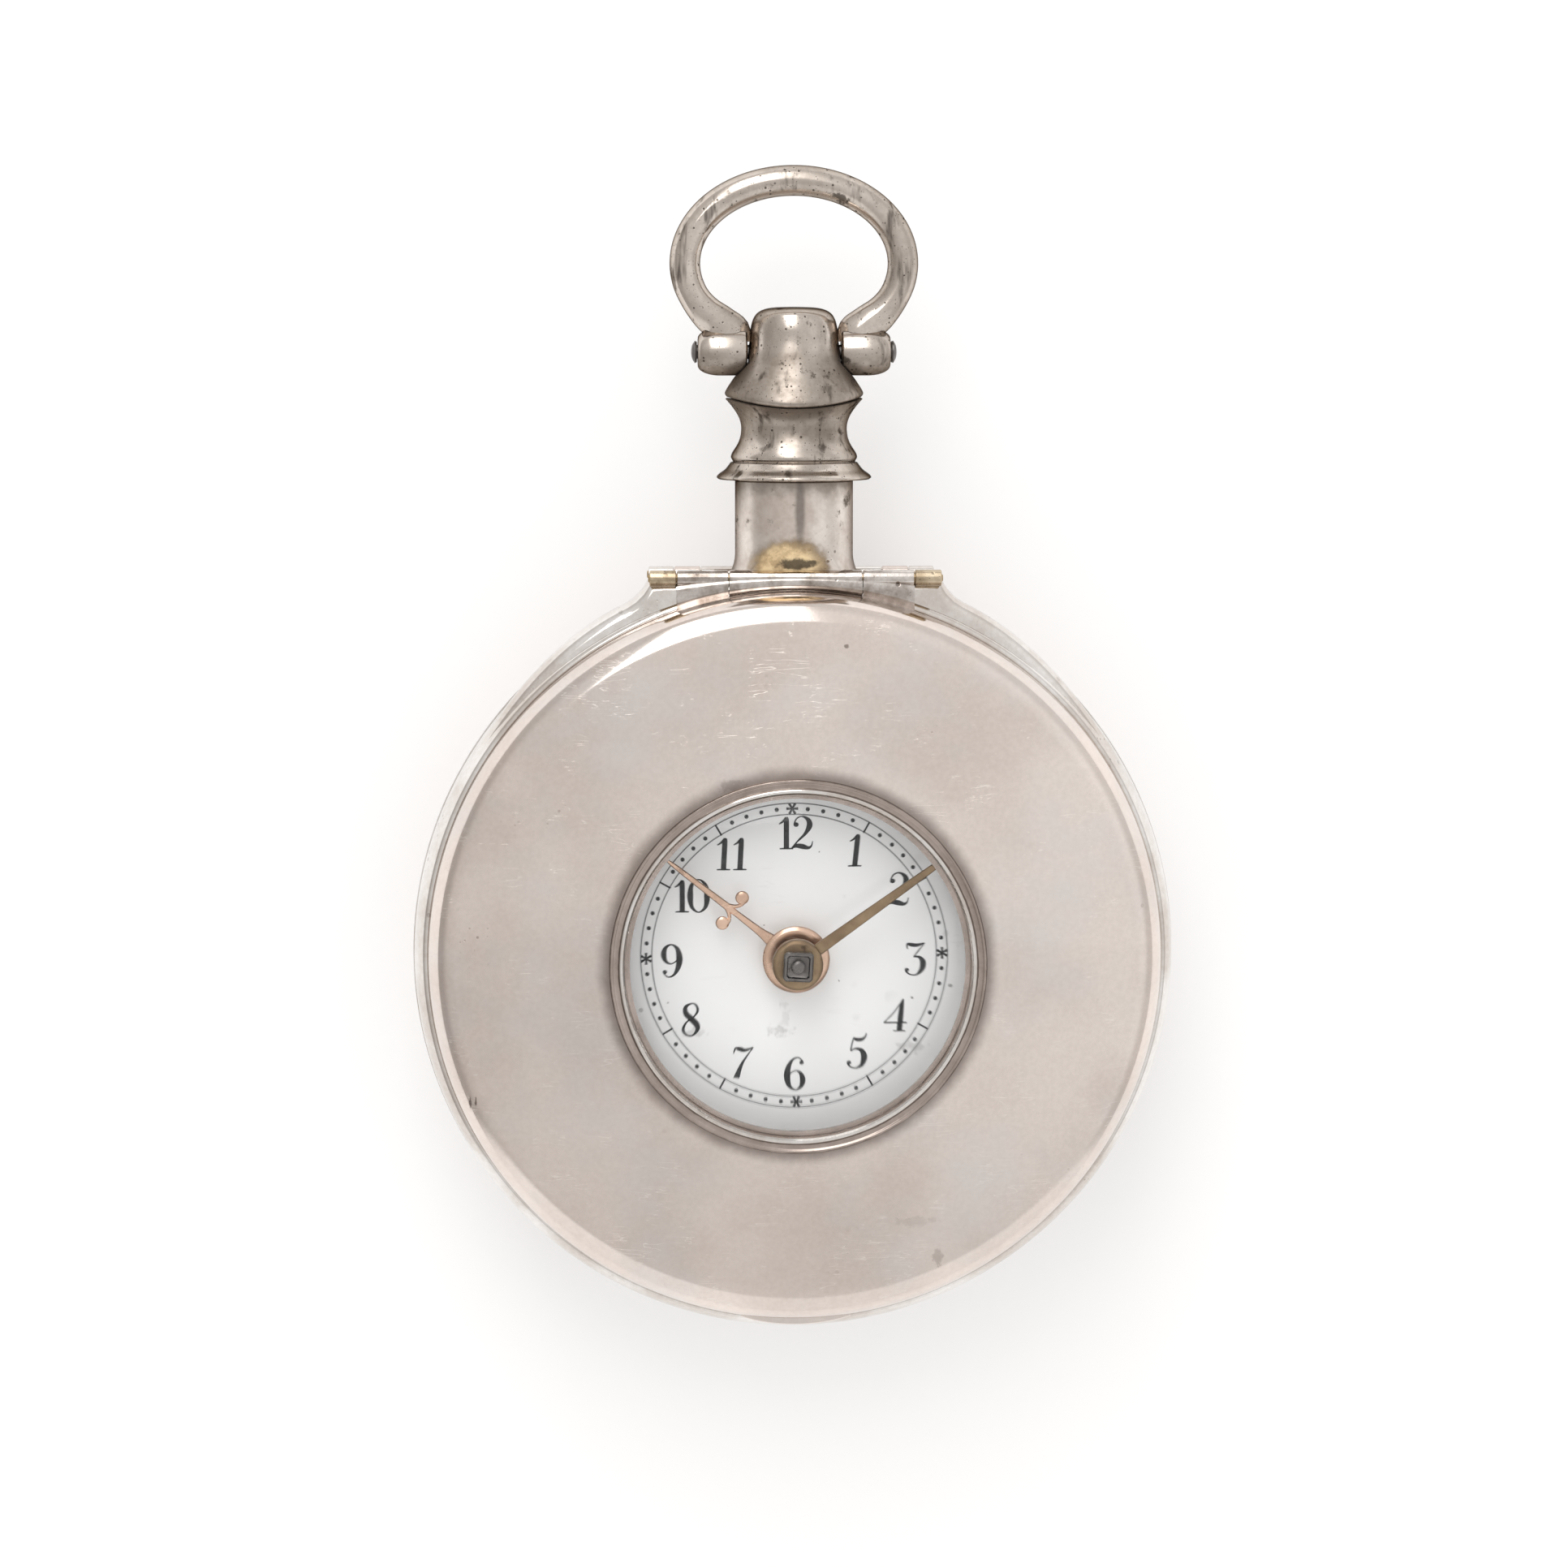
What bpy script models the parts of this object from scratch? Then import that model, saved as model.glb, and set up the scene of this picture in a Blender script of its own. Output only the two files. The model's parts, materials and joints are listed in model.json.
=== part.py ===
"""Demi-hunter pocket watch, key wound, with a fusee and a verge escapement.

The watch lies on its back. +Z leaves the dial, +Y points to twelve o'clock and the pendant, +X to three.
The origin is the centre of the flat on the back cover, on which the watch rests. Lengths are in metres.
"""

import math

import bmesh
import bpy
from mathutils import Matrix, Vector
from mathutils.geometry import tessellate_polygon

MM = 0.001

# Fits that the whole watch shares
SEAT_GAP = 0.06 * MM  # between pieces that rest on each other or are fixed together
RUN_GAP = 0.06 * MM  # around a shaft in its hole
OVERRUN = 0.6 * MM  # how far a cutter passes its wall
WELD = 0.0002 * MM  # corners this near to each other are one

# Smoothness of round pieces, in sides
CASE_SIDES = 32
RING_SIDES = 28
STEM_SIDES = 20
HAND_SIDES = 16
SMALL_SIDES = 12
PIN_SIDES = 8
SPRING_STEPS = 10
CHAIN_STEPS = 20

# Case: levels are counted from the band's widest circle
BACK_DEPTH = 13.0 * MM
BAND_R = 27.0 * MM
BEZEL_SET = 0.08 * MM
BEZEL_R = BAND_R - BEZEL_SET
SEAM_SET = 1.15 * MM
SEAM_R = BAND_R - SEAM_SET
SEAM_RISE = 2.95 * MM
BACK_SEAM_DROP = 4.6 * MM
BACK_ROUNDING = 17.5 * MM
BACK_FLAT_R = BAND_R - BACK_ROUNDING
BACK_WALL = 0.7 * MM
SNAP_HEIGHT = 0.6 * MM
SNAP_WALL = 0.6 * MM
SNAP_GAP = 0.1 * MM
FINE_SEAM = 0.08 * MM
WELL_SET = 4.3 * MM
DIAL_SEAT_R = SEAM_R - WELL_SET
LEDGE_WIDTH = 0.85 * MM
LEDGE_R = DIAL_SEAT_R - LEDGE_WIDTH
LEDGE_THICK = 2.0 * MM
REHAUT_SET = 1.45 * MM
REHAUT_R = SEAM_R - REHAUT_SET
REHAUT_RISE = 2.3 * MM

# Inner dome over the movement
DOME_ROOM = 1.0 * MM
DOME_WALL = 0.5 * MM
DOME_RIM_HEIGHT = 0.65 * MM
WINDING_HOLE_R = 2.0 * MM

# Front cover, its raised bezel and the domed glass
COVER_WALL = 0.6 * MM
COVER_RIM_WALL = 0.72 * MM
COVER_SHOULDER = 2.45 * MM
COVER_SHOULDER_RISE = 2.6 * MM
COVER_CROWN_R = 124.0 * MM
RING_R = 13.15 * MM
RING_OVERLAP = 0.25 * MM
APERTURE_R = RING_R - RING_OVERLAP
RING_WIDTH = 1.05 * MM
RING_INNER_R = RING_R - RING_WIDTH
RING_LIP_WIDTH = 0.4 * MM
RING_LIP_R = RING_INNER_R - RING_LIP_WIDTH
RING_PROUD = 0.42 * MM
RING_DEPTH = 0.8 * MM
RING_LIP = 0.3 * MM
RING_BEAD = 0.12 * MM
GLASS_WALL = 0.7 * MM
GLASS_EDGE = 0.5 * MM
GLASS_DOME = 1.95 * MM

# Hinges at twelve and the thumb lips at six
HINGE_HALF = 10.2 * MM
HINGE_R = 0.58 * MM
HINGE_BORE_R = 0.3 * MM
HINGE_END = 1.85 * MM
FRONT_AXIS_SET = 0.25 * MM
FRONT_AXIS_Y = BAND_R - FRONT_AXIS_SET
FRONT_AXIS_RISE = 2.75 * MM
BACK_AXIS_SET = 0.4 * MM
BACK_AXIS_Y = BAND_R - BACK_AXIS_SET
KNUCKLE_GAP = 0.1 * MM
HINGE_LEAF = 0.5 * MM
LIP_HALF = 3.9 * MM
LIP_PROUD = 0.45 * MM
LIP_THICK = 0.4 * MM
OPEN_ANGLE = 95.0

# Pendant, along +Y at the level of the band's widest circle
NECK_R = 4.15 * MM
NECK_FOOT_R = 4.45 * MM
NECK_SET = 0.1 * MM
NECK_START = BAND_R + NECK_SET
NECK_FLARE = 1.3 * MM
NECK_LENGTH = 6.4 * MM
NECK_TOP = NECK_START + NECK_LENGTH
RELIEF_DEPTH = 1.45 * MM
RELIEF_LENGTH = 2.95 * MM
FLANGE_R = 5.43 * MM
FLANGE_LIP = 0.4 * MM
COLLAR_RIM_R = 4.82 * MM
COLLAR_WAIST_R = 3.71 * MM
COLLAR_LENGTH = 5.1 * MM
COLLAR_TOP = NECK_TOP + COLLAR_LENGTH
HEAD_RIM_R = 4.85 * MM
HEAD_NECK_R = 3.2 * MM
HEAD_LENGTH = 7.0 * MM
HEAD_TOP = COLLAR_TOP + HEAD_LENGTH
SMILE = 0.7 * MM
# Corners of the collar as (share of the way from the waist's radius, share of the height), and of the head
# as (share of the rim's radius, share of the height)
COLLAR_SHARES = ((0.38, 0.3), (0, 0.68), (0.35, 0.84))
COLLAR_FADE_SHARE = 0.6
HEAD_SHARES = (
    (1.0, 0.07),
    (0.89, 0.23),
    (0.77, 0.36),
    (0.65, 0.56),
    (0.635, 0.7),
    (0.61, 0.84),
    (0.53, 0.93),
    (0.33, 0.985),
)

# Bow and its screws
BOW_AXIS_LIFT = 3.85 * MM
BOW_AXIS_Y = COLLAR_TOP + BOW_AXIS_LIFT
BOW_RISE = 6.15 * MM
BOW_HALF_WIDTH = 7.63 * MM
BOW_UPPER = 5.75 * MM
BOW_LOWER = 5.7 * MM
BOW_WIRE_R = 1.04 * MM
BOW_START_ANGLE = -47.0
BOW_STEPS = 18
EYE_INNER = 3.3 * MM
EYE_OUTER = 6.75 * MM
EYE_R = 1.65 * MM
EYE_RIM = 0.4 * MM
EYE_RECESS_GAP = 0.12 * MM
SCREW_R = 0.5 * MM
SCREW_HEAD_R = 0.77 * MM
SCREW_HEAD = 0.4 * MM
SCREW_DEPTH = 1.5 * MM
BOW_FOOT_SHARE = 0.6

# Movement: the stack from the dial down, counted from the widest circle.
# Sizes in plan are given for a plate of the pattern's radius, and grow with the real one.
DIAL_RISE = 2.08 * MM
DIAL_THICK = 0.8 * MM
DIAL_SET = 0.25 * MM
DIAL_R = DIAL_SEAT_R - DIAL_SET
DIAL_EDGE = 0.22 * MM
MOTION_ROOM = 2.3 * MM
PLATE_SET = 0.15 * MM
PILLAR_PLATE_R = DIAL_SEAT_R - PLATE_SET
PATTERN_R = 21.4 * MM
UNIT = MM * PILLAR_PLATE_R / PATTERN_R
PILLAR_PLATE_THICK = 1.1 * MM
PLATE_ROOM = 5.0 * MM
DIAL_HOLE_R = 1.6 * UNIT
TOP_PLATE_R = 18.5 * UNIT
TOP_PLATE_THICK = 0.9 * MM
PILLAR_CIRCLE_R = 16.6 * UNIT
PILLAR_R = 1.25 * UNIT
PILLAR_TENON_R = 0.6 * UNIT
PILLAR_TENON = 1.7 * MM
PIN_R = 0.18 * MM
PIN_LENGTH = 2.6 * UNIT
FOOT_CIRCLE_R = 18.6 * UNIT
FOOT_R = 0.5 * UNIT
FOOT_BEARINGS = (35.0, 155.0, 275.0)
PIVOT_R = 0.18 * UNIT
PIVOT_LENGTH = 0.6 * MM

# Tooth form: heights in modules, and corners as (share of the pitch, share of the height)
WHEEL_ADDENDUM_SHARE = 1.0
WHEEL_DEDENDUM_SHARE = 1.25
PINION_ADDENDUM_SHARE = 0.5
PINION_DEDENDUM_SHARE = 1.5
TOOTH_SHARES = ((-0.5, 0), (0, 1))
LEAF_SHARES = ((-0.16, 0), (0, 1), (0.16, 0))

# Train: tooth counts and modules
GREAT_TEETH = 48
CENTRE_PINION_TEETH = 12
GREAT_MODULE = 0.32 * UNIT
CENTRE_TEETH = 54
THIRD_PINION_TEETH = 6
CENTRE_MODULE = 0.2 * UNIT
THIRD_TEETH = 48
CONTRATE_PINION_TEETH = 6
THIRD_MODULE = 0.19 * UNIT
CONTRATE_TEETH = 48
ESCAPE_PINION_TEETH = 6
CONTRATE_MODULE = 0.18 * UNIT
CROWN_TEETH = 15
CANNON_TEETH = 12
MINUTE_TEETH = 36
CANNON_MODULE = 0.2 * UNIT
MINUTE_PINION_TEETH = 10
HOUR_TEETH = 40
HOUR_MODULE = CANNON_MODULE * (CANNON_TEETH + MINUTE_TEETH) / (MINUTE_PINION_TEETH + HOUR_TEETH)

# Train: where the arbors stand, as bearings in degrees from three o'clock
FUSEE_BEARING = -35.0
BARREL_BEARING = 232.0
BARREL_REACH = 10.2 * UNIT
THIRD_BEARING = 135.0
CONTRATE_BEARING = 50.0
ESCAPE_BEARING = -25.0
ESCAPE_SPAN = 9.6 * UNIT
MINUTE_BEARING = -60.0

# Train: levels below the pillar plate, and thicknesses
CENTRE_WHEEL_DROP = 0.23 * MM
CENTRE_WHEEL_THICK = 0.35 * MM
GREAT_DROP = 0.9 * MM
GREAT_THICK = 0.5 * MM
PINION_SPARE = 0.15 * MM
THIRD_DROP = 2.0 * MM
THIRD_THICK = 0.35 * MM
ESCAPE_DROP = 2.63 * MM
CONTRATE_WEB = 0.3 * MM
CONTRATE_RIM = 0.3 * MM
CONTRATE_RIM_HALF = 0.3 * MM
ARBOR_R = 0.25 * UNIT
CENTRE_ARBOR_R = 0.5 * UNIT
HUB_R = 0.8 * UNIT
SPOKE_HALF = 0.28 * UNIT
WHEEL_RIM = 0.55 * UNIT

# Crown wheel and verge
CROWN_R = 2.0 * MM
CROWN_RIM = 0.26 * MM
CROWN_TIP_REACH = 0.8 * MM
CROWN_TOOTH = 1.0 * MM
CROWN_RIM_LENGTH = 0.8 * MM
CROWN_WEB = 0.25 * MM
VERGE_R = 0.3 * MM
PALLET_REACH = 1.04 * MM
PALLET_HALF = 0.24 * MM
PALLET_THICK = 0.16 * MM
PALLET_SPREAD = 100.0
CROWN_TOOTH_SHARES = ((-0.3, 0), (0, 1), (0.3, 0))

# Fusee, barrel, mainspring and chain
FUSEE_LARGE_R = 5.7 * UNIT
FUSEE_SMALL_R = 4.0 * UNIT
FUSEE_TURNS = 4
FUSEE_PITCH = 0.66 * MM
FUSEE_GROOVE = 0.4 * MM
FUSEE_SIDES = 16
FUSEE_DROP = 1.65 * MM
FUSEE_ARBOR_R = 0.85 * UNIT
WINDING_SQUARE = 1.5 * UNIT
WINDING_END = 2.2 * MM
BARREL_R = 6.9 * UNIT
BARREL_WALL = 0.45 * UNIT
BARREL_FLOOR = 0.3 * MM
BARREL_DROP = 1.6 * MM
BARREL_HEIGHT = 3.15 * MM
BARREL_ARBOR_R = 0.75 * UNIT
BARREL_HUB_R = 1.6 * UNIT
LID_SINK = 0.1 * MM
SPRING_TURNS = 4
SPRING_WIRE = 0.2 * MM
SPRING_MARGIN = 0.25 * MM
CHAIN_HEIGHT = 0.34 * MM
CHAIN_THICK = 0.2 * MM
CHAIN_GAP = 0.1 * MM
CHAIN_FUSEE_TURN = 1.1
CHAIN_BARREL_TURN = 1.3
CHAIN_BARREL_PITCH = 0.5 * MM
CHAIN_LEVEL_SHARE = 0.3
RATCHET_TEETH = 14
RATCHET_R = 2.3 * UNIT
RATCHET_ROOT_R = 1.9 * UNIT
RATCHET_THICK = 0.45 * MM
CLICK_LENGTH = 3.2 * UNIT
CLICK_WIDTH = 0.7 * UNIT

# Balance, cock and regulator, counted from the top plate's outer face
BALANCE_R = 8.0 * UNIT
BALANCE_RIM = 0.7 * UNIT
BALANCE_DROP = 0.5 * MM
BALANCE_THICK = 0.5 * MM
BALANCE_ARMS = 3
HAIRSPRING_TURNS = 3
HAIRSPRING_INNER_R = 1.1 * UNIT
HAIRSPRING_OUTER_R = 3.9 * UNIT
HAIRSPRING_WIRE = 0.12 * MM
HAIRSPRING_HEIGHT = 0.2 * MM
HAIRSPRING_DROP = 0.25 * MM
COCK_DROP = 1.45 * MM
COCK_THICK = 0.45 * MM
COCK_TABLE_R = 4.4 * UNIT
COCK_BEARING = 135.0
COCK_FOOT_START = 8.4 * UNIT
COCK_FOOT_END = 10.9 * UNIT
COCK_FOOT_HALF = 2.3 * UNIT
COCK_NECK_HALF = 1.7 * UNIT
COCK_HOLE_R = 0.62 * UNIT
COCK_HOLES = 5
COCK_HOLE_CIRCLE_R = 2.9 * UNIT
COCK_SCREW_R = 0.9 * UNIT
COCK_SIDES = 16
REGULATOR_X = -7.5 * UNIT
REGULATOR_Y = 3.5 * UNIT
REGULATOR_R = 3.3 * UNIT
REGULATOR_THICK = 0.4 * MM

# Potence and counter-potence, which hold the crown wheel's arbor
POTENCE_NEAR = 0.7 * MM
POTENCE_FAR = 1.9 * MM
POTENCE_HALF = 0.6 * MM
POTENCE_ARM_HALF = 0.4 * MM
POTENCE_FOOT_THICK = 0.3 * MM
NOSE_SIDE = 0.42 * MM
NOSE_THICK = 0.22 * MM
NOSE_HALF = 0.2 * MM
NOSE_REACH = 0.62 * MM
COUNTER_THICK = 0.4 * MM
COUNTER_HALF = 0.5 * MM
COUNTER_DROP = 0.5 * MM

# Motion work and hands
MOTION_CLEAR = 0.25 * MM
MINUTE_WHEEL_THICK = 0.45 * MM
HOUR_WHEEL_THICK = 0.45 * MM
HOUR_WHEEL_SINK = 0.4 * MM
CANNON_PIPE_R = 0.85 * UNIT
CANNON_BORE_R = 0.42 * UNIT
CANNON_BORE = 2.6 * MM
HOUR_PIPE_WALL = 0.32 * UNIT
HOUR_COLLET_RISE = 4.1 * MM
HOUR_COLLET_R = 2.36 * UNIT
HOUR_COLLET_THICK = 0.45 * MM
HOUR_BLADE_THICK = 0.2 * MM
HOUR_BLADE_LENGTH = 11.4 * MM
HOUR_BLADE_HALF = 0.18 * MM
HOUR_BLADE_ROOT_HALF = 0.3 * MM
HOUR_SCROLL_AT = 5.35 * MM
HOUR_SCROLL_R = 0.75 * MM
HOUR_SCROLL_WIRE = 0.16 * MM
HOUR_BALL_R = 0.48 * MM
HOUR_ROOT_SHARE = 0.85
SCROLL_START = -90.0
SCROLL_SWEEP = 150.0
SCROLL_STEPS = 5
HOUR_HAND_CLOCKWISE = 308.0
MINUTE_BOSS_RISE = 6.7 * MM
MINUTE_BOSS_R = 1.77 * UNIT
MINUTE_BOSS_THICK = 1.15 * MM
MINUTE_BLADE_RISE = 6.05 * MM
MINUTE_BLADE_THICK = 0.2 * MM
MINUTE_BLADE_LENGTH = 11.9 * MM
MINUTE_BLADE_HALF = 0.4 * MM
MINUTE_BLADE_TIP_HALF = 0.22 * MM
MINUTE_ROOT_SHARE = 0.8
MINUTE_HAND_CLOCKWISE = 54.5
SQUARE_RISE = 7.65 * MM
SQUARE_SIDE = 2.05 * UNIT

# Levels and places worked out from the sizes above
MID_Z = BACK_DEPTH
SEAM_Z = MID_Z + SEAM_RISE
BACK_SEAM_Z = MID_Z - BACK_SEAM_DROP
FRONT_AXIS = Vector((0, FRONT_AXIS_Y, MID_Z + FRONT_AXIS_RISE))
BACK_AXIS = Vector((0, BACK_AXIS_Y, BACK_SEAM_Z + KNUCKLE_GAP))
BOW_AXIS = Vector((0, BOW_AXIS_Y, MID_Z))
DIAL_TOP = MID_Z + DIAL_RISE
DIAL_UNDER = DIAL_TOP - DIAL_THICK
FRONT_FACE = DIAL_UNDER - MOTION_ROOM
INNER_FACE = FRONT_FACE - PILLAR_PLATE_THICK
TOP_INNER = INNER_FACE - PLATE_ROOM
TOP_OUTER = TOP_INNER - TOP_PLATE_THICK


def polar(reach, degrees, start=Vector((0, 0))):
    """A point at a bearing from a start point, in plan."""
    angle = math.radians(degrees)
    return start + Vector((math.cos(angle), math.sin(angle))) * reach


def spacing(teeth, other_teeth, module):
    """Distance between the arbors of two wheels in mesh."""
    return module * (teeth + other_teeth) / 2


CENTRE = Vector((0, 0))
FUSEE_AT = polar(spacing(GREAT_TEETH, CENTRE_PINION_TEETH, GREAT_MODULE), FUSEE_BEARING)
BARREL_AT = polar(BARREL_REACH, BARREL_BEARING)
THIRD_AT = polar(spacing(CENTRE_TEETH, THIRD_PINION_TEETH, CENTRE_MODULE), THIRD_BEARING)
CONTRATE_AT = polar(
    spacing(THIRD_TEETH, CONTRATE_PINION_TEETH, THIRD_MODULE), CONTRATE_BEARING, THIRD_AT
)
VERGE_AT = polar(ESCAPE_SPAN, ESCAPE_BEARING, CONTRATE_AT)
MINUTE_AT = polar(spacing(CANNON_TEETH, MINUTE_TEETH, CANNON_MODULE), MINUTE_BEARING)
ESCAPE_Z = INNER_FACE - ESCAPE_DROP


# Shapes: each function returns a bmesh that is one closed body


def finish(mesh):
    """Turn every face of a closed body outwards."""
    bmesh.ops.recalc_face_normals(mesh, faces=mesh.faces)
    return mesh


def turned(profile, sides, closed=True):
    """Revolve (radius, height) points about Z. An open profile starts and ends on the axis."""
    mesh = bmesh.new()
    rings = []
    for radius, height in profile:
        if radius == 0:
            rings.append([mesh.verts.new((0, 0, height))] * sides)
            continue
        ring = []
        for i in range(sides):
            angle = 2 * math.pi * i / sides
            ring.append(mesh.verts.new((radius * math.cos(angle), radius * math.sin(angle), height)))
        rings.append(ring)
    pairs = list(zip(rings, rings[1:]))
    if closed:
        pairs.append((rings[-1], rings[0]))
    for low, high in pairs:
        bridge(mesh, low, high)
    return finish(mesh)


def bridge(mesh, low, high):
    """Join two rings of as many corners. A ring on the axis is one corner repeated."""
    count = len(low)
    for i in range(count):
        j = (i + 1) % count
        corners = []
        for corner in (low[i], low[j], high[j], high[i]):
            if corner not in corners:
                corners.append(corner)
        mesh.faces.new(corners)


def stacked(sections):
    """A shaft from (outline, height) sections with as many corners each, capped at both ends."""
    mesh = bmesh.new()
    rings = []
    for outline, height in sections:
        rings.append([mesh.verts.new((x, y, height)) for x, y in outline])
    for low, high in zip(rings, rings[1:]):
        bridge(mesh, low, high)
    mesh.faces.new(rings[0])
    mesh.faces.new(rings[-1])
    return finish(mesh)


def plate(outline, low, high, holes=()):
    """A flat plate between two levels, with an outline and holes as lists of points."""
    mesh = bmesh.new()
    loops = [outline, *holes]
    flat = [[Vector((x / MM, y / MM, 0)) for x, y in loop] for loop in loops]
    triangles = tessellate_polygon(flat)
    layers = []
    for height in (low, high):
        corners = []
        for loop in loops:
            corners.append([mesh.verts.new((x, y, height)) for x, y in loop])
        layers.append(corners)
    for corners in layers:
        together = [corner for loop in corners for corner in loop]
        for triangle in triangles:
            mesh.faces.new([together[i] for i in triangle])
    for lower, upper in zip(*layers):
        bridge(mesh, lower, upper)
    return finish(mesh)


def swept(path, half_width, half_height):
    """A flat strip along a path of points, upright along Z, capped at both ends."""
    mesh = bmesh.new()
    rings = []
    for i, point in enumerate(path):
        ahead = path[min(i + 1, len(path) - 1)] - path[max(i - 1, 0)]
        side = Vector((-ahead.y, ahead.x, 0)).normalized() * half_width
        up = Vector((0, 0, half_height))
        rings.append([mesh.verts.new(point + s * side + u * up) for s, u in STRIP_CORNERS])
    for low, high in zip(rings, rings[1:]):
        bridge(mesh, low, high)
    mesh.faces.new(rings[0])
    mesh.faces.new(rings[-1])
    return finish(mesh)


STRIP_CORNERS = ((-1, -1), (1, -1), (1, 1), (-1, 1))


def circle(radius, sides, at=Vector((0, 0)), turn=0.0):
    """Points of a circle in plan."""
    return [
        at + Vector((math.cos(angle), math.sin(angle))) * radius
        for angle in (turn + 2 * math.pi * i / sides for i in range(sides))
    ]


def hole(radius, at=Vector((0, 0)), sides=PIN_SIDES):
    """A hole's outline, whose flats lie on the circle, so that a round shaft turns in it."""
    return circle(radius / math.cos(math.pi / sides), sides, at)


def square(side, sides):
    """A square outline with the given number of corners, a multiple of four."""
    points = []
    for i in range(sides):
        angle = 2 * math.pi * (i + 0.5) / sides
        across = max(abs(math.cos(angle)), abs(math.sin(angle)))
        points.append(Vector((math.cos(angle), math.sin(angle))) * (side / 2 / across))
    return points


def rectangle(left, right, low, high):
    """Corners of a rectangle in plan."""
    return [Vector((left, low)), Vector((right, low)), Vector((right, high)), Vector((left, high))]


def box(left, right, near, far, low, high):
    """A plain block between six planes."""
    return plate(rectangle(left, right, near, far), low, high)


def toothed(teeth, module, shares, addendum_share, dedendum_share, turn):
    """The outline of a toothed piece. The first tooth stands at the angle turn."""
    pitch_r = module * teeth / 2
    root = pitch_r - dedendum_share * module
    tip = pitch_r + addendum_share * module
    points = []
    for i in range(teeth):
        for share, height_share in shares:
            angle = turn + (i + share) * 2 * math.pi / teeth
            radius = root + (tip - root) * height_share
            points.append(Vector((math.cos(angle), math.sin(angle))) * radius)
    return points


def wheel_outline(teeth, module, turn):
    """A wheel's outline, with pointed gaps."""
    return toothed(teeth, module, TOOTH_SHARES, WHEEL_ADDENDUM_SHARE, WHEEL_DEDENDUM_SHARE, turn)


def pinion_outline(teeth, module, turn):
    """A pinion's outline, with narrow leaves."""
    return toothed(teeth, module, LEAF_SHARES, PINION_ADDENDUM_SHARE, PINION_DEDENDUM_SHARE, turn)


def crossings(spokes, inner, outer, steps=2, turn=0.0):
    """The openings between a wheel's spokes, as lists of points."""
    holes = []
    for i in range(spokes):
        points = []
        for radius, way in ((outer, 1), (inner, -1)):
            lean = math.asin(SPOKE_HALF / radius)
            first = turn + 2 * math.pi * i / spokes + lean
            last = turn + 2 * math.pi * (i + 1) / spokes - lean
            for k in range(steps + 1)[::way]:
                angle = first + (last - first) * k / steps
                points.append(Vector((math.cos(angle), math.sin(angle))) * radius)
        holes.append(points)
    return holes


def boolean(body, tool, operation):
    """Join, cut or intersect two closed bodies and return the result."""
    objects = []
    for shape in (body, tool):
        data = bpy.data.meshes.new("working")
        shape.to_mesh(data)
        shape.free()
        item = bpy.data.objects.new("working", data)
        bpy.context.scene.collection.objects.link(item)
        objects.append(item)
    modifier = objects[0].modifiers.new("boolean", "BOOLEAN")
    modifier.operation = operation
    modifier.object = objects[1]
    modifier.solver = "EXACT"
    evaluated = objects[0].evaluated_get(bpy.context.evaluated_depsgraph_get())
    result = bmesh.new()
    result.from_mesh(evaluated.to_mesh())
    evaluated.to_mesh_clear()
    bmesh.ops.remove_doubles(result, verts=result.verts, dist=WELD)
    for item in objects:
        data = item.data
        bpy.data.objects.remove(item)
        bpy.data.meshes.remove(data)
    return result


def joined(body, *others):
    """The union of several closed bodies that overlap."""
    for other in others:
        body = boolean(body, other, "UNION")
    return body


def cut(body, *tools):
    """A closed body less its cutters."""
    for tool in tools:
        body = boolean(body, tool, "DIFFERENCE")
    return body


def moved(mesh, matrix):
    """Move a shape and return it."""
    mesh.transform(matrix)
    return mesh


def along(axis):
    """The turn that lays +Z along a named axis."""
    turns = {"X": (math.pi / 2, "Y"), "Y": (-math.pi / 2, "X")}
    angle, about = turns[axis]
    return Matrix.Rotation(angle, 4, about)


# Materials and placing


def material(name, colour, roughness, metallic, transmission=0.0):
    """A plain finish for one piece."""
    finish_of = bpy.data.materials.new(name)
    finish_of.use_nodes = True
    shader = finish_of.node_tree.nodes["Principled BSDF"]
    shader.inputs["Base Color"].default_value = (*colour, 1.0)
    shader.inputs["Roughness"].default_value = roughness
    shader.inputs["Metallic"].default_value = metallic
    shader.inputs["Transmission Weight"].default_value = transmission
    finish_of.diffuse_color = (*colour, 1.0)
    return finish_of


SILVER = ((0.60, 0.56, 0.53), 0.3, 1.0)
POLISHED_SILVER = ((0.68, 0.64, 0.60), 0.18, 1.0)
GILT = ((0.78, 0.60, 0.28), 0.35, 1.0)
BRASS = ((0.62, 0.47, 0.22), 0.4, 1.0)
ROSE_GOLD = ((0.80, 0.52, 0.38), 0.3, 1.0)
STEEL = ((0.22, 0.22, 0.23), 0.35, 1.0)
BLUED_STEEL = ((0.10, 0.13, 0.30), 0.3, 1.0)
ENAMEL = ((0.86, 0.87, 0.88), 0.12, 0.0)
GLASS = ((0.95, 0.97, 0.97), 0.02, 0.0, 1.0)
SMOOTH_ANGLE = math.radians(35)


def place(name, shape, look, at=(0, 0, 0), holder=None):
    """Make a named object from a shape, with its own material, and put it on its holder."""
    data = bpy.data.meshes.new(name)
    shape.to_mesh(data)
    shape.free()
    data.shade_smooth()
    data.set_sharp_from_angle(angle=SMOOTH_ANGLE)
    data.materials.append(material(name, *look))
    item = bpy.data.objects.new(name, data)
    bpy.context.scene.collection.objects.link(item)
    item.parent = holder
    item.location = Vector(at) - (holder.location if holder else Vector((0, 0, 0)))
    return item


def pivot(name, at):
    """An empty on a joint's axis, which holds the pieces that turn about it."""
    empty = bpy.data.objects.new(name, None)
    empty.empty_display_size = HINGE_R
    empty.location = at
    bpy.context.scene.collection.objects.link(empty)
    return empty


def upright(at, height=0.0):
    """A place in plan lifted to a height."""
    return Vector((at.x, at.y, height))


# The case


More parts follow.
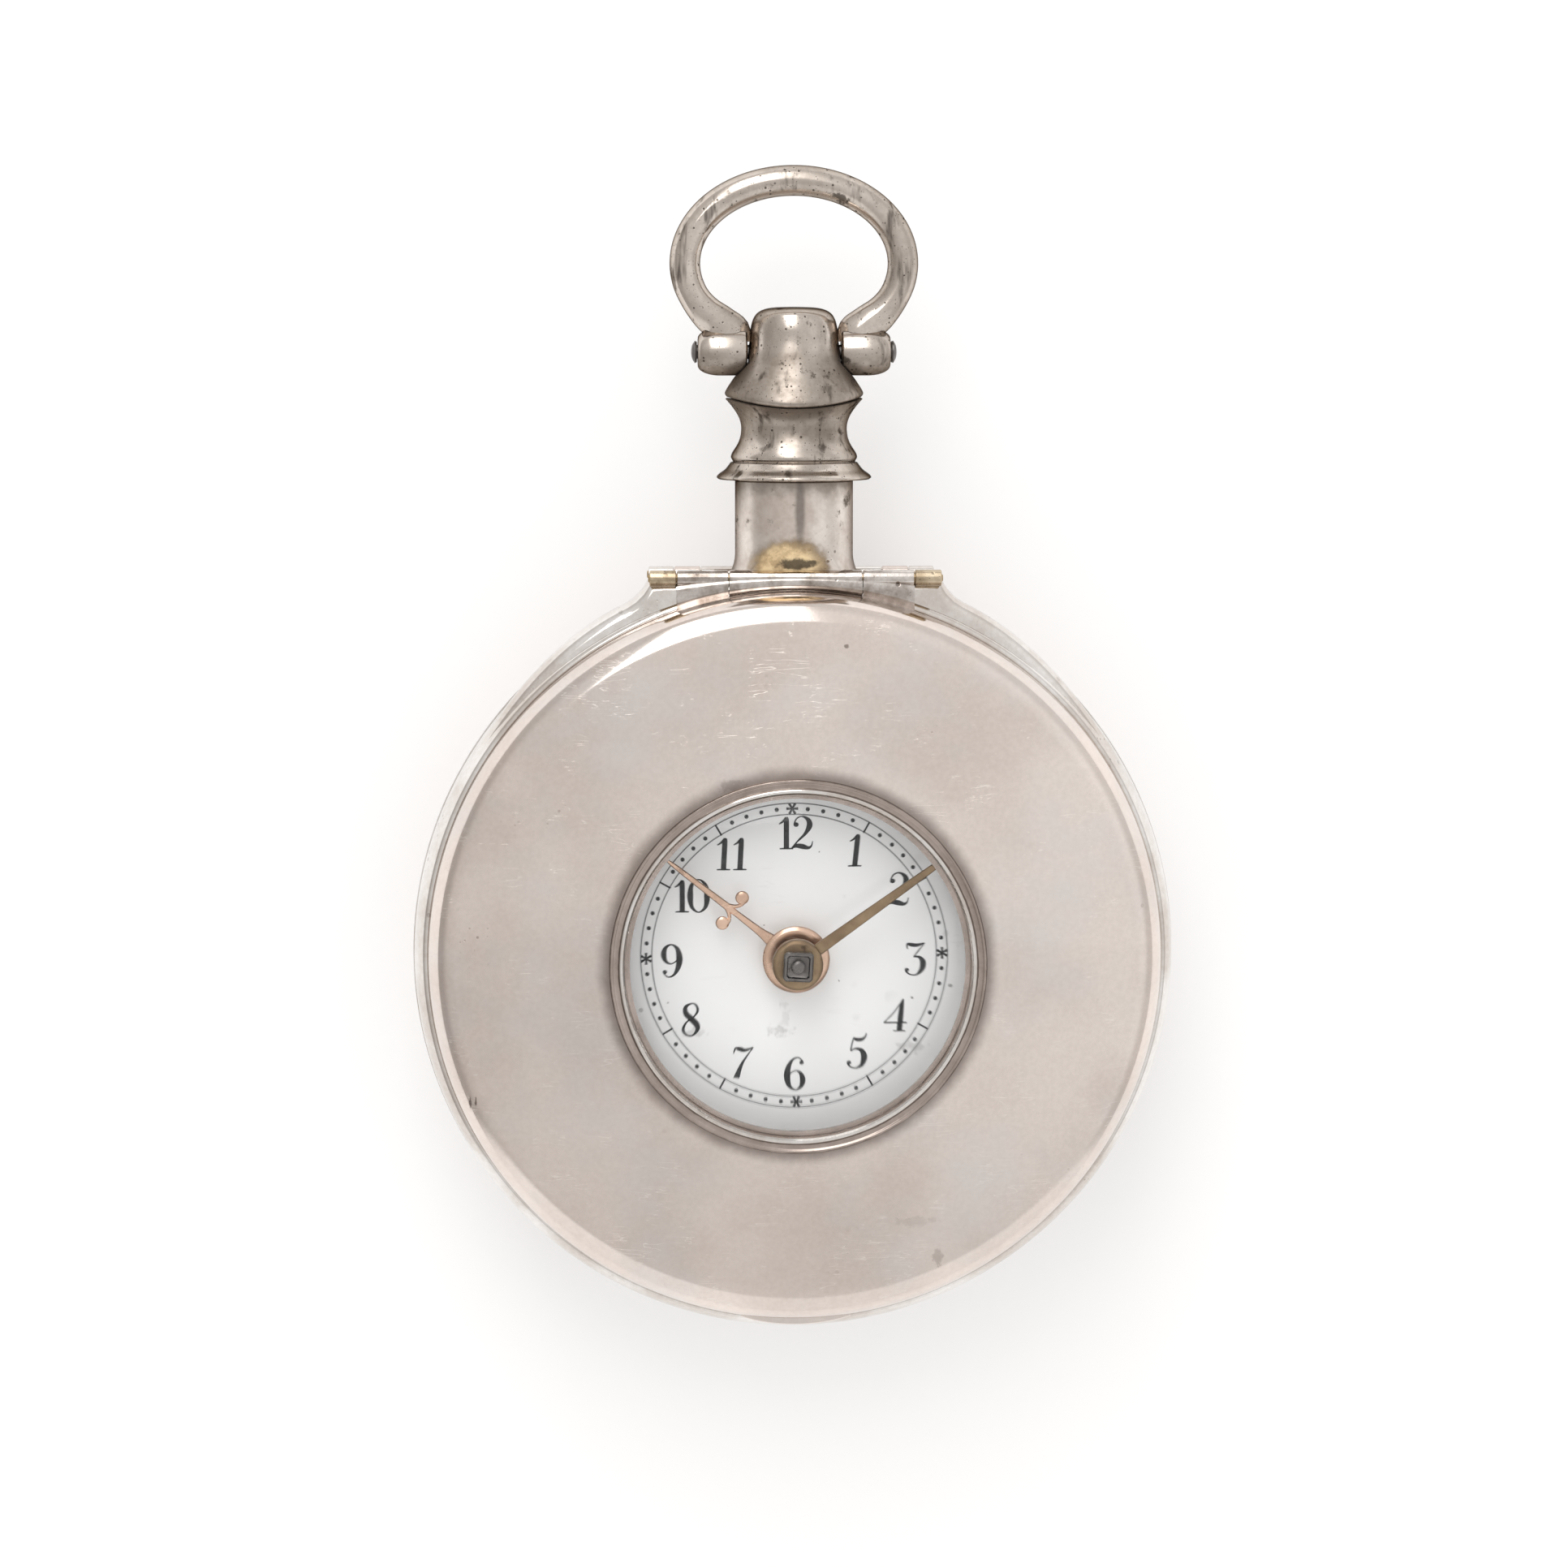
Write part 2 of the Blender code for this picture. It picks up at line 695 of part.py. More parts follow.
def back_point(share, inset):
    """A point of the rounded back, set in by a wall. The share runs from the widest circle to the flat."""
    angle = share * math.pi / 2
    radius = BACK_FLAT_R + (BAND_R - BACK_FLAT_R - inset) * math.cos(angle)
    return radius, MID_Z - (BACK_DEPTH - inset) * math.sin(angle)


def back_share(drop, inset):
    """The share along the rounded back at which it has dropped by a height."""
    return math.asin(drop / (BACK_DEPTH - inset)) / (math.pi / 2)


def back_curve(first, last, inset, steps):
    """Points of the rounded back between two shares."""
    return [back_point(first + (last - first) * i / steps, inset) for i in range(steps + 1)]


def snap_outer_r():
    """The outer radius of the snap rim that the back cover closes over."""
    return back_point(back_share(BACK_SEAM_DROP, 0), 0)[0] - BACK_WALL - 2 * SNAP_GAP - SNAP_HEIGHT / 2


def cover_point(share):
    """A point of the front cover's rounded shoulder, from its rim to its crown."""
    angle = share * math.pi / 2
    radius = SEAM_R - COVER_SHOULDER * (1 - math.cos(angle))
    return radius, SEAM_Z + SEAT_GAP + COVER_SHOULDER_RISE * math.sin(angle)


def crown_z(radius):
    """The height of the front cover's crown at a radius."""
    edge_r, edge_z = cover_point(1)
    return edge_z + (edge_r**2 - radius**2) / (2 * COVER_CROWN_R)


def knuckle(first, last, bore=HINGE_BORE_R + RUN_GAP):
    """A hinge knuckle about X between two places, bored for the pin."""
    profile = [(bore, first), (HINGE_R, first), (HINGE_R, last), (bore, last)]
    return moved(turned(profile, PIN_SIDES), along("X"))


def slot(first, last, axis):
    """A cutter that clears a knuckle of the other leaf."""
    radius = HINGE_R + KNUCKLE_GAP
    profile = [(0, first - KNUCKLE_GAP), (radius, first - KNUCKLE_GAP), (radius, last + KNUCKLE_GAP)]
    profile.append((0, last + KNUCKLE_GAP))
    shape = moved(turned(profile, PIN_SIDES, closed=False), along("X"))
    return moved(shape, Matrix.Translation(axis))


def bore_tool(length, axis):
    """A cutter that keeps a hinge's bore open through its whole length."""
    radius = HINGE_BORE_R + RUN_GAP
    profile = [(0, -length), (radius, -length), (radius, length), (0, length)]
    shape = moved(turned(profile, PIN_SIDES, closed=False), along("X"))
    return moved(shape, Matrix.Translation(axis))


def hinge_seat(rim_r, root, axis_y):
    """The outline of a hinge's seat, from a line that ends on a round rim to the hinge's axis."""
    half = math.sqrt(rim_r**2 - root**2)
    return [Vector((-half, root)), Vector((half, root)), Vector((HINGE_HALF, axis_y)), Vector((-HINGE_HALF, axis_y))]


FRONT_COVER_KNUCKLE = (NECK_FOOT_R + 2 * KNUCKLE_GAP, HINGE_HALF - HINGE_END)


def make_front_bezel():
    """The ring that shows around the front cover, with the snap rim, the dial's well and the front hinge's seat."""
    profile = []
    for i in range(4):
        angle = math.pi / 2 * (1 - i / 3)
        radius = SEAM_R + (BEZEL_R - SEAM_R) * math.cos(angle)
        profile.append((radius, MID_Z + SEAM_RISE * math.sin(angle)))
    snap_r = SEAM_R - COVER_RIM_WALL - SNAP_GAP
    profile += [
        (DIAL_SEAT_R, MID_Z),
        (DIAL_SEAT_R, MID_Z + REHAUT_RISE),
        (REHAUT_R, MID_Z + REHAUT_RISE + SNAP_GAP),
        (REHAUT_R, SEAM_Z + SNAP_HEIGHT),
        (snap_r, SEAM_Z + SNAP_HEIGHT),
        (snap_r, SEAM_Z),
    ]
    body = turned(profile, CASE_SIDES)
    low = MID_Z + FINE_SEAM
    high = FRONT_AXIS.z - SEAT_GAP
    rim_r = BEZEL_R - SEAT_GAP
    root = math.sqrt(rim_r**2 - (HINGE_HALF + HINGE_END) ** 2)
    body = joined(body, plate(hinge_seat(rim_r, root, FRONT_AXIS_Y), low, high))
    near, far = FRONT_COVER_KNUCKLE
    for first, last in ((-HINGE_HALF, -far), (-near, near), (far, HINGE_HALF)):
        body = joined(body, moved(knuckle(first, last), Matrix.Translation(FRONT_AXIS)))
    for first, last in ((-far, -near), (near, far)):
        body = cut(body, slot(first, last, FRONT_AXIS))
    body = cut(body, bore_tool(HINGE_HALF + OVERRUN, FRONT_AXIS))
    place("front_bezel", body, POLISHED_SILVER)


def make_case_middle():
    """The middle of the case behind the fine seam: the ledge for the movement and the back's snap rim and hinge."""
    outer = back_curve(back_share(FINE_SEAM, 0), back_share(BACK_SEAM_DROP, 0), 0, 2)
    snap_r = snap_outer_r()
    ledge_top = INNER_FACE - SEAT_GAP
    ledge_low = ledge_top - LEDGE_THICK
    profile = outer + [
        (snap_r, BACK_SEAM_Z),
        (snap_r, BACK_SEAM_Z - SNAP_HEIGHT),
        (snap_r - SNAP_WALL, BACK_SEAM_Z - SNAP_HEIGHT),
        (snap_r - SNAP_WALL, ledge_low),
        (LEDGE_R, ledge_low),
        (LEDGE_R, ledge_top),
        (DIAL_SEAT_R, ledge_top),
        (DIAL_SEAT_R, MID_Z - FINE_SEAM),
    ]
    body = turned(profile, CASE_SIDES)
    low = BACK_SEAM_Z + SEAT_GAP
    outline = hinge_seat(outer[-1][0] - SEAT_GAP, snap_r - SNAP_WALL / 2, BACK_AXIS_Y)
    body = joined(body, plate(outline, low, low + HINGE_LEAF))
    far = HINGE_HALF - HINGE_END
    near = HINGE_HALF - 2 * HINGE_END
    for first, last in ((-HINGE_HALF, -far), (-near, near), (far, HINGE_HALF)):
        body = joined(body, moved(knuckle(first, last), Matrix.Translation(BACK_AXIS)))
    for first, last in ((-far, -near), (near, far)):
        body = cut(body, slot(first, last, BACK_AXIS))
    body = cut(body, bore_tool(HINGE_HALF + OVERRUN, BACK_AXIS))
    place("case_middle", body, SILVER)


def leaf(first, last, axis, rim_r, low, high):
    """A hinge leaf from the middle of a cover's rim to its knuckle, with the knuckle."""
    outline = [
        Vector((first, math.sqrt(rim_r**2 - first**2))),
        Vector((last, math.sqrt(rim_r**2 - last**2))),
        Vector((last, axis.y)),
        Vector((first, axis.y)),
    ]
    return joined(plate(outline, low, high), moved(knuckle(first, last), Matrix.Translation(axis)))


def make_front_cover(holder):
    """The front lid: a crowned disc with a rolled shoulder, a round aperture and two hinge leaves."""
    outer = [cover_point(i / 3) for i in range(4)]
    outer += [(radius, crown_z(radius)) for radius in crown_stations()]
    rim_r = SEAM_R - COVER_RIM_WALL
    inner = [(radius, crown_z(radius) - COVER_WALL) for radius in crown_stations()[::-1]]
    inner += [
        (cover_point(1)[0] - COVER_WALL / 2, cover_point(1)[1] - COVER_WALL),
        (cover_point(1 / 2)[0] - COVER_WALL, cover_point(1 / 2)[1] - COVER_WALL),
        (rim_r, cover_point(1 / 4)[1] - COVER_WALL / 2),
        (rim_r, SEAM_Z + SEAT_GAP),
    ]
    body = turned(outer + inner, CASE_SIDES)
    near, far = FRONT_COVER_KNUCKLE
    low = SEAM_Z + SEAT_GAP
    middle = SEAM_R - COVER_RIM_WALL / 2
    for first, last in ((-far, -near), (near, far)):
        body = joined(body, leaf(first, last, FRONT_AXIS, middle, low, low + HINGE_LEAF))
    body = joined(body, thumb_lip(SEAM_R, low))
    body = cut(body, bore_tool(HINGE_HALF + OVERRUN, FRONT_AXIS))
    place("front_cover", moved(body, Matrix.Translation(-FRONT_AXIS)), SILVER, FRONT_AXIS, holder)


def crown_stations():
    """Radii at which the cover's crown is measured, from the shoulder to the aperture."""
    first = cover_point(1)[0]
    return [first + (APERTURE_R - first) * i / 2 for i in range(1, 3)]


def make_aperture_bezel(holder):
    """The raised ring around the aperture, with two beads, and the seat that holds the glass."""
    seat = crown_z(RING_R) + SEAT_GAP
    top = seat + RING_PROUD
    tube_r = APERTURE_R - SEAT_GAP
    floor = crown_z(RING_R) - RING_DEPTH
    profile = [
        (RING_R, seat),
        (RING_R, top - RING_BEAD),
        (RING_R - RING_BEAD, top),
        (RING_R - 2 * RING_BEAD, top - RING_BEAD / 2),
        (RING_INNER_R + RING_BEAD, top - RING_BEAD / 2),
        (RING_INNER_R, top - RING_BEAD),
        (RING_INNER_R, floor + RING_LIP),
        (RING_LIP_R, floor + RING_LIP),
        (RING_LIP_R, floor),
        (tube_r, floor),
        (tube_r, seat),
    ]
    body = moved(turned(profile, CASE_SIDES), Matrix.Translation(-FRONT_AXIS))
    place("aperture_bezel", body, POLISHED_SILVER, FRONT_AXIS, holder)


def make_glass(holder):
    """The domed glass, high enough to clear the setting square."""
    edge_r = RING_INNER_R - SEAT_GAP
    low = crown_z(RING_R) - RING_DEPTH + RING_LIP + SEAT_GAP
    inner_r = edge_r - GLASS_WALL
    steps = 3
    outer = [dome_point(edge_r, low + GLASS_EDGE, GLASS_DOME, i / steps) for i in range(steps + 1)]
    rise = GLASS_DOME + GLASS_EDGE - GLASS_WALL
    inner = [dome_point(inner_r, low, rise, i / steps) for i in range(steps + 1)]
    profile = outer[::-1] + [(edge_r, low)] + inner
    body = moved(turned(profile, CASE_SIDES, closed=False), Matrix.Translation(-FRONT_AXIS))
    place("domed_glass", body, GLASS, FRONT_AXIS, holder)


def dome_point(edge_r, low, rise, share):
    """A point of a spherical cap, from its edge to its top."""
    if share == 1:
        return 0, low + rise
    radius = edge_r * (1 - share)
    sphere_r = (edge_r**2 + rise**2) / (2 * rise)
    return radius, low + rise - sphere_r + math.sqrt(sphere_r**2 - radius**2)


def make_back_cover(holder):
    """The rounded back with its resting flat, its rim over the snap rim, and two hinge leaves."""
    start = back_share(BACK_SEAM_DROP + SEAT_GAP, 0)
    outer = back_curve(start, 1, 0, 5)
    rim_r = snap_outer_r() + SNAP_GAP
    rim_low = BACK_SEAM_Z - SNAP_HEIGHT - SNAP_GAP
    inner = back_curve(back_share(MID_Z - rim_low + SNAP_GAP, BACK_WALL), 1, BACK_WALL, 3)
    profile = [(0, outer[-1][1])] + outer[::-1]
    profile += [(rim_r, BACK_SEAM_Z - SEAT_GAP), (rim_r, rim_low)] + inner + [(0, inner[-1][1])]
    body = turned(profile, CASE_SIDES, closed=False)
    far = HINGE_HALF - HINGE_END
    near = HINGE_HALF - 2 * HINGE_END
    high = BACK_SEAM_Z - SEAT_GAP
    middle = (outer[0][0] + rim_r) / 2
    for first, last in ((-far, -near), (near, far)):
        body = joined(body, leaf(first, last, BACK_AXIS, middle, high - HINGE_LEAF, high))
    body = joined(body, thumb_lip(outer[0][0], high - LIP_THICK))
    body = cut(body, bore_tool(HINGE_HALF + OVERRUN, BACK_AXIS))
    place("back_cover", moved(body, Matrix.Translation(-BACK_AXIS)), SILVER, BACK_AXIS, holder)


def make_inner_dome():
    """The thin dome under the back cover, with the hole for the winding key."""
    outset = BACK_WALL + DOME_ROOM
    inset = outset + DOME_WALL
    rim_r = snap_outer_r() - SNAP_WALL - SNAP_GAP
    top = INNER_FACE - 2 * SEAT_GAP - LEDGE_THICK
    shoulder = top - DOME_RIM_HEIGHT
    start = back_share(MID_Z - shoulder + DOME_WALL, outset)
    outer = back_curve(start, 1, outset, 3)
    inner = back_curve(back_share(MID_Z - shoulder, inset), 1, inset, 2)
    profile = [(0, outer[-1][1])] + outer[::-1] + [(rim_r, shoulder), (rim_r, top)]
    profile += [(inner[0][0], top)] + inner + [(0, inner[-1][1])]
    body = turned(profile, CASE_SIDES, closed=False)
    key_hole = plate(circle(WINDING_HOLE_R, STEM_SIDES, FUSEE_AT), 0, MID_Z - BACK_SEAM_DROP)
    place("inner_dome", cut(body, key_hole), GILT)


def make_hinge_pins():
    """The pins of the two hinges."""
    for name, axis in (("front_hinge_pin", FRONT_AXIS), ("back_hinge_pin", BACK_AXIS)):
        half = HINGE_HALF + KNUCKLE_GAP
        profile = [(0, -half), (HINGE_BORE_R, -half), (HINGE_BORE_R, half), (0, half)]
        shape = moved(turned(profile, PIN_SIDES, closed=False), along("X"))
        place(name, shape, BRASS, axis)


def thumb_lip(rim_r, low):
    """The lip at six o'clock that a thumbnail lifts, rooted in a cover's rim."""
    spread = LIP_HALF / rim_r
    arc = [-math.pi / 2 + spread * (2 * i / 6 - 1) for i in range(7)]
    points = [Vector((math.cos(angle), math.sin(angle))) * (rim_r - LIP_PROUD / 2) for angle in arc]
    for i, angle in reversed(list(enumerate(arc))):
        swell = LIP_PROUD * math.sin(math.pi * (i + 1) / 8)
        points.append(Vector((math.cos(angle), math.sin(angle))) * (rim_r + swell))
    return plate(points, low, low + LIP_THICK)


# The pendant and the bow


def smile(mesh, level, fade, way):
    """Lift the sides of a rim, so that its parting line dips at the front. It fades out along Y."""
    for corner in mesh.verts:
        near = 1 - min(abs(corner.co.y - level) / fade, 1)
        if way * (corner.co.y - level) >= -OVERRUN:
            corner.co.y += SMILE * near * (corner.co.x / HEAD_RIM_R) ** 2
    return mesh


def saddle():
    """A cutter of the case's outline behind the fine seam, which fits the neck's foot to the band."""
    deep = back_curve(0, back_share(BACK_SEAM_DROP + 2 * OVERRUN, 0), 0, 3)
    profile = [(radius + SEAT_GAP, height - MID_Z) for radius, height in deep[::-1]]
    return turned([(0, profile[0][1])] + profile + [(0, 0)], CASE_SIDES, closed=False)


def make_pendant_neck():
    """The neck with its flared foot and the relief that the open cover's rim swings into."""
    root = NECK_START - NECK_FLARE
    profile = [
        (0, root),
        (NECK_FOOT_R, root),
        (NECK_FOOT_R, NECK_START),
        (NECK_R, NECK_START + NECK_FLARE),
        (NECK_R, NECK_TOP),
        (0, NECK_TOP),
    ]
    body = moved(turned(profile, STEM_SIDES, closed=False), along("Y"))
    low = NECK_FOOT_R - RELIEF_DEPTH
    side = [
        Vector((NECK_START - OVERRUN, low - OVERRUN / 2)),
        Vector((NECK_START + RELIEF_LENGTH, NECK_R)),
        Vector((NECK_START + RELIEF_LENGTH, NECK_FOOT_R + OVERRUN)),
        Vector((NECK_START - OVERRUN, NECK_FOOT_R + OVERRUN)),
    ]
    wedge = plate(side, -NECK_FOOT_R - OVERRUN, NECK_FOOT_R + OVERRUN)
    wedge = moved(wedge, Matrix(((0, 0, 1, 0), (1, 0, 0, 0), (0, 1, 0, 0), (0, 0, 0, 1))))
    half = NECK_FOOT_R + OVERRUN
    step = box(-half, half, root - OVERRUN, NECK_START, -SEAT_GAP, half)
    body = cut(body, wedge, saddle(), step)
    for axis in (FRONT_AXIS, BACK_AXIS):
        groove = hole(HINGE_R + 2 * KNUCKLE_GAP, sides=SMALL_SIDES)
        at = axis - Vector((0, 0, MID_Z))
        body = cut(body, moved(plate(groove, -half, half), Matrix.Translation(at) @ along("X")))
    place("pendant_neck", body, SILVER, (0, 0, MID_Z))


def make_pendant_collar():
    """The turned collar: a flange at its foot, a waist, and a rim that meets the head."""
    rise = COLLAR_TOP - NECK_TOP - SEAT_GAP
    low = NECK_TOP + SEAT_GAP
    profile = [
        (0, low),
        (FLANGE_R - FLANGE_LIP / 2, low),
        (FLANGE_R, low + FLANGE_LIP / 2),
        (FLANGE_R - FLANGE_LIP / 4, low + FLANGE_LIP),
    ]
    for (out_share, rise_share), edge_r in zip(COLLAR_SHARES, (FLANGE_R, FLANGE_R, COLLAR_RIM_R)):
        radius = COLLAR_WAIST_R + (edge_r - COLLAR_WAIST_R) * out_share
        profile.append((radius, low + rise * rise_share))
    profile += [
        (COLLAR_RIM_R, COLLAR_TOP - FLANGE_LIP / 4),
        (COLLAR_RIM_R - FLANGE_LIP / 2, COLLAR_TOP),
        (0, COLLAR_TOP),
    ]
    body = moved(turned(profile, STEM_SIDES, closed=False), along("Y"))
    smile(body, COLLAR_TOP, rise * (1 - COLLAR_FADE_SHARE), 1)
    place("pendant_collar", body, POLISHED_SILVER, (0, 0, MID_Z))


def make_pendant_head():
    """The bell-shaped head, recessed at both sides for the bow's eyes and drilled for the screws."""
    low = COLLAR_TOP + SEAT_GAP
    rise = HEAD_TOP - low
    profile = [(0, low), (HEAD_RIM_R - FLANGE_LIP / 2, low)]
    profile += [(radius_share * HEAD_RIM_R, low + height_share * rise) for radius_share, height_share in HEAD_SHARES]
    profile.append((0, HEAD_TOP))
    body = moved(turned(profile, STEM_SIDES, closed=False), along("Y"))
    smile(body, low, rise * COLLAR_FADE_SHARE, 1)
    recess_r = EYE_R + EYE_RECESS_GAP
    for way in (-1, 1):
        for radius, first in ((recess_r, EYE_INNER - EYE_RECESS_GAP), (SCREW_R + RUN_GAP, EYE_INNER - SCREW_DEPTH)):
            last = HEAD_RIM_R + OVERRUN
            profile = [(0, first), (radius, first), (radius, last), (0, last)]
            tool = moved(turned(profile, HAND_SIDES, closed=False), along("X"))
            tool = moved(tool, Matrix.Rotation(0 if way > 0 else math.pi, 4, "Z"))
            body = cut(body, moved(tool, Matrix.Translation((0, BOW_AXIS_Y, 0))))
    place("pendant_head", body, POLISHED_SILVER, (0, 0, MID_Z))


def bow_point(degrees):
    """A point on the bow's centre line, seen from its joint."""
    angle = math.radians(degrees)
    reach = BOW_UPPER if degrees > 0 and degrees < 180 else BOW_LOWER
    return Vector((BOW_HALF_WIDTH * math.cos(angle), BOW_RISE + reach * math.sin(angle), 0))


def make_bow(holder):
    """The oval bow with its two eyes, bored for the screws."""
    path = [Vector(((EYE_INNER + EYE_OUTER) / 2, EYE_R * BOW_FOOT_SHARE, 0))]
    last = 180 - BOW_START_ANGLE
    for i in range(BOW_STEPS + 1):
        path.append(bow_point(BOW_START_ANGLE + (last - BOW_START_ANGLE) * i / BOW_STEPS))
    path.append(Vector((-(EYE_INNER + EYE_OUTER) / 2, EYE_R * BOW_FOOT_SHARE, 0)))
    mesh = bmesh.new()
    rings = []
    for i, point in enumerate(path):
        ahead = (path[min(i + 1, len(path) - 1)] - path[max(i - 1, 0)]).normalized()
        side = Vector((-ahead.y, ahead.x, 0))
        ring = []
        for k in range(PIN_SIDES):
            angle = 2 * math.pi * (k + 0.5) / PIN_SIDES
            offset = side * math.cos(angle) + Vector((0, 0, math.sin(angle)))
            ring.append(mesh.verts.new(point + offset * BOW_WIRE_R))
        rings.append(ring)
    for low, high in zip(rings, rings[1:]):
        bridge(mesh, low, high)
    mesh.faces.new(rings[0])
    mesh.faces.new(rings[-1])
    body = finish(mesh)
    for way in (-1, 1):
        eye = [
            (0, EYE_INNER),
            (EYE_R - EYE_RIM / 2, EYE_INNER),
            (EYE_R, EYE_INNER + EYE_RIM / 2),
            (EYE_R, EYE_OUTER - EYE_RIM),
            (EYE_R - EYE_RIM, EYE_OUTER),
            (0, EYE_OUTER),
        ]
        turn = Matrix.Rotation(0 if way > 0 else math.pi, 4, "Z") @ along("X")
        body = joined(body, moved(turned(eye, SMALL_SIDES, closed=False), turn))
    bore = SCREW_R + RUN_GAP
    reach = EYE_OUTER + OVERRUN
    hole = [(0, -reach), (bore, -reach), (bore, reach), (0, reach)]
    body = cut(body, moved(turned(hole, PIN_SIDES, closed=False), along("X")))
    place("bow", body, POLISHED_SILVER, BOW_AXIS, holder)


def make_bow_screws():
    """The two screws on which the bow swings."""
    for way, name in ((-1, "bow_screw_left"), (1, "bow_screw_right")):
        first = EYE_INNER - SCREW_DEPTH + SEAT_GAP
        head = EYE_OUTER + SEAT_GAP
        profile = [(0, first), (SCREW_R, first), (SCREW_R, head), (SCREW_HEAD_R, head)]
        profile += [(SCREW_HEAD_R, head + SCREW_HEAD / 2), (0, head + SCREW_HEAD)]
        turn = Matrix.Rotation(0 if way > 0 else math.pi, 4, "Z") @ along("X")
        place(name, moved(turned(profile, PIN_SIDES, closed=False), turn), STEEL, BOW_AXIS)


# The dial, the plates and what stands between them


def make_dial():
    """The enamel dial on its copper, with three feet through the pillar plate."""
    profile = [
        (DIAL_HOLE_R, DIAL_UNDER),
        (DIAL_R, DIAL_UNDER),
        (DIAL_R, DIAL_TOP - DIAL_EDGE),
        (DIAL_R - DIAL_EDGE, DIAL_TOP),
        (DIAL_HOLE_R, DIAL_TOP),
    ]
    body = turned(profile, CASE_SIDES)
    for at in dial_feet():
        foot = plate(circle(FOOT_R, PIN_SIDES, at), INNER_FACE - PIVOT_LENGTH, DIAL_TOP - DIAL_THICK / 2)
        body = joined(body, foot)
    place("dial", body, ENAMEL)


def dial_feet():
    """Where the dial's feet stand."""
    return [polar(FOOT_CIRCLE_R, bearing) for bearing in FOOT_BEARINGS]


def pillar_places():
    """Where the four pillars stand."""
    return [polar(PILLAR_CIRCLE_R, 90 * i) for i in range(4)]


def make_plates():
    """The pillar plate under the dial and the top plate behind the train, drilled for every pivot."""
    run = RUN_GAP
    pivots = [hole(PIVOT_R + run, at) for at in (THIRD_AT, CONTRATE_AT)]
    wide = [
        hole(FUSEE_ARBOR_R + run, FUSEE_AT),
        hole(BARREL_ARBOR_R + run, BARREL_AT),
        hole(CENTRE_ARBOR_R + run),
    ]
    feet = [hole(FOOT_R + run, at) for at in dial_feet()]
    stud = [hole(ARBOR_R + run, MINUTE_AT)]
    body = plate(circle(PILLAR_PLATE_R, CASE_SIDES), INNER_FACE, FRONT_FACE, pivots + wide + feet + stud)
    place("pillar_plate", body, GILT)
    tenons = [hole(PILLAR_TENON_R + run, at) for at in pillar_places()]
    verge = [hole(VERGE_R + 2 * run, VERGE_AT)]
    body = plate(circle(TOP_PLATE_R, CASE_SIDES), TOP_OUTER, TOP_INNER, pivots + wide + tenons + verge)
    place("top_plate", body, GILT)


PILLAR_SHARES = ((1.0, 0.0), (1.0, 0.12), (0.6, 0.2), (0.95, 0.45), (0.6, 0.85), (1.0, 1.0))


def make_pillars():
    """The four turned pillars with their tenons, and the taper pins that lock the top plate."""
    low = TOP_INNER + SEAT_GAP
    rise = PLATE_ROOM - 2 * SEAT_GAP
    pin_z = TOP_OUTER - SEAT_GAP - PIN_R
    for i, at in enumerate(pillar_places(), 1):
        profile = [(0, low + rise)]
        profile += [(r * PILLAR_R, low + h * rise) for r, h in PILLAR_SHARES[::-1]]
        profile += [(PILLAR_TENON_R, low), (PILLAR_TENON_R, low - PILLAR_TENON), (0, low - PILLAR_TENON)]
        body = turned(profile, PIN_SIDES, closed=False)
        half = PIN_LENGTH / 2
        radius = PIN_R + SEAT_GAP / 2
        bore = plate(circle(radius, PIN_SIDES), -half, half)
        body = cut(body, moved(bore, Matrix.Translation((0, 0, pin_z)) @ along("X")))
        place(f"pillar_{i}", body, GILT, upright(at))
    for i, at in enumerate(pillar_places(), 1):
        pin = moved(plate(circle(PIN_R, PIN_SIDES), -PIN_LENGTH / 2, PIN_LENGTH / 2), along("X"))
        place(f"taper_pin_{i}", pin, STEEL, upright(at, pin_z))


# The train


def shaft(stations, sides=PIN_SIDES):
    """A stepped shaft. Each (radius, height) station starts a step that runs to the next one's height."""
    profile = [(0, stations[0][1])]
    for (radius, low), (_, high) in zip(stations, stations[1:]):
        profile += [(radius, low), (radius, high)]
    profile.append((0, stations[-1][1]))
    return turned(profile, sides, closed=False)


def arbor(pinion, pinion_low, pinion_high, low, high):
    """A shaft with a pinion cut on it and a thin pivot at each end."""
    stations = [
        (PIVOT_R, low - PIVOT_LENGTH),
        (ARBOR_R, low),
        (PIVOT_R, high),
        (0, high + PIVOT_LENGTH),
    ]
    return joined(shaft(stations), plate(pinion, pinion_low, pinion_high))


def pinion_turn(bearing, teeth):
    """The turn that puts a gap of a pinion towards its driver, which lies at the opposite bearing."""
    return math.radians(bearing + 180) + math.pi / teeth


def crossed_wheel(teeth, module, turn, spokes, hub_r, bore_r, low, high):
    """A toothed wheel with spokes and a bore."""
    rim_r = module * teeth / 2 - WHEEL_DEDENDUM_SHARE * module - WHEEL_RIM
    holes = [hole(bore_r)]
    if spokes:
        holes += crossings(spokes, hub_r, rim_r)
    return plate(wheel_outline(teeth, module, turn), low, high, holes)


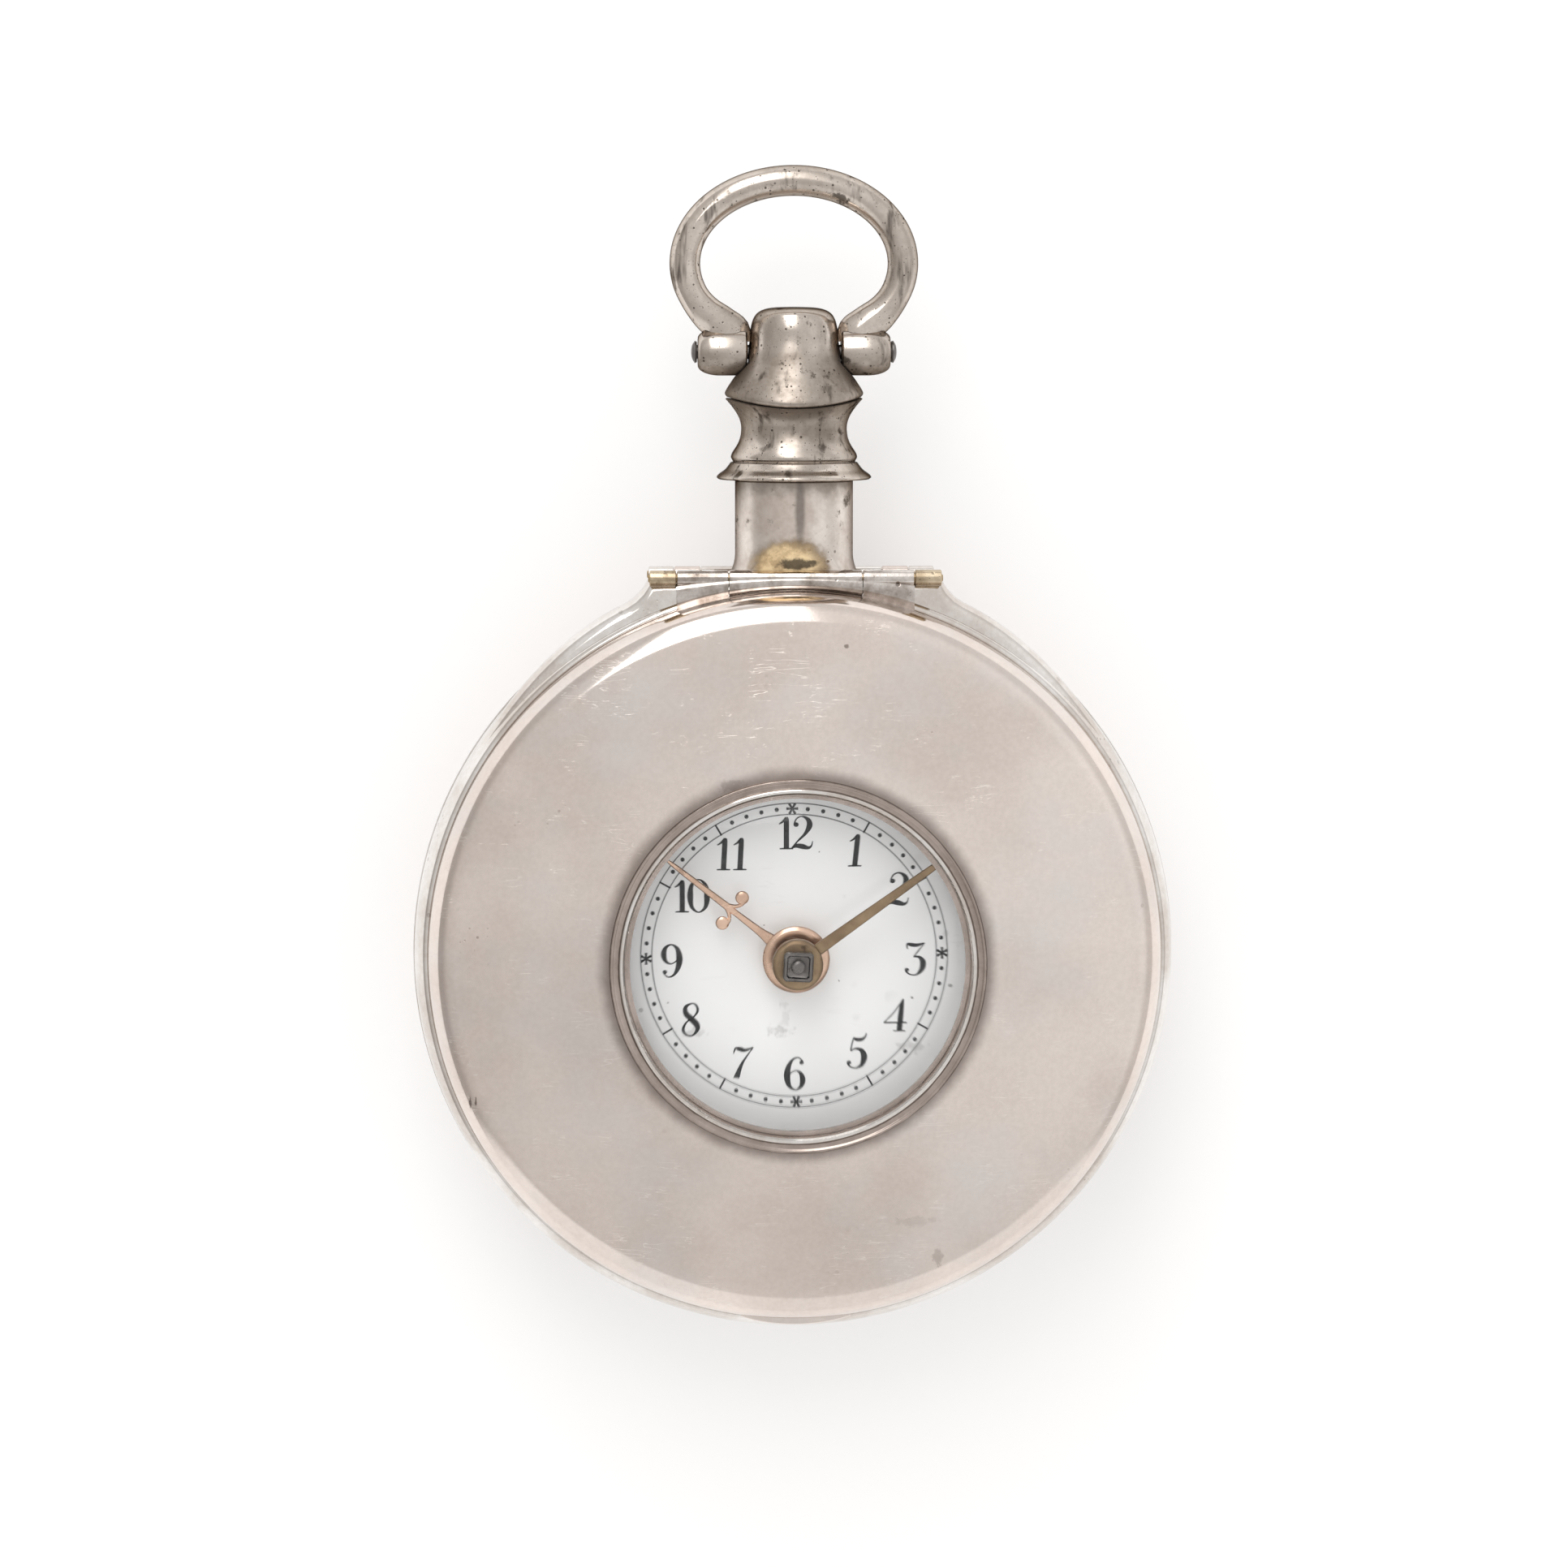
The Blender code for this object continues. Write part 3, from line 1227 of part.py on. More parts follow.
def make_centre():
    """The centre arbor with its pinion, and the centre wheel."""
    great_high = INNER_FACE - GREAT_DROP
    pinion_low = great_high - GREAT_THICK - PINION_SPARE
    turn = pinion_turn(FUSEE_BEARING + 180, CENTRE_PINION_TEETH)
    leaves = plate(
        pinion_outline(CENTRE_PINION_TEETH, GREAT_MODULE, turn), pinion_low, great_high + PINION_SPARE
    )
    stations = [
        (CENTRE_ARBOR_R, TOP_INNER - PIVOT_LENGTH),
        (CANNON_BORE_R - RUN_GAP, FRONT_FACE),
        (0, FRONT_FACE + CANNON_BORE - 2 * SEAT_GAP),
    ]
    place("centre_arbor", joined(shaft(stations), leaves), STEEL)
    high = INNER_FACE - CENTRE_WHEEL_DROP
    body = crossed_wheel(
        CENTRE_TEETH,
        CENTRE_MODULE,
        math.radians(THIRD_BEARING),
        4,
        2 * HUB_R,
        CENTRE_ARBOR_R + RUN_GAP / 2,
        high - CENTRE_WHEEL_THICK,
        high,
    )
    place("centre_wheel", body, GILT)


def make_third():
    """The third arbor with its pinion, and the third wheel."""
    wheel_high = INNER_FACE - CENTRE_WHEEL_DROP + PINION_SPARE
    wheel_low = INNER_FACE - CENTRE_WHEEL_DROP - CENTRE_WHEEL_THICK - PINION_SPARE
    outline = pinion_outline(
        THIRD_PINION_TEETH, CENTRE_MODULE, pinion_turn(THIRD_BEARING, THIRD_PINION_TEETH)
    )
    body = arbor(outline, wheel_low, wheel_high, TOP_INNER + SEAT_GAP, wheel_high + SEAT_GAP / 2)
    place("third_arbor", body, STEEL, upright(THIRD_AT))
    high = INNER_FACE - THIRD_DROP
    body = crossed_wheel(
        THIRD_TEETH,
        THIRD_MODULE,
        math.radians(CONTRATE_BEARING),
        4,
        1.5 * HUB_R,
        ARBOR_R + RUN_GAP / 2,
        high - THIRD_THICK,
        high,
    )
    place("third_wheel", body, GILT, upright(THIRD_AT))


def contrate_pitch_z():
    """The level at which the contrate wheel's teeth meet the crown wheel's pinion."""
    return ESCAPE_Z - CONTRATE_MODULE * ESCAPE_PINION_TEETH / 2


def crown_toothed(teeth, tooth_shares, bore_r, web, rim_inner, rim_outer, rim_low, web_low, root, tip, turn):
    """A wheel whose teeth stand up from its rim, as one closed ring with a web and a bore.

    Each (share, height share) pair is a corner of the tooth's crest, counted in pitches from the tooth.
    """
    mesh = bmesh.new()
    sections = []
    step = 2 * math.pi / teeth
    for i in range(teeth):
        for share, height_share in tooth_shares:
            angle = turn + (i + share) * step
            crest = root + (tip - root) * height_share
            section = [
                (bore_r, web_low),
                (rim_outer, rim_low),
                (rim_outer, crest),
                (rim_inner, crest),
                (rim_inner, web_low + web),
                (bore_r, web_low + web),
            ]
            sections.append(
                [mesh.verts.new((r * math.cos(angle), r * math.sin(angle), z)) for r, z in section]
            )
    count = len(sections)
    for i in range(count):
        bridge(mesh, sections[i], sections[(i + 1) % count])
    return finish(mesh)


def make_contrate():
    """The contrate arbor with its pinion, and the contrate wheel whose teeth stand parallel to its axis."""
    third_high = INNER_FACE - THIRD_DROP
    outline = pinion_outline(
        CONTRATE_PINION_TEETH, THIRD_MODULE, pinion_turn(CONTRATE_BEARING, CONTRATE_PINION_TEETH)
    )
    body = arbor(
        outline,
        third_high - THIRD_THICK - PINION_SPARE,
        third_high + PINION_SPARE,
        TOP_INNER + SEAT_GAP,
        INNER_FACE - SEAT_GAP,
    )
    place("contrate_arbor", body, STEEL, upright(CONTRATE_AT))
    pitch_z = contrate_pitch_z()
    root = pitch_z - WHEEL_DEDENDUM_SHARE * CONTRATE_MODULE
    web_low = root - CONTRATE_RIM - CONTRATE_WEB
    middle_r = CONTRATE_MODULE * CONTRATE_TEETH / 2
    body = crown_toothed(
        CONTRATE_TEETH,
        ((0, 1), (0.5, 0)),
        ARBOR_R + RUN_GAP / 2,
        CONTRATE_WEB,
        middle_r - CONTRATE_RIM_HALF,
        middle_r + CONTRATE_RIM_HALF,
        web_low,
        web_low,
        root,
        pitch_z + WHEEL_ADDENDUM_SHARE * CONTRATE_MODULE,
        math.radians(ESCAPE_BEARING),
    )
    place("contrate_wheel", body, GILT, upright(CONTRATE_AT))


def escape_frame():
    """The frame of the crown wheel's arbor: its Z runs from the contrate wheel to the verge."""
    turn = Matrix.Rotation(math.radians(ESCAPE_BEARING), 4, "Z")
    return turn @ along("X")


def make_escape():
    """The crown wheel on its level arbor, with the pinion that the contrate wheel drives."""
    middle = CONTRATE_MODULE * CONTRATE_TEETH / 2
    verge = ESCAPE_SPAN
    turn = math.pi + math.pi / ESCAPE_PINION_TEETH
    outline = pinion_outline(ESCAPE_PINION_TEETH, CONTRATE_MODULE, turn)
    web_high = verge - CROWN_TIP_REACH - CROWN_TOOTH - CROWN_RIM_LENGTH
    first = middle - CONTRATE_RIM_HALF - PINION_SPARE
    last = verge - NOSE_REACH - NOSE_THICK / 2 - SEAT_GAP
    leaves = plate(outline, first, middle + CONTRATE_RIM_HALF + PINION_SPARE)
    stations = [
        (PIVOT_R, first - PINION_SPARE),
        (ARBOR_R, first + PINION_SPARE),
        (PIVOT_R, web_high + CROWN_WEB),
        (0, last),
    ]
    body = joined(shaft(stations), leaves)
    at = upright(CONTRATE_AT, ESCAPE_Z)
    place("crown_wheel_arbor", moved(body, escape_frame()), STEEL, at)
    body = crown_toothed(
        CROWN_TEETH,
        CROWN_TOOTH_SHARES,
        ARBOR_R + RUN_GAP / 2,
        CROWN_WEB,
        CROWN_R - CROWN_RIM,
        CROWN_R,
        web_high - CROWN_WEB / 2,
        web_high - CROWN_WEB / 2,
        verge - CROWN_TIP_REACH - CROWN_TOOTH,
        verge - CROWN_TIP_REACH,
        math.pi / CROWN_TEETH,
    )
    place("crown_wheel", moved(body, escape_frame()), BRASS, at)


def make_verge(holder):
    """The verge staff with its two pallets and collet, upright through the top plate."""
    low = cock_under() + SEAT_GAP
    high = INNER_FACE - SEAT_GAP - POTENCE_FOOT_THICK - 2 * SEAT_GAP
    body = shaft([(VERGE_R, low), (0, high)])
    collet_z = TOP_OUTER - HAIRSPRING_DROP
    thick = HAIRSPRING_HEIGHT / 2
    body = joined(body, plate(circle(2 * VERGE_R, PIN_SIDES), collet_z - thick, collet_z + thick))
    towards = math.radians(ESCAPE_BEARING + 180)
    for way in (-1, 1):
        level = ESCAPE_Z + way * (CROWN_R - CROWN_RIM / 2)
        pallet = box(0, PALLET_REACH, -PALLET_THICK / 2, PALLET_THICK / 2, level - PALLET_HALF, level + PALLET_HALF)
        turn = Matrix.Rotation(towards + way * math.radians(PALLET_SPREAD / 2), 4, "Z")
        body = joined(body, moved(pallet, turn))
    place("verge_staff", body, STEEL, upright(VERGE_AT), holder)


def cock_under():
    """The level of the cock's face towards the balance."""
    return TOP_OUTER - COCK_DROP


def make_balance(holder):
    """The three-armed balance wheel."""
    high = TOP_OUTER - BALANCE_DROP
    holes = [circle(VERGE_R + RUN_GAP / 2, PIN_SIDES)]
    holes += crossings(BALANCE_ARMS, 2 * HUB_R, BALANCE_R - BALANCE_RIM, 5)
    body = plate(circle(BALANCE_R, RING_SIDES), high - BALANCE_THICK, high, holes)
    place("balance_wheel", body, GILT, upright(VERGE_AT), holder)


def spiral(inner_r, outer_r, turns, steps, height):
    """Points along a flat spiral, from the inside out."""
    count = turns * steps
    points = []
    for i in range(count + 1):
        radius = inner_r + (outer_r - inner_r) * i / count
        angle = 2 * math.pi * i / steps
        points.append(Vector((radius * math.cos(angle), radius * math.sin(angle), height)))
    return points


def least_gap(points, steps, thick):
    """The least room between neighbouring turns of a spiral."""
    gaps = [(a - b).length for a, b in zip(points, points[steps:])]
    return min(gaps) - thick


def make_hairspring():
    """The balance's spiral spring with the stud that holds its outer end."""
    level = TOP_OUTER - HAIRSPRING_DROP
    points = spiral(HAIRSPRING_INNER_R, HAIRSPRING_OUTER_R, HAIRSPRING_TURNS, SPRING_STEPS, level)
    inner = Vector((2 * VERGE_R + SEAT_GAP + HAIRSPRING_WIRE / 2, 0, level))
    body = swept([inner] + points, HAIRSPRING_WIRE / 2, HAIRSPRING_HEIGHT / 2)
    place("hairspring", body, BLUED_STEEL, upright(VERGE_AT))
    print("hairspring gap mm", round(least_gap(points, SPRING_STEPS, HAIRSPRING_WIRE) / MM, 3))
    first = HAIRSPRING_OUTER_R + HAIRSPRING_WIRE / 2 + SEAT_GAP
    stud = box(
        first, first + HUB_R, -HUB_R / 2, HUB_R / 2, level - HAIRSPRING_HEIGHT / 2, TOP_OUTER - SEAT_GAP
    )
    place("hairspring_stud", stud, BRASS, upright(VERGE_AT))


def make_cock():
    """The balance cock: a pierced round table, a neck over the rim, and a foot screwed to the plate."""
    low = cock_under() - COCK_THICK
    foot_top = TOP_OUTER - SEAT_GAP
    lean = math.asin(COCK_NECK_HALF / COCK_TABLE_R)
    outline = []
    for i in range(COCK_SIDES):
        angle = lean + (2 * math.pi - 2 * lean) * i / (COCK_SIDES - 1)
        outline.append(Vector((math.cos(angle), math.sin(angle))) * COCK_TABLE_R)
    outline += [
        Vector((COCK_FOOT_START, -COCK_FOOT_HALF)),
        Vector((COCK_FOOT_END, -COCK_FOOT_HALF)),
        Vector((COCK_FOOT_END, COCK_FOOT_HALF)),
        Vector((COCK_FOOT_START, COCK_FOOT_HALF)),
    ]
    holes = []
    for i in range(COCK_HOLES):
        at = polar(COCK_HOLE_CIRCLE_R, 360 * (i + 0.5) / COCK_HOLES)
        holes.append(circle(COCK_HOLE_R, PIN_SIDES, at))
    screw_x = (COCK_FOOT_START + COCK_FOOT_END) / 2
    holes.append(circle(COCK_SCREW_R + RUN_GAP, PIN_SIDES, Vector((screw_x, 0))))
    body = plate(outline, low, cock_under(), holes)
    foot_outline = rectangle(COCK_FOOT_START, COCK_FOOT_END, -COCK_FOOT_HALF, COCK_FOOT_HALF)
    bore = circle(COCK_SCREW_R / 2 + RUN_GAP, PIN_SIDES, Vector((screw_x, 0)))
    foot = plate(foot_outline, cock_under() - COCK_THICK / 2, foot_top, [bore])
    body = joined(body, foot)
    turn = Matrix.Rotation(math.radians(COCK_BEARING), 4, "Z")
    place("balance_cock", moved(body, turn), GILT, upright(VERGE_AT))
    head_top = cock_under() - COCK_THICK / 2 - SEAT_GAP
    body = shaft([(COCK_SCREW_R, low), (COCK_SCREW_R / 2, head_top), (0, foot_top)])
    at = polar(screw_x, COCK_BEARING, VERGE_AT)
    turn = Matrix.Rotation(math.radians(COCK_BEARING), 4, "Z")
    place("cock_screw", moved(body, turn), BLUED_STEEL, upright(at))


def make_regulator():
    """The regulator disc with its square, which a key turns."""
    high = TOP_OUTER - SEAT_GAP
    low = high - REGULATOR_THICK
    sides = STEM_SIDES
    body = stacked(
        [
            (circle(REGULATOR_R, sides, turn=math.pi / sides), high),
            (circle(REGULATOR_R, sides, turn=math.pi / sides), low),
            (square(WINDING_SQUARE, sides), low),
            (square(WINDING_SQUARE, sides), low - REGULATOR_THICK),
        ]
    )
    place("regulator_disc", body, SILVER, (REGULATOR_X, REGULATOR_Y, 0))


def make_potences():
    """The potence beyond the verge and the counter-potence inside the contrate wheel's rim."""
    low = TOP_INNER + SEAT_GAP
    high = INNER_FACE - SEAT_GAP
    post = box(POTENCE_NEAR, POTENCE_FAR, -POTENCE_HALF, POTENCE_HALF, low, high)
    reach = POTENCE_NEAR + OVERRUN
    arm = box(-2 * VERGE_R, reach, -POTENCE_ARM_HALF, POTENCE_ARM_HALF, high - POTENCE_FOOT_THICK, high)
    nose_low, nose_high = ESCAPE_Z - NOSE_HALF, ESCAPE_Z + NOSE_HALF
    nose_near = -NOSE_REACH - NOSE_THICK / 2
    side = box(nose_near, reach, NOSE_SIDE, NOSE_SIDE + NOSE_THICK, nose_low, nose_high)
    nose = box(
        nose_near, nose_near + NOSE_THICK, -PIVOT_R, NOSE_SIDE + NOSE_THICK / 2, nose_low, nose_high
    )
    body = joined(post, arm, side, nose)
    turn = Matrix.Rotation(math.radians(ESCAPE_BEARING), 4, "Z")
    place("potence", moved(body, turn), GILT, upright(VERGE_AT))
    first = CONTRATE_MODULE * CONTRATE_TEETH / 2 - CONTRATE_RIM_HALF - 2 * PINION_SPARE - SEAT_GAP
    post = box(
        first - COUNTER_THICK, first, -COUNTER_HALF, COUNTER_HALF, ESCAPE_Z - COUNTER_DROP, high
    )
    place("counter_potence", moved(post, turn), GILT, upright(CONTRATE_AT))


# The power: barrel, chain and fusee


def fusee_radius(drop):
    """The fusee's radius at a depth below its large end. Its profile is a hyperbola."""
    share = drop / (FUSEE_TURNS * FUSEE_PITCH)
    return FUSEE_LARGE_R / (1 + share * (FUSEE_LARGE_R / FUSEE_SMALL_R - 1))


# Corners of the groove in pitches: (place, place at which the radius is taken, share of the depth)
GROOVE_SHARES = ((0.0, 0.3, 1), (0.6, 0.3, 1), (0.68, 0.8, 0), (0.92, 0.8, 0))


def make_fusee():
    """The fusee: a cone with one spiral groove, its arbor and the winding square."""
    high = INNER_FACE - FUSEE_DROP
    mesh = bmesh.new()
    rows = len(GROOVE_SHARES)
    grid = []
    for i in range(rows * FUSEE_TURNS + 1):
        share, radius_share, depth_share = GROOVE_SHARES[i % rows]
        ring = []
        for j in range(FUSEE_SIDES):
            turns = i // rows + j / FUSEE_SIDES
            drop = (turns + share) * FUSEE_PITCH
            radius = fusee_radius((turns + radius_share) * FUSEE_PITCH) - depth_share * FUSEE_GROOVE
            angle = 2 * math.pi * j / FUSEE_SIDES
            ring.append(mesh.verts.new((radius * math.cos(angle), radius * math.sin(angle), high - drop)))
        grid.append(ring)
    last = len(grid) - 1 - rows
    for i in range(last + rows):
        for j in range(FUSEE_SIDES - 1):
            mesh.faces.new((grid[i][j], grid[i][j + 1], grid[i + 1][j + 1], grid[i + 1][j]))
        if i < last:
            mesh.faces.new((grid[i][-1], grid[i + rows][0], grid[i + rows + 1][0], grid[i + 1][-1]))
    top = grid[0] + [grid[k][0] for k in range(rows, 0, -1)]
    low_edge = grid[last + rows]
    bottom = low_edge + [grid[k][-1] for k in range(last + rows - 1, last - 1, -1)]
    for loop, height in ((top, high), (bottom, high - (FUSEE_TURNS + 1) * FUSEE_PITCH)):
        centre = mesh.verts.new((0, 0, height))
        for a, b in zip(loop, loop[1:] + loop[:1]):
            mesh.faces.new((a, b, centre))
    cone = finish(mesh)
    pivot_ring = circle(FUSEE_ARBOR_R, PIN_SIDES, turn=math.pi / PIN_SIDES)
    end = TOP_OUTER - WINDING_END
    body = stacked(
        [
            (pivot_ring, FRONT_FACE),
            (pivot_ring, TOP_OUTER),
            (square(WINDING_SQUARE, PIN_SIDES), TOP_OUTER),
            (square(WINDING_SQUARE, PIN_SIDES), end),
        ]
    )
    place("fusee", joined(cone, body), BRASS, upright(FUSEE_AT))


def make_great_wheel():
    """The great wheel under the fusee's large end."""
    high = INNER_FACE - GREAT_DROP
    body = crossed_wheel(
        GREAT_TEETH,
        GREAT_MODULE,
        math.radians(FUSEE_BEARING + 180),
        0,
        0,
        FUSEE_ARBOR_R + RUN_GAP / 2,
        high - GREAT_THICK,
        high,
    )
    place("great_wheel", body, BRASS, upright(FUSEE_AT))


def make_barrel():
    """The barrel with its lid, the arbor with the set-up ratchet, the click and the mainspring."""
    high = INNER_FACE - BARREL_DROP
    low = high - BARREL_HEIGHT
    bore = BARREL_ARBOR_R + RUN_GAP
    inner_r = BARREL_R - BARREL_WALL
    profile = [
        (bore, low),
        (BARREL_R, low),
        (BARREL_R, high),
        (inner_r, high),
        (inner_r, low + BARREL_FLOOR),
        (bore, low + BARREL_FLOOR),
    ]
    place("barrel", turned(profile, RING_SIDES), BRASS, upright(BARREL_AT))
    lid_top = high - LID_SINK
    lid_r = inner_r - SEAT_GAP
    profile = [(bore, lid_top - BARREL_FLOOR), (lid_r, lid_top - BARREL_FLOOR), (lid_r, lid_top), (bore, lid_top)]
    place("barrel_lid", turned(profile, HAND_SIDES), BRASS, upright(BARREL_AT))
    hub_low = low + BARREL_FLOOR + SPRING_MARGIN
    hub_high = lid_top - BARREL_FLOOR - SPRING_MARGIN
    stations = [
        (BARREL_ARBOR_R, TOP_OUTER),
        (BARREL_HUB_R, hub_low),
        (BARREL_ARBOR_R, hub_high),
        (0, FRONT_FACE + MOTION_CLEAR + RATCHET_THICK),
    ]
    body = shaft(stations)
    place("barrel_arbor", body, STEEL, upright(BARREL_AT))
    inner = BARREL_HUB_R + SPRING_WIRE / 2 + SEAT_GAP
    outer = inner_r - SPRING_WIRE / 2 - 2 * SEAT_GAP
    points = spiral(inner, outer, SPRING_TURNS, SPRING_STEPS, (hub_low + hub_high) / 2)
    body = swept(points, SPRING_WIRE / 2, (hub_high - hub_low) / 2)
    place("mainspring", body, BLUED_STEEL, upright(BARREL_AT))
    print("mainspring gap mm", round(least_gap(points, SPRING_STEPS, SPRING_WIRE) / MM, 3))
    outline = []
    for i in range(RATCHET_TEETH):
        for share, radius in ((0.0, RATCHET_ROOT_R), (0.9, RATCHET_R)):
            angle = 2 * math.pi * (i + share) / RATCHET_TEETH
            outline.append(Vector((math.cos(angle), math.sin(angle))) * radius)
    floor = FRONT_FACE + SEAT_GAP
    body = plate(outline, floor, floor + RATCHET_THICK, [circle(BARREL_ARBOR_R + SEAT_GAP, PIN_SIDES)])
    place("setup_ratchet", body, STEEL, upright(BARREL_AT))
    tip = RATCHET_R + SEAT_GAP
    nib = [
        Vector((tip, 0)),
        Vector((tip + CLICK_WIDTH, -CLICK_LENGTH)),
        Vector((tip + 2 * CLICK_WIDTH, -CLICK_LENGTH)),
        Vector((tip + CLICK_WIDTH, 0)),
    ]
    place("setup_click", plate(nib, floor, floor + RATCHET_THICK), STEEL, upright(BARREL_AT))


def chain_path(around, start, reaches, drops, turns, way):
    """Points of a wound stretch of chain. The reach and the drop follow the turn from the start bearing."""
    high = INNER_FACE - FUSEE_DROP
    path = []
    for i in range(round(turns * CHAIN_STEPS) + 1):
        turned_by = i / CHAIN_STEPS
        angle = math.degrees(start) + way * 360 * turned_by
        drop = drops(turned_by)
        path.append(upright(polar(reaches(drop), angle, around), high - drop))
    return path


def groove_reach(drop):
    """The chain's distance from the fusee's axis, in the groove at a depth below the large end."""
    return fusee_radius(drop) - FUSEE_GROOVE + CHAIN_GAP + CHAIN_THICK / 2


def make_chain():
    """The fusee chain: wound in the fusee's groove, straight across, and wound on the barrel.

    The wound stretches turn with their wheels, so the chain is parted at both ends of the straight run.
    """
    half = CHAIN_THICK / 2
    barrel_r = BARREL_R + CHAIN_GAP + half
    floor_share = GROOVE_SHARES[0][1]
    between = BARREL_AT - FUSEE_AT
    bearing = math.atan2(between.y, between.x)

    level = (math.floor(FUSEE_TURNS * CHAIN_LEVEL_SHARE) + floor_share) * FUSEE_PITCH
    lean = math.acos((groove_reach(level) - barrel_r) / between.length)
    leave = (bearing + lean) % (2 * math.pi)
    level += FUSEE_PITCH * leave / (2 * math.pi)
    wound = chain_path(
        FUSEE_AT, leave, groove_reach, lambda turn: level - FUSEE_PITCH * turn, CHAIN_FUSEE_TURN, -1
    )
    place("chain_on_fusee", swept(wound, half, CHAIN_HEIGHT / 2), STEEL)
    packed = chain_path(
        BARREL_AT,
        leave,
        lambda drop: barrel_r,
        lambda turn: level + CHAIN_BARREL_PITCH * turn,
        CHAIN_BARREL_TURN,
        1,
    )
    place("chain_on_barrel", swept(packed, half, CHAIN_HEIGHT / 2), STEEL)
    start, end = wound[0], packed[0]
    ahead = (end - start).normalized()
    land = fusee_radius(level - CHAIN_HEIGHT) + half + 2 * CHAIN_GAP
    clear_fusee = math.sqrt(land**2 - groove_reach(level) ** 2)
    outer = barrel_r + 2 * half + CHAIN_GAP
    clear_barrel = math.sqrt(outer**2 - barrel_r**2)
    run = [start + ahead * clear_fusee, end - ahead * clear_barrel]
    place("chain_run", swept(run, half, CHAIN_HEIGHT / 2), STEEL)


# The motion work and the hands


def make_cannon_pinion():
    """The cannon pinion, bored for the centre arbor, with the setting square on its end."""
    turn = math.radians(MINUTE_BEARING) + math.pi / CANNON_TEETH
    low = FRONT_FACE + SEAT_GAP
    leaves = plate(pinion_outline(CANNON_TEETH, CANNON_MODULE, turn), low, minute_wheel_top() + PINION_SPARE)
    square_low = MID_Z + MINUTE_BOSS_RISE + SEAT_GAP
    ring = circle(CANNON_PIPE_R, SMALL_SIDES, turn=math.pi / SMALL_SIDES)
    head = square(SQUARE_SIDE, SMALL_SIDES)
    pipe = stacked(
        [(ring, low + SEAT_GAP), (ring, square_low), (head, square_low), (head, MID_Z + SQUARE_RISE)]
    )
    bore = plate(circle(CANNON_BORE_R, PIN_SIDES), FRONT_FACE - OVERRUN, FRONT_FACE + CANNON_BORE)
    place("cannon_pinion", cut(joined(pipe, leaves), bore), STEEL)


def minute_wheel_top():
    """The level of the minute wheel's face towards the dial."""
    return FRONT_FACE + MOTION_CLEAR + MINUTE_WHEEL_THICK


def make_minute_wheel():
    """The minute wheel and its pinion, on a stud in the pillar plate."""
    turn = math.radians(MINUTE_BEARING) + math.pi
    high = minute_wheel_top()
    outline = wheel_outline(MINUTE_TEETH, CANNON_MODULE, turn)
    hole = circle(ARBOR_R + SEAT_GAP, PIN_SIDES)
    body = plate(outline, high - MINUTE_WHEEL_THICK, high, [hole])
    place("minute_wheel", body, BRASS, upright(MINUTE_AT))
    outline = pinion_outline(MINUTE_PINION_TEETH, HOUR_MODULE, turn + math.pi / MINUTE_PINION_TEETH)
    top = DIAL_UNDER - HOUR_WHEEL_SINK + PINION_SPARE
    stud = shaft([(ARBOR_R, INNER_FACE + SEAT_GAP), (0, top - SEAT_GAP)])
    body = joined(stud, plate(outline, high + SEAT_GAP, top))
    place("minute_pinion", body, STEEL, upright(MINUTE_AT))


def make_hour_wheel():
    """The hour wheel with the pipe that carries the hour hand."""
    high = DIAL_UNDER - HOUR_WHEEL_SINK
    bore = CANNON_PIPE_R + RUN_GAP
    outline = wheel_outline(HOUR_TEETH, HOUR_MODULE, math.radians(MINUTE_BEARING))
    body = plate(outline, high - HOUR_WHEEL_THICK, high, [circle(bore + HOUR_PIPE_WALL / 2, SMALL_SIDES)])
    outer = bore + HOUR_PIPE_WALL
    foot = high - HOUR_WHEEL_THICK - SEAT_GAP
    top = MID_Z + HOUR_COLLET_RISE
    profile = [(bore, foot), (outer, foot), (outer, top), (bore, top)]
    place("hour_wheel", joined(body, turned(profile, SMALL_SIDES)), BRASS)


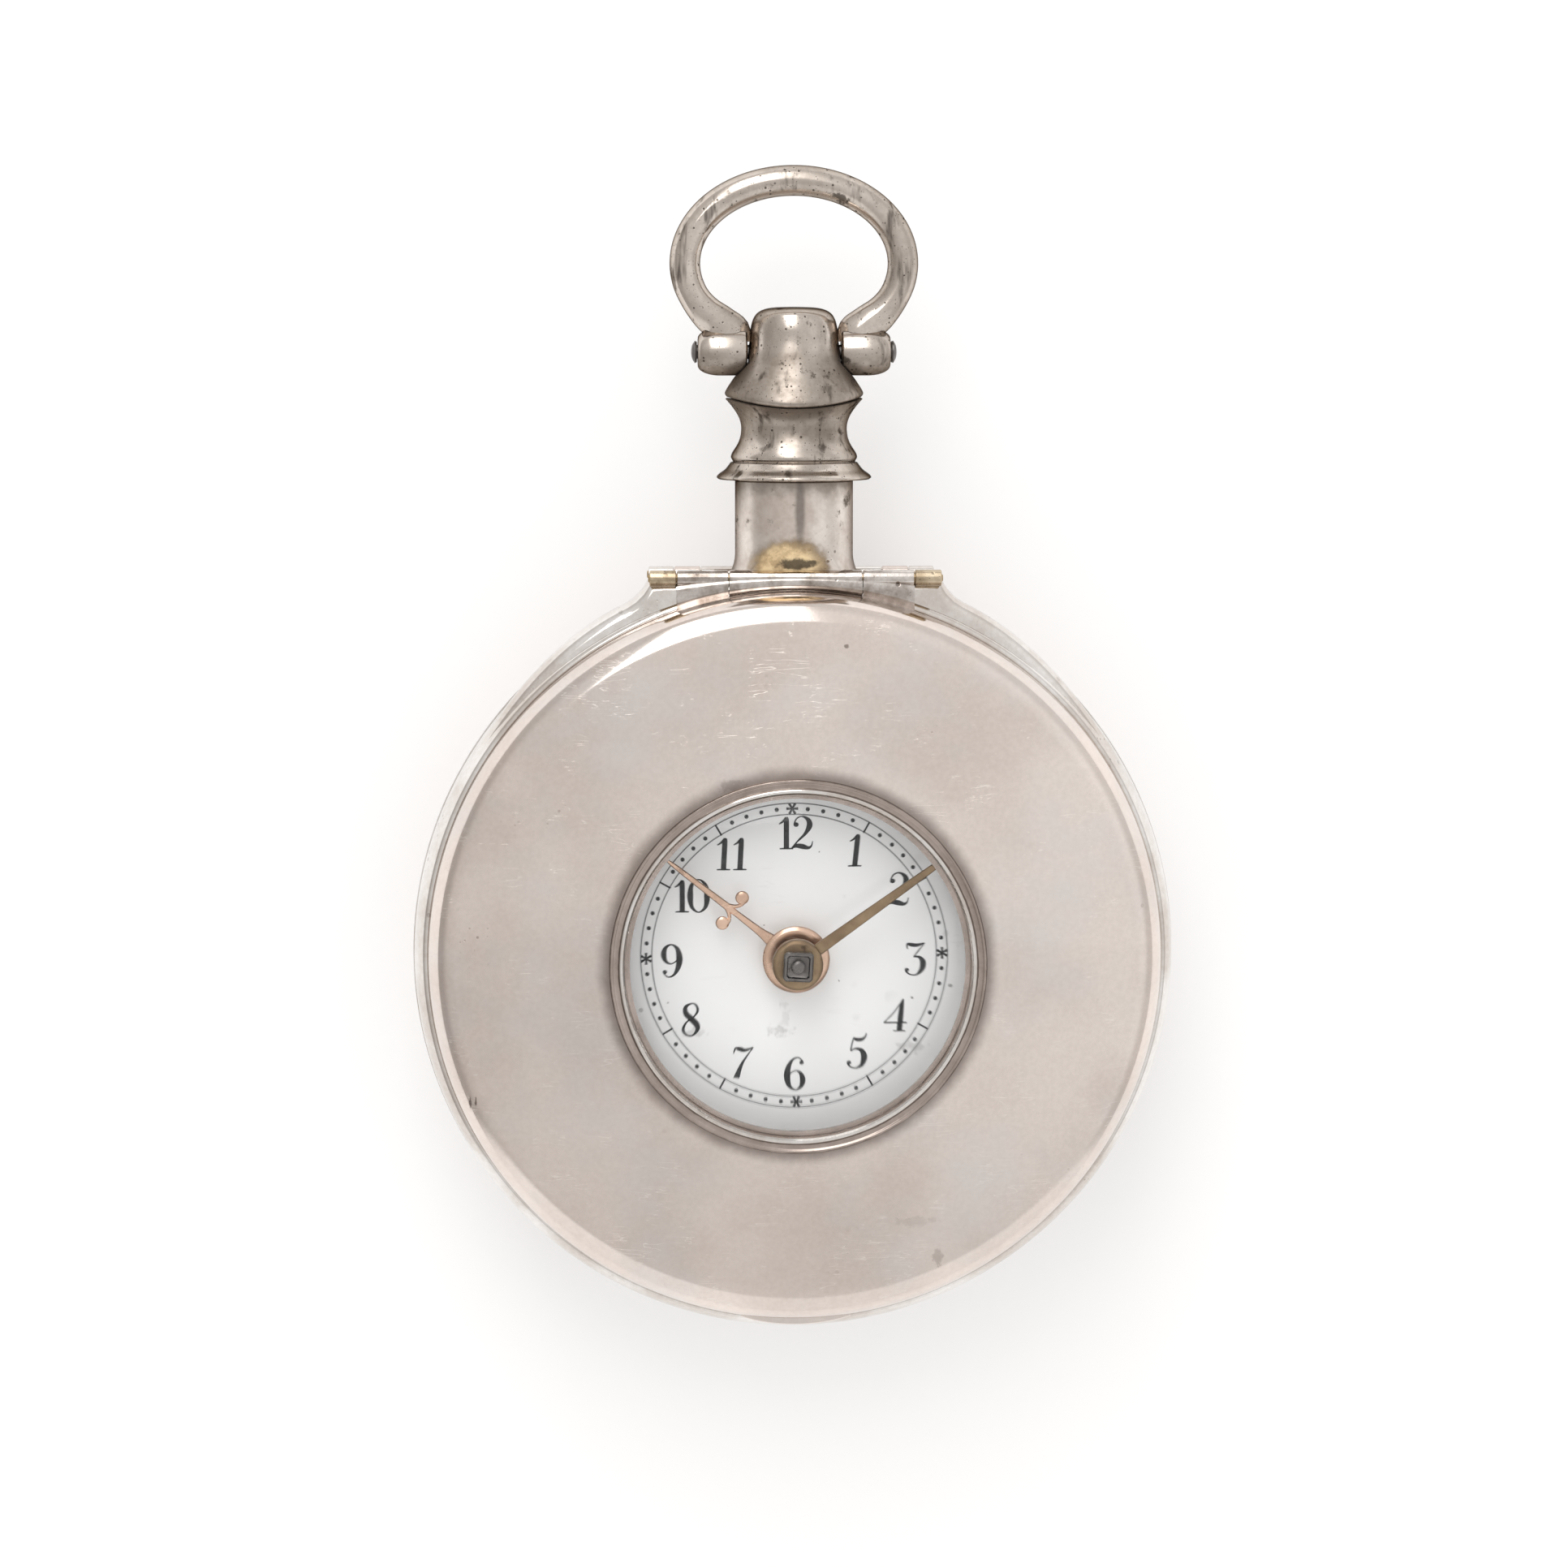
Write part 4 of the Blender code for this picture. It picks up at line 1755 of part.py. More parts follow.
def make_hour_hand():
    """The hour hand with its collet, and two scrolled arms that end in balls."""
    high = MID_Z + HOUR_COLLET_RISE
    low = high - HOUR_COLLET_THICK
    bore = CANNON_PIPE_R + RUN_GAP + HOUR_PIPE_WALL + SEAT_GAP
    profile = [
        (bore, low),
        (HOUR_COLLET_R, low),
        (HOUR_COLLET_R, high - HOUR_BLADE_THICK),
        (HOUR_COLLET_R - HOUR_BLADE_THICK, high),
        (bore, high),
    ]
    body = turned(profile, HAND_SIDES)
    blade_low = low + HOUR_BLADE_THICK / 4
    blade_high = blade_low + HOUR_BLADE_THICK
    root = HOUR_COLLET_R * HOUR_ROOT_SHARE
    outline = [
        Vector((-HOUR_BLADE_ROOT_HALF, root)),
        Vector((HOUR_BLADE_ROOT_HALF, root)),
        Vector((HOUR_BLADE_HALF, HOUR_SCROLL_AT)),
        Vector((HOUR_BLADE_HALF, HOUR_BLADE_LENGTH)),
        Vector((-HOUR_BLADE_HALF, HOUR_BLADE_LENGTH)),
        Vector((-HOUR_BLADE_HALF, HOUR_SCROLL_AT)),
    ]
    body = joined(body, plate(outline, blade_low, blade_high))
    level = (blade_low + blade_high) / 2
    for way in (-1, 1):
        arm = []
        for i in range(SCROLL_STEPS + 1):
            angle = math.radians(SCROLL_START + SCROLL_SWEEP * i / SCROLL_STEPS)
            across = way * (HOUR_SCROLL_R * math.cos(angle) + HOUR_BLADE_HALF / 2)
            arm.append(Vector((across, HOUR_SCROLL_AT + HOUR_SCROLL_R * (1 + math.sin(angle)), level)))
        ball_at = Vector((arm[-1].x + way * HOUR_BALL_R / 2, arm[-1].y))
        body = joined(body, swept(arm[:-1], HOUR_SCROLL_WIRE, HOUR_BLADE_THICK / 3))
        body = joined(body, plate(circle(HOUR_BALL_R, SMALL_SIDES, ball_at), blade_low, blade_high))
    turn = Matrix.Rotation(-math.radians(HOUR_HAND_CLOCKWISE), 4, "Z")
    place("hour_hand", moved(body, turn), ROSE_GOLD)


def make_minute_hand():
    """The plain tapered minute hand on its thick boss."""
    high = MID_Z + MINUTE_BOSS_RISE
    low = high - MINUTE_BOSS_THICK
    bore = CANNON_PIPE_R + SEAT_GAP
    profile = [
        (bore, low),
        (MINUTE_BOSS_R, low),
        (MINUTE_BOSS_R, high - MINUTE_BLADE_THICK),
        (MINUTE_BOSS_R - MINUTE_BLADE_THICK, high),
        (bore, high),
    ]
    body = turned(profile, HAND_SIDES)
    blade_high = MID_Z + MINUTE_BLADE_RISE
    root = MINUTE_BOSS_R * MINUTE_ROOT_SHARE
    outline = [
        Vector((-MINUTE_BLADE_HALF, root)),
        Vector((MINUTE_BLADE_HALF, root)),
        Vector((MINUTE_BLADE_TIP_HALF, MINUTE_BLADE_LENGTH)),
        Vector((-MINUTE_BLADE_TIP_HALF, MINUTE_BLADE_LENGTH)),
    ]
    body = joined(body, plate(outline, blade_high - MINUTE_BLADE_THICK, blade_high))
    turn = Matrix.Rotation(-math.radians(MINUTE_HAND_CLOCKWISE), 4, "Z")
    place("minute_hand", moved(body, turn), BRASS)


def main():
    """Clear the scene and build every piece of the watch."""
    for item in list(bpy.data.objects):
        bpy.data.objects.remove(item)
    front = pivot("front_cover_joint", FRONT_AXIS)
    back = pivot("back_cover_joint", BACK_AXIS)
    bow = pivot("bow_joint", BOW_AXIS)
    balance = pivot("balance_joint", upright(VERGE_AT))
    make_front_bezel()
    make_case_middle()
    make_front_cover(front)
    make_aperture_bezel(front)
    make_glass(front)
    make_back_cover(back)
    make_inner_dome()
    make_hinge_pins()
    make_pendant_neck()
    make_pendant_collar()
    make_pendant_head()
    make_bow(bow)
    make_bow_screws()
    make_dial()
    make_plates()
    make_pillars()
    make_centre()
    make_third()
    make_contrate()
    make_escape()
    make_verge(balance)
    make_balance(balance)
    make_hairspring()
    make_cock()
    make_regulator()
    make_potences()
    make_fusee()
    make_great_wheel()
    make_barrel()
    make_chain()
    make_cannon_pinion()
    make_minute_wheel()
    make_hour_wheel()
    make_hour_hand()
    make_minute_hand()


main()
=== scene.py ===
"""Dresses the demi-hunter pocket watch: smooth silver case work, enamel dial, hands, springs and chain.

Each sub-assembly is a class that holds its sizes, makes its meshes in the watch's own frame and puts them
on the bodies that they move with. Lengths in the dataclasses are in millimetres, and meshes are in metres.
"""

import json
import logging
from dataclasses import dataclass
from enum import Enum
from functools import cache
from math import asin, cos, pi, radians, sin, sqrt, tan
from typing import Iterable, Iterator, Optional, Sequence, Union

import bmesh
import bpy
from bpy.types import ID, Material, Mesh, Node, NodeTree, Object
from mathutils import Matrix, Vector

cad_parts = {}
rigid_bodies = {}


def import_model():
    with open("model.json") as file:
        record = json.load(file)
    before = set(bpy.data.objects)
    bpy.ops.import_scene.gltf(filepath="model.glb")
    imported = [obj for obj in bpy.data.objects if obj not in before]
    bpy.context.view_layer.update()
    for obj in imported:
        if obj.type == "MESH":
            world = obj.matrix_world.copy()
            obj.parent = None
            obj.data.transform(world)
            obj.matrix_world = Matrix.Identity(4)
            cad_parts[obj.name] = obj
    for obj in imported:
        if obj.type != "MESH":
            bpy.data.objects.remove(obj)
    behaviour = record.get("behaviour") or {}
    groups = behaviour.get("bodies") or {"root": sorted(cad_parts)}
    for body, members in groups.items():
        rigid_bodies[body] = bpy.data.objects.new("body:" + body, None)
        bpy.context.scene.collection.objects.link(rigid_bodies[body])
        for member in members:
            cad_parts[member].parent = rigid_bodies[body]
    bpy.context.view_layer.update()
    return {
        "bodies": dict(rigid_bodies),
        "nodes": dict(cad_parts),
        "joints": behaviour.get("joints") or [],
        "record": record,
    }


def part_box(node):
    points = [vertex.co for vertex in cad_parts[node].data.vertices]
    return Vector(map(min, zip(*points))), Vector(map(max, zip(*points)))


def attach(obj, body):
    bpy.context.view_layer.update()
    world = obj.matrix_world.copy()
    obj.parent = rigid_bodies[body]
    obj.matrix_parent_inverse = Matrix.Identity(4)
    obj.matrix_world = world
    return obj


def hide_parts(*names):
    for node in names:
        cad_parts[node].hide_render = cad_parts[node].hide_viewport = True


LOG = logging.getLogger("pocket_watch")
MM = 0.001
MID_Z = 13.0
SEAM_Z = 15.95
BACK_SEAM_Z = 8.4
BAND_R = 27.0
SEAM_R = 25.85
BACK_FLAT_R = 9.5
DIAL_TOP = 15.08
FRONT_AXIS = (0.0, 26.75, 15.75)
BACK_AXIS = (0.0, 26.6, 8.5)
BOW_AXIS = (0.0, 42.45, 13.0)
FUSEE_AT = (7.86386, -5.50633)
BARREL_AT = (-6.27975, -8.03771)
VERGE_AT = (7.75542, 4.11531)
GAP = 0.06
KNUCKLE_GAP = 0.05
SMOOTH_ANGLE = 38.0

Point = tuple[float, float]
Colour = tuple[float, float, float]
Mark = tuple[float, float, float, float, float]
Socket = bpy.types.NodeSocket
Sockets = bpy.types.bpy_prop_collection
Value = Union[float, tuple, Socket]


class Side(Enum):
    """The two sides of the pendant and of the hour hand."""

    LEFT = -1
    RIGHT = 1


class Ends(Enum):
    """How a swept form ends."""

    CAPPED = "capped"
    JOINED = "joined"


class Stroke(Enum):
    """What a part of a figure is drawn as."""

    LINE = "line"
    LOOP = "loop"
    BALL = "ball"


class Blend(Enum):
    """The way from one end of a range to the other, as Blender names it."""

    SMOOTH = "SMOOTHSTEP"
    LINEAR = "LINEAR"


class Lie(Enum):
    """The axis along which an upright form is laid, as the turn that does it."""

    ALONG_X = (90, "Y")
    AGAINST_X = (-90, "Y")
    ALONG_Y = (-90, "X")

    def turn(self) -> Matrix:
        """The turn as a matrix."""
        angle, about = self.value
        return Matrix.Rotation(radians(angle), 4, about)


# Shape helpers


class Form:
    """A mesh in the making, in millimetres, made of closed bodies that may pass through each other."""

    def __init__(self) -> None:
        """Start with no points and no faces."""
        self.points: list[Vector] = []
        self.faces: list[list[int]] = []

    def add(
        self, points: Iterable[Sequence[float]], faces: Iterable[Sequence[int]], place: Optional[Matrix] = None
    ) -> "Form":
        """Add a body.

        Args:
            points: Its corners.
            faces: Its faces, as places in the list of corners.
            place: Where it goes, if it isn't there already.

        Returns:
            The form itself.
        """
        first = len(self.points)
        for point in points:
            corner = Vector(point)
            self.points.append(place @ corner if place else corner)
        self.faces.extend([first + i for i in face] for face in faces)
        return self

    def turned(
        self, profile: Sequence[Point], sides: int, place: Optional[Matrix] = None, loop: bool = False
    ) -> "Form":
        """Add a body turned about Z.

        Args:
            profile: Points as (radius, height). An open profile starts and ends on the axis.
            sides: How many sides the round has.
            place: Where it goes.
            loop: Whether the profile closes on itself.

        Returns:
            The form itself.
        """
        points: list[Sequence[float]] = []
        rings: list[list[int]] = []
        for radius, height in profile:
            if radius < 1e-6:
                rings.append([len(points)] * sides)
                points.append((0.0, 0.0, height))
                continue
            rings.append(list(range(len(points), len(points) + sides)))
            for i in range(sides):
                angle = 2 * pi * i / sides
                points.append((*polar(radius, angle), height))
        pairs = list(zip(rings, rings[1:]))
        if loop:
            pairs.append((rings[-1], rings[0]))
        return self.add(points, [face for low, high in pairs for face in bridge(low, high)], place)

    def swept(
        self,
        rings: Sequence[Sequence[Sequence[float]]],
        ends: Ends = Ends.CAPPED,
        place: Optional[Matrix] = None,
    ) -> "Form":
        """Add a body from rings of as many corners each.

        Args:
            rings: The rings, in order.
            ends: Whether the ends are capped or meet each other.
            place: Where it goes.

        Returns:
            The form itself.
        """
        count = len(rings[0])
        points = [point for ring in rings for point in ring]
        index = [list(range(i * count, (i + 1) * count)) for i in range(len(rings))]
        faces = [face for low, high in zip(index, index[1:]) for face in bridge(low, high)]
        if ends is Ends.JOINED:
            faces += bridge(index[-1], index[0])
        else:
            faces += [index[0], index[-1]]
        return self.add(points, faces, place)

    def ribbon(
        self,
        line: Sequence[Sequence[float]],
        low: float,
        high: float,
        place: Optional[Matrix] = None,
        ends: Ends = Ends.CAPPED,
    ) -> "Form":
        """Add a flat strip whose width changes along its line.

        Args:
            line: Points as (x, y, half width).
            low: The level of its underside.
            high: The level of its face.
            place: Where it goes.
            ends: Whether the ends are capped or meet each other.

        Returns:
            The form itself.
        """
        rings = []
        for (x, y, half), side in zip(line, sides_of(line, ends)):
            dx, dy = side.x * half, side.y * half
            rings.append([(x + dx, y + dy, low), (x - dx, y - dy, low), (x - dx, y - dy, high), (x + dx, y + dy, high)])
        return self.swept(rings, ends, place)

    def slab(self, outline: Sequence[Point], low: float, high: float, place: Optional[Matrix] = None) -> "Form":
        """Add a flat plate with the given outline between two levels, and return the form."""
        rings = [[(x, y, level) for x, y in outline] for level in (low, high)]
        return self.swept(rings, Ends.CAPPED, place)

    def moved(self, place: Matrix) -> "Form":
        """Move all that is there, and return the form."""
        self.points = [place @ point for point in self.points]
        return self

    def mesh(self, name: str) -> Mesh:
        """Turn the form into a mesh in metres, with every face outwards.

        Args:
            name: The mesh's name.

        Returns:
            The mesh.
        """
        data = bpy.data.meshes.new(name)
        data.from_pydata([point * MM for point in self.points], [], self.faces)
        shape = bmesh.new()
        shape.from_mesh(data)
        bmesh.ops.remove_doubles(shape, verts=shape.verts, dist=0.00002 * MM)
        bmesh.ops.recalc_face_normals(shape, faces=shape.faces)
        shape.to_mesh(data)
        shape.free()
        return data

    def piece(self, name: str, angle: float = SMOOTH_ANGLE) -> Object:
        """Make the finished object, smooth but for edges sharper than an angle in degrees."""
        return as_piece(name, self.mesh(name), angle)


def bridge(low: Sequence[int], high: Sequence[int]) -> list[list[int]]:
    """Join two rings of as many corners; a ring on the axis is one corner repeated.

    Args:
        low: The first ring.
        high: The second ring.

    Returns:
        The faces between them.
    """
    faces = []
    count = len(low)
    for i in range(count):
        j = (i + 1) % count
        face: list[int] = []
        for corner in (low[i], low[j], high[j], high[i]):
            if corner not in face:
                face.append(corner)
        if len(face) > 2:
            faces.append(face)
    return faces


def as_piece(name: str, data: Mesh, angle: float = SMOOTH_ANGLE) -> Object:
    """Put a mesh into the scene as an object at the origin.

    Args:
        name: The piece's name.
        data: Its mesh, in metres.
        angle: The angle in degrees above which an edge stays sharp.

    Returns:
        The new object.
    """
    smoothed(data, angle)
    item = bpy.data.objects.new(name, data)
    bpy.context.scene.collection.objects.link(item)
    return item


def smoothed(data: Mesh, angle: float = SMOOTH_ANGLE) -> None:
    """Shade a mesh smooth but for edges sharper than an angle in degrees."""
    data.shade_smooth()
    data.set_sharp_from_angle(angle=radians(angle))


def at(point: Sequence[float]) -> Matrix:
    """The move to a point."""
    return Matrix.Translation(Vector(point))


def polar(radius: float, angle: float) -> Point:
    """The flat point at a radius and an angle in radians."""
    return (radius * cos(angle), radius * sin(angle))


def stations(first: float, last: float, steps: int) -> list[float]:
    """Even values from a first to a last one."""
    return [first + (last - first) * i / steps for i in range(steps + 1)]


def arc(centre: Point, radius: Point, first: float, last: float, steps: int) -> list[Point]:
    """Follow an ellipse.

    Args:
        centre: Its middle.
        radius: Its half width and half height.
        first: The angle in degrees at which the arc starts.
        last: The angle at which it ends.
        steps: How many steps there are.

    Returns:
        The arc's points.
    """
    angles = [radians(angle) for angle in stations(first, last, steps)]
    return [(centre[0] + radius[0] * cos(a), centre[1] + radius[1] * sin(a)) for a in angles]


def round_bevel(x: float, edge: float, high: float, ease: float, turns: Sequence[float]) -> list[tuple]:
    """The points of a rounded upper edge.

    Args:
        x: The station that they stand at.
        edge: How far out the edge reaches.
        high: The level of its top.
        ease: The rounding's radius.
        turns: The angles in degrees at which it has a point.

    Returns:
        The points, from the outside to the top.
    """
    angles = [radians(degrees) for degrees in turns]
    return [(x, edge - ease * (1 - cos(a)), high - ease * (1 - sin(a))) for a in angles]


def sides_of(line: Sequence[Sequence[float]], ends: Ends = Ends.CAPPED) -> Iterator[Vector]:
    """Find which way is sideways along a flat line.

    Args:
        line: Points whose first two values are x and y.
        ends: Whether the line's ends meet.

    Yields:
        A unit vector to the left at each point.
    """
    count = len(line)
    for i in range(count):
        if ends is Ends.JOINED:
            back, ahead = line[i - 1], line[(i + 1) % count]
        else:
            back, ahead = line[max(i - 1, 0)], line[min(i + 1, count - 1)]
        way = Vector((ahead[0] - back[0], ahead[1] - back[1])).normalized()
        yield Vector((-way.y, way.x))


def flowing(knots: Sequence[Sequence[float]], steps: int = 6, joined: bool = False) -> list[tuple[float, ...]]:
    """Draw a smooth line through points of any number of values.

    Args:
        knots: The points that it passes through.
        steps: How many steps there are between two of them.
        joined: Whether the line closes on itself.

    Returns:
        The line's points.
    """
    count = len(knots)
    line = []
    for i in range(count if joined else count - 1):
        near = (i - 1, i, i + 1, i + 2)
        four = [knots[k % count] if joined else knots[min(max(k, 0), count - 1)] for k in near]
        for step in range(steps):
            t = step / steps
            weights = (
                (-t + 2 * t**2 - t**3) / 2,
                (2 - 5 * t**2 + 3 * t**3) / 2,
                (t + 4 * t**2 - 3 * t**3) / 2,
                (-(t**2) + t**3) / 2,
            )
            line.append(tuple(sum(w * k[d] for w, k in zip(weights, four)) for d in range(len(knots[0]))))
    if not joined:
        line.append(tuple(knots[-1]))
    return line


def eased_loop(profile: Sequence[Point], ease: float, steps: int = 3) -> list[Point]:
    """Round every corner of a closed profile.

    Args:
        profile: The corners, as (radius, height).
        ease: How far along each side the rounding starts.
        steps: How many steps a corner takes.

    Returns:
        The rounded profile.
    """
    points = []
    corners = [profile[-1], *profile, profile[0]]
    for back, corner, ahead in zip(corners, corners[1:], corners[2:]):
        here = Vector(corner)
        starts = []
        for other in (back, ahead):
            way = Vector(other) - here
            starts.append(here + way.normalized() * min(ease, way.length * 0.45))
        for t in stations(0, 1, steps):
            place = starts[0] * (1 - t) ** 2 + here * 2 * t * (1 - t) + starts[1] * t**2
            points.append((place.x, place.y))
    return points


def cut_by(item: Object, *tools: Form) -> Object:
    """Cut closed forms out of a closed piece.

    Args:
        item: The piece, whose mesh is changed.
        tools: The forms to cut away.

    Returns:
        The piece.
    """
    for form in tools:
        tool = form.piece("cutter")
        modifier = item.modifiers.new("cut", "BOOLEAN")
        modifier.operation = "DIFFERENCE"
        modifier.solver = "EXACT"
        modifier.object = tool
        item.data = settled(item)
        item.modifiers.clear()
        bpy.data.objects.remove(tool)
    return item


def settled(item: Object) -> Mesh:
    """The plain mesh that a piece has once its modifiers have run."""
    graph = bpy.context.evaluated_depsgraph_get()
    graph.update()
    return bpy.data.meshes.new_from_object(item.evaluated_get(graph))


def mount(item: Object, body: str, slot: str, finish: Material, *stands_for: str) -> None:
    """Give a piece its finish, let it ride on a body and let it stand for solids of the frame.

    Args:
        item: The piece.
        body: The body that it moves with.
        slot: The record's material slot; not used.
        finish: The material.
        stands_for: The frame's nodes that it replaces.
    """
    if not item.data.materials:
        item.data.materials.append(finish)
    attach(item, body)
    if stands_for:
        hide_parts(*stands_for)
    LOG.info("%s: %d faces", item.name, len(item.data.polygons))


def dress(form: Form, node: str, body: str, slot: str, finish: Material) -> None:
    """Mount a form in the place of a frame's node, under that node's name with an ending."""
    mount(form.piece(f"{node}_dressed"), body, slot, finish, node)


# Shader helpers


class Wiring:
    """Adds and joins the nodes of one shader tree."""

    def __init__(self, tree: NodeTree) -> None:
        """Work on a tree."""
        self.tree = tree

    def add(
        self, kind: str, inputs: Optional[dict[Union[str, int], Value]] = None, **settings: object
    ) -> Node:
        """Add a node.

        Args:
            kind: The node's type.
            inputs: A value or an output for each named input.
            settings: The node's own settings.

        Returns:
            The node.
        """
        node = self.tree.nodes.new(kind)
        for name, value in settings.items():
            setattr(node, name, value)
        for name, value in (inputs or {}).items():
            self.put(node.inputs[name], value)
        return node

    def effect(self, tree: NodeTree, **inputs: Value) -> Sockets:
        """Add an effect's group, with its inputs named in words, and return its outputs."""
        named = {name.replace("_", " ").title(): value for name, value in inputs.items()}
        return self.add("ShaderNodeGroup", named, node_tree=tree).outputs

    def put(self, socket: Socket, value: Value) -> None:
        """Set an input, or join an output to it.

        Args:
            socket: The input.
            value: A number, a colour or an output.
        """
        if isinstance(value, Socket):
            self.tree.links.new(value, socket)
        elif isinstance(value, tuple) and len(value) == 3 and socket.type == "RGBA":
            socket.default_value = (*value, 1.0)
        else:
            socket.default_value = value

    def maths(self, operation: str, *values: Value, clamp: bool = False) -> Socket:
        """Work out one operation.

        Args:
            operation: Its name in Blender.
            values: What goes in.
            clamp: Whether the result is held between 0 and 1.

        Returns:
            The result.
        """
        node = self.add("ShaderNodeMath", operation=operation, use_clamp=clamp)
        for socket, value in zip(node.inputs, values):
            self.put(socket, value)
        return node.outputs[0]

    def times(self, first: Value, second: Value) -> Socket:
        """One value times another."""
        return self.maths("MULTIPLY", first, second)

    def plus(self, first: Value, second: Value, clamp: bool = False) -> Socket:
        """The sum of two values."""
        return self.maths("ADD", first, second, clamp=clamp)

    def less(self, first: Value, second: Value) -> Socket:
        """One value less another."""
        return self.maths("SUBTRACT", first, second)

    def length(self, across: Value, along: Value) -> Socket:
        """The length of a flat vector."""
        return self.maths("SQRT", self.plus(self.times(across, across), self.times(along, along)))

    def span(
        self,
        value: Value,
        low: float,
        high: float,
        to_low: float = 0.0,
        to_high: float = 1.0,
        blend: Blend = Blend.SMOOTH,
    ) -> Socket:
        """Take a value from one range to another, and hold it inside it.

        Args:
            value: The value.
            low: Where the first range starts.
            high: Where it ends.
            to_low: What its start becomes.
            to_high: What its end becomes.
            blend: The way between them.

        Returns:
            The new value.
        """
        ranges = {"Value": value, "From Min": low, "From Max": high, "To Min": to_low, "To Max": to_high}
        return self.add("ShaderNodeMapRange", ranges, interpolation_type=blend.value, clamp=True).outputs[0]

    def mix(self, share: Value, first: Value, second: Value) -> Socket:
        """A colour between two."""
        node = self.add("ShaderNodeMix", {0: share, 6: first, 7: second}, data_type="RGBA", clamp_factor=True)
        return node.outputs[2]

    def between(self, share: Value, first: Value, second: Value) -> Socket:
        """A number between two."""
        return self.add("ShaderNodeMix", {0: share, 2: first, 3: second}, data_type="FLOAT").outputs[0]

    def noise(self, vector: Value, scale: Value, detail: float, roughness: float) -> Socket:
        """Plain noise on a vector."""
        inputs = {"Vector": vector, "Scale": scale, "Detail": detail, "Roughness": roughness}
        return self.add("ShaderNodeTexNoise", inputs).outputs["Fac"]

    def wander(self, vector: Value, scale: float, reach: float, detail: float = 4.0, roughness: float = 0.6) -> Socket:
        """Noise about nought, for an edge that isn't straight."""
        return self.times(self.less(self.noise(vector, scale, detail, roughness), 0.5), reach)

    def stretched(self, vector: Value, turn: tuple, scale: tuple) -> Socket:
        """Turned and stretched coordinates."""
        return self.add("ShaderNodeMapping", {"Vector": vector, "Rotation": turn, "Scale": scale}).outputs[0]

    def place(self) -> Socket:
        """The object coordinates."""
        return self.add("ShaderNodeTexCoord").outputs["Object"]

    def split(self, vector: Value) -> Sockets:
        """The three parts of a vector."""
        return self.add("ShaderNodeSeparateXYZ", {0: vector}).outputs

    def plan(self) -> tuple[Socket, Socket, Socket, Socket]:
        """The object coordinates, and after them their x, y and z in millimetres."""
        place = self.place()
        return (place, *(self.maths("DIVIDE", part, MM) for part in self.split(place)))

    def marked(self, colour: Value, marks: Sequence[Mark], dirt_and_shade: Colour, tear: float) -> Value:
        """Lay small torn marks on a colour.

        Args:
            colour: The colour so far.
            marks: Each mark's x, y, half width, half height and strength.
            dirt_and_shade: The marks' colour.
            tear: How ragged their edges are.

        Returns:
            The marked colour.
        """
        place, across, along, _ = self.plan()
        torn = self.wander(place, 1500.0, tear, 5.0, 0.7)
        for x, y, reach_x, reach_y, depth in marks:
            dx = self.maths("DIVIDE", self.less(across, x), reach_x)
            dy = self.maths("DIVIDE", self.less(along, y), reach_y)
            shown = self.span(self.plus(self.length(dx, dy), torn), 0.55, 1.15, depth, 0.0)
            colour = self.mix(shown, colour, dirt_and_shade)
        return colour


def new_group(
    name: str, inputs: dict[str, float], outputs: Sequence[str]
) -> tuple[Wiring, Sockets, Sockets]:
    """Start a shader group with named value inputs and outputs.

    Args:
        name: The group's name.
        inputs: Each input's name and plain value.
        outputs: The names of its outputs.

    Returns:
        The group's wiring, what it is given and what it puts out.
    """
    tree = bpy.data.node_groups.new(name, "ShaderNodeTree")
    for label, value in inputs.items():
        socket = tree.interface.new_socket(name=label, in_out="INPUT", socket_type="NodeSocketFloat")
        socket.default_value = value
    for label in outputs:
        tree.interface.new_socket(name=label, in_out="OUTPUT", socket_type="NodeSocketFloat")
    w = Wiring(tree)
    return w, w.add("NodeGroupInput").outputs, w.add("NodeGroupOutput").inputs


def new_finish(name: str) -> tuple[Material, Wiring, Sockets]:
    """Start a material.

    Args:
        name: Its name.

    Returns:
        The material, its wiring and its Principled shader's inputs.
    """
    finish = bpy.data.materials.new(name)
    finish.use_nodes = True
    return finish, Wiring(finish.node_tree), finish.node_tree.nodes["Principled BSDF"].inputs


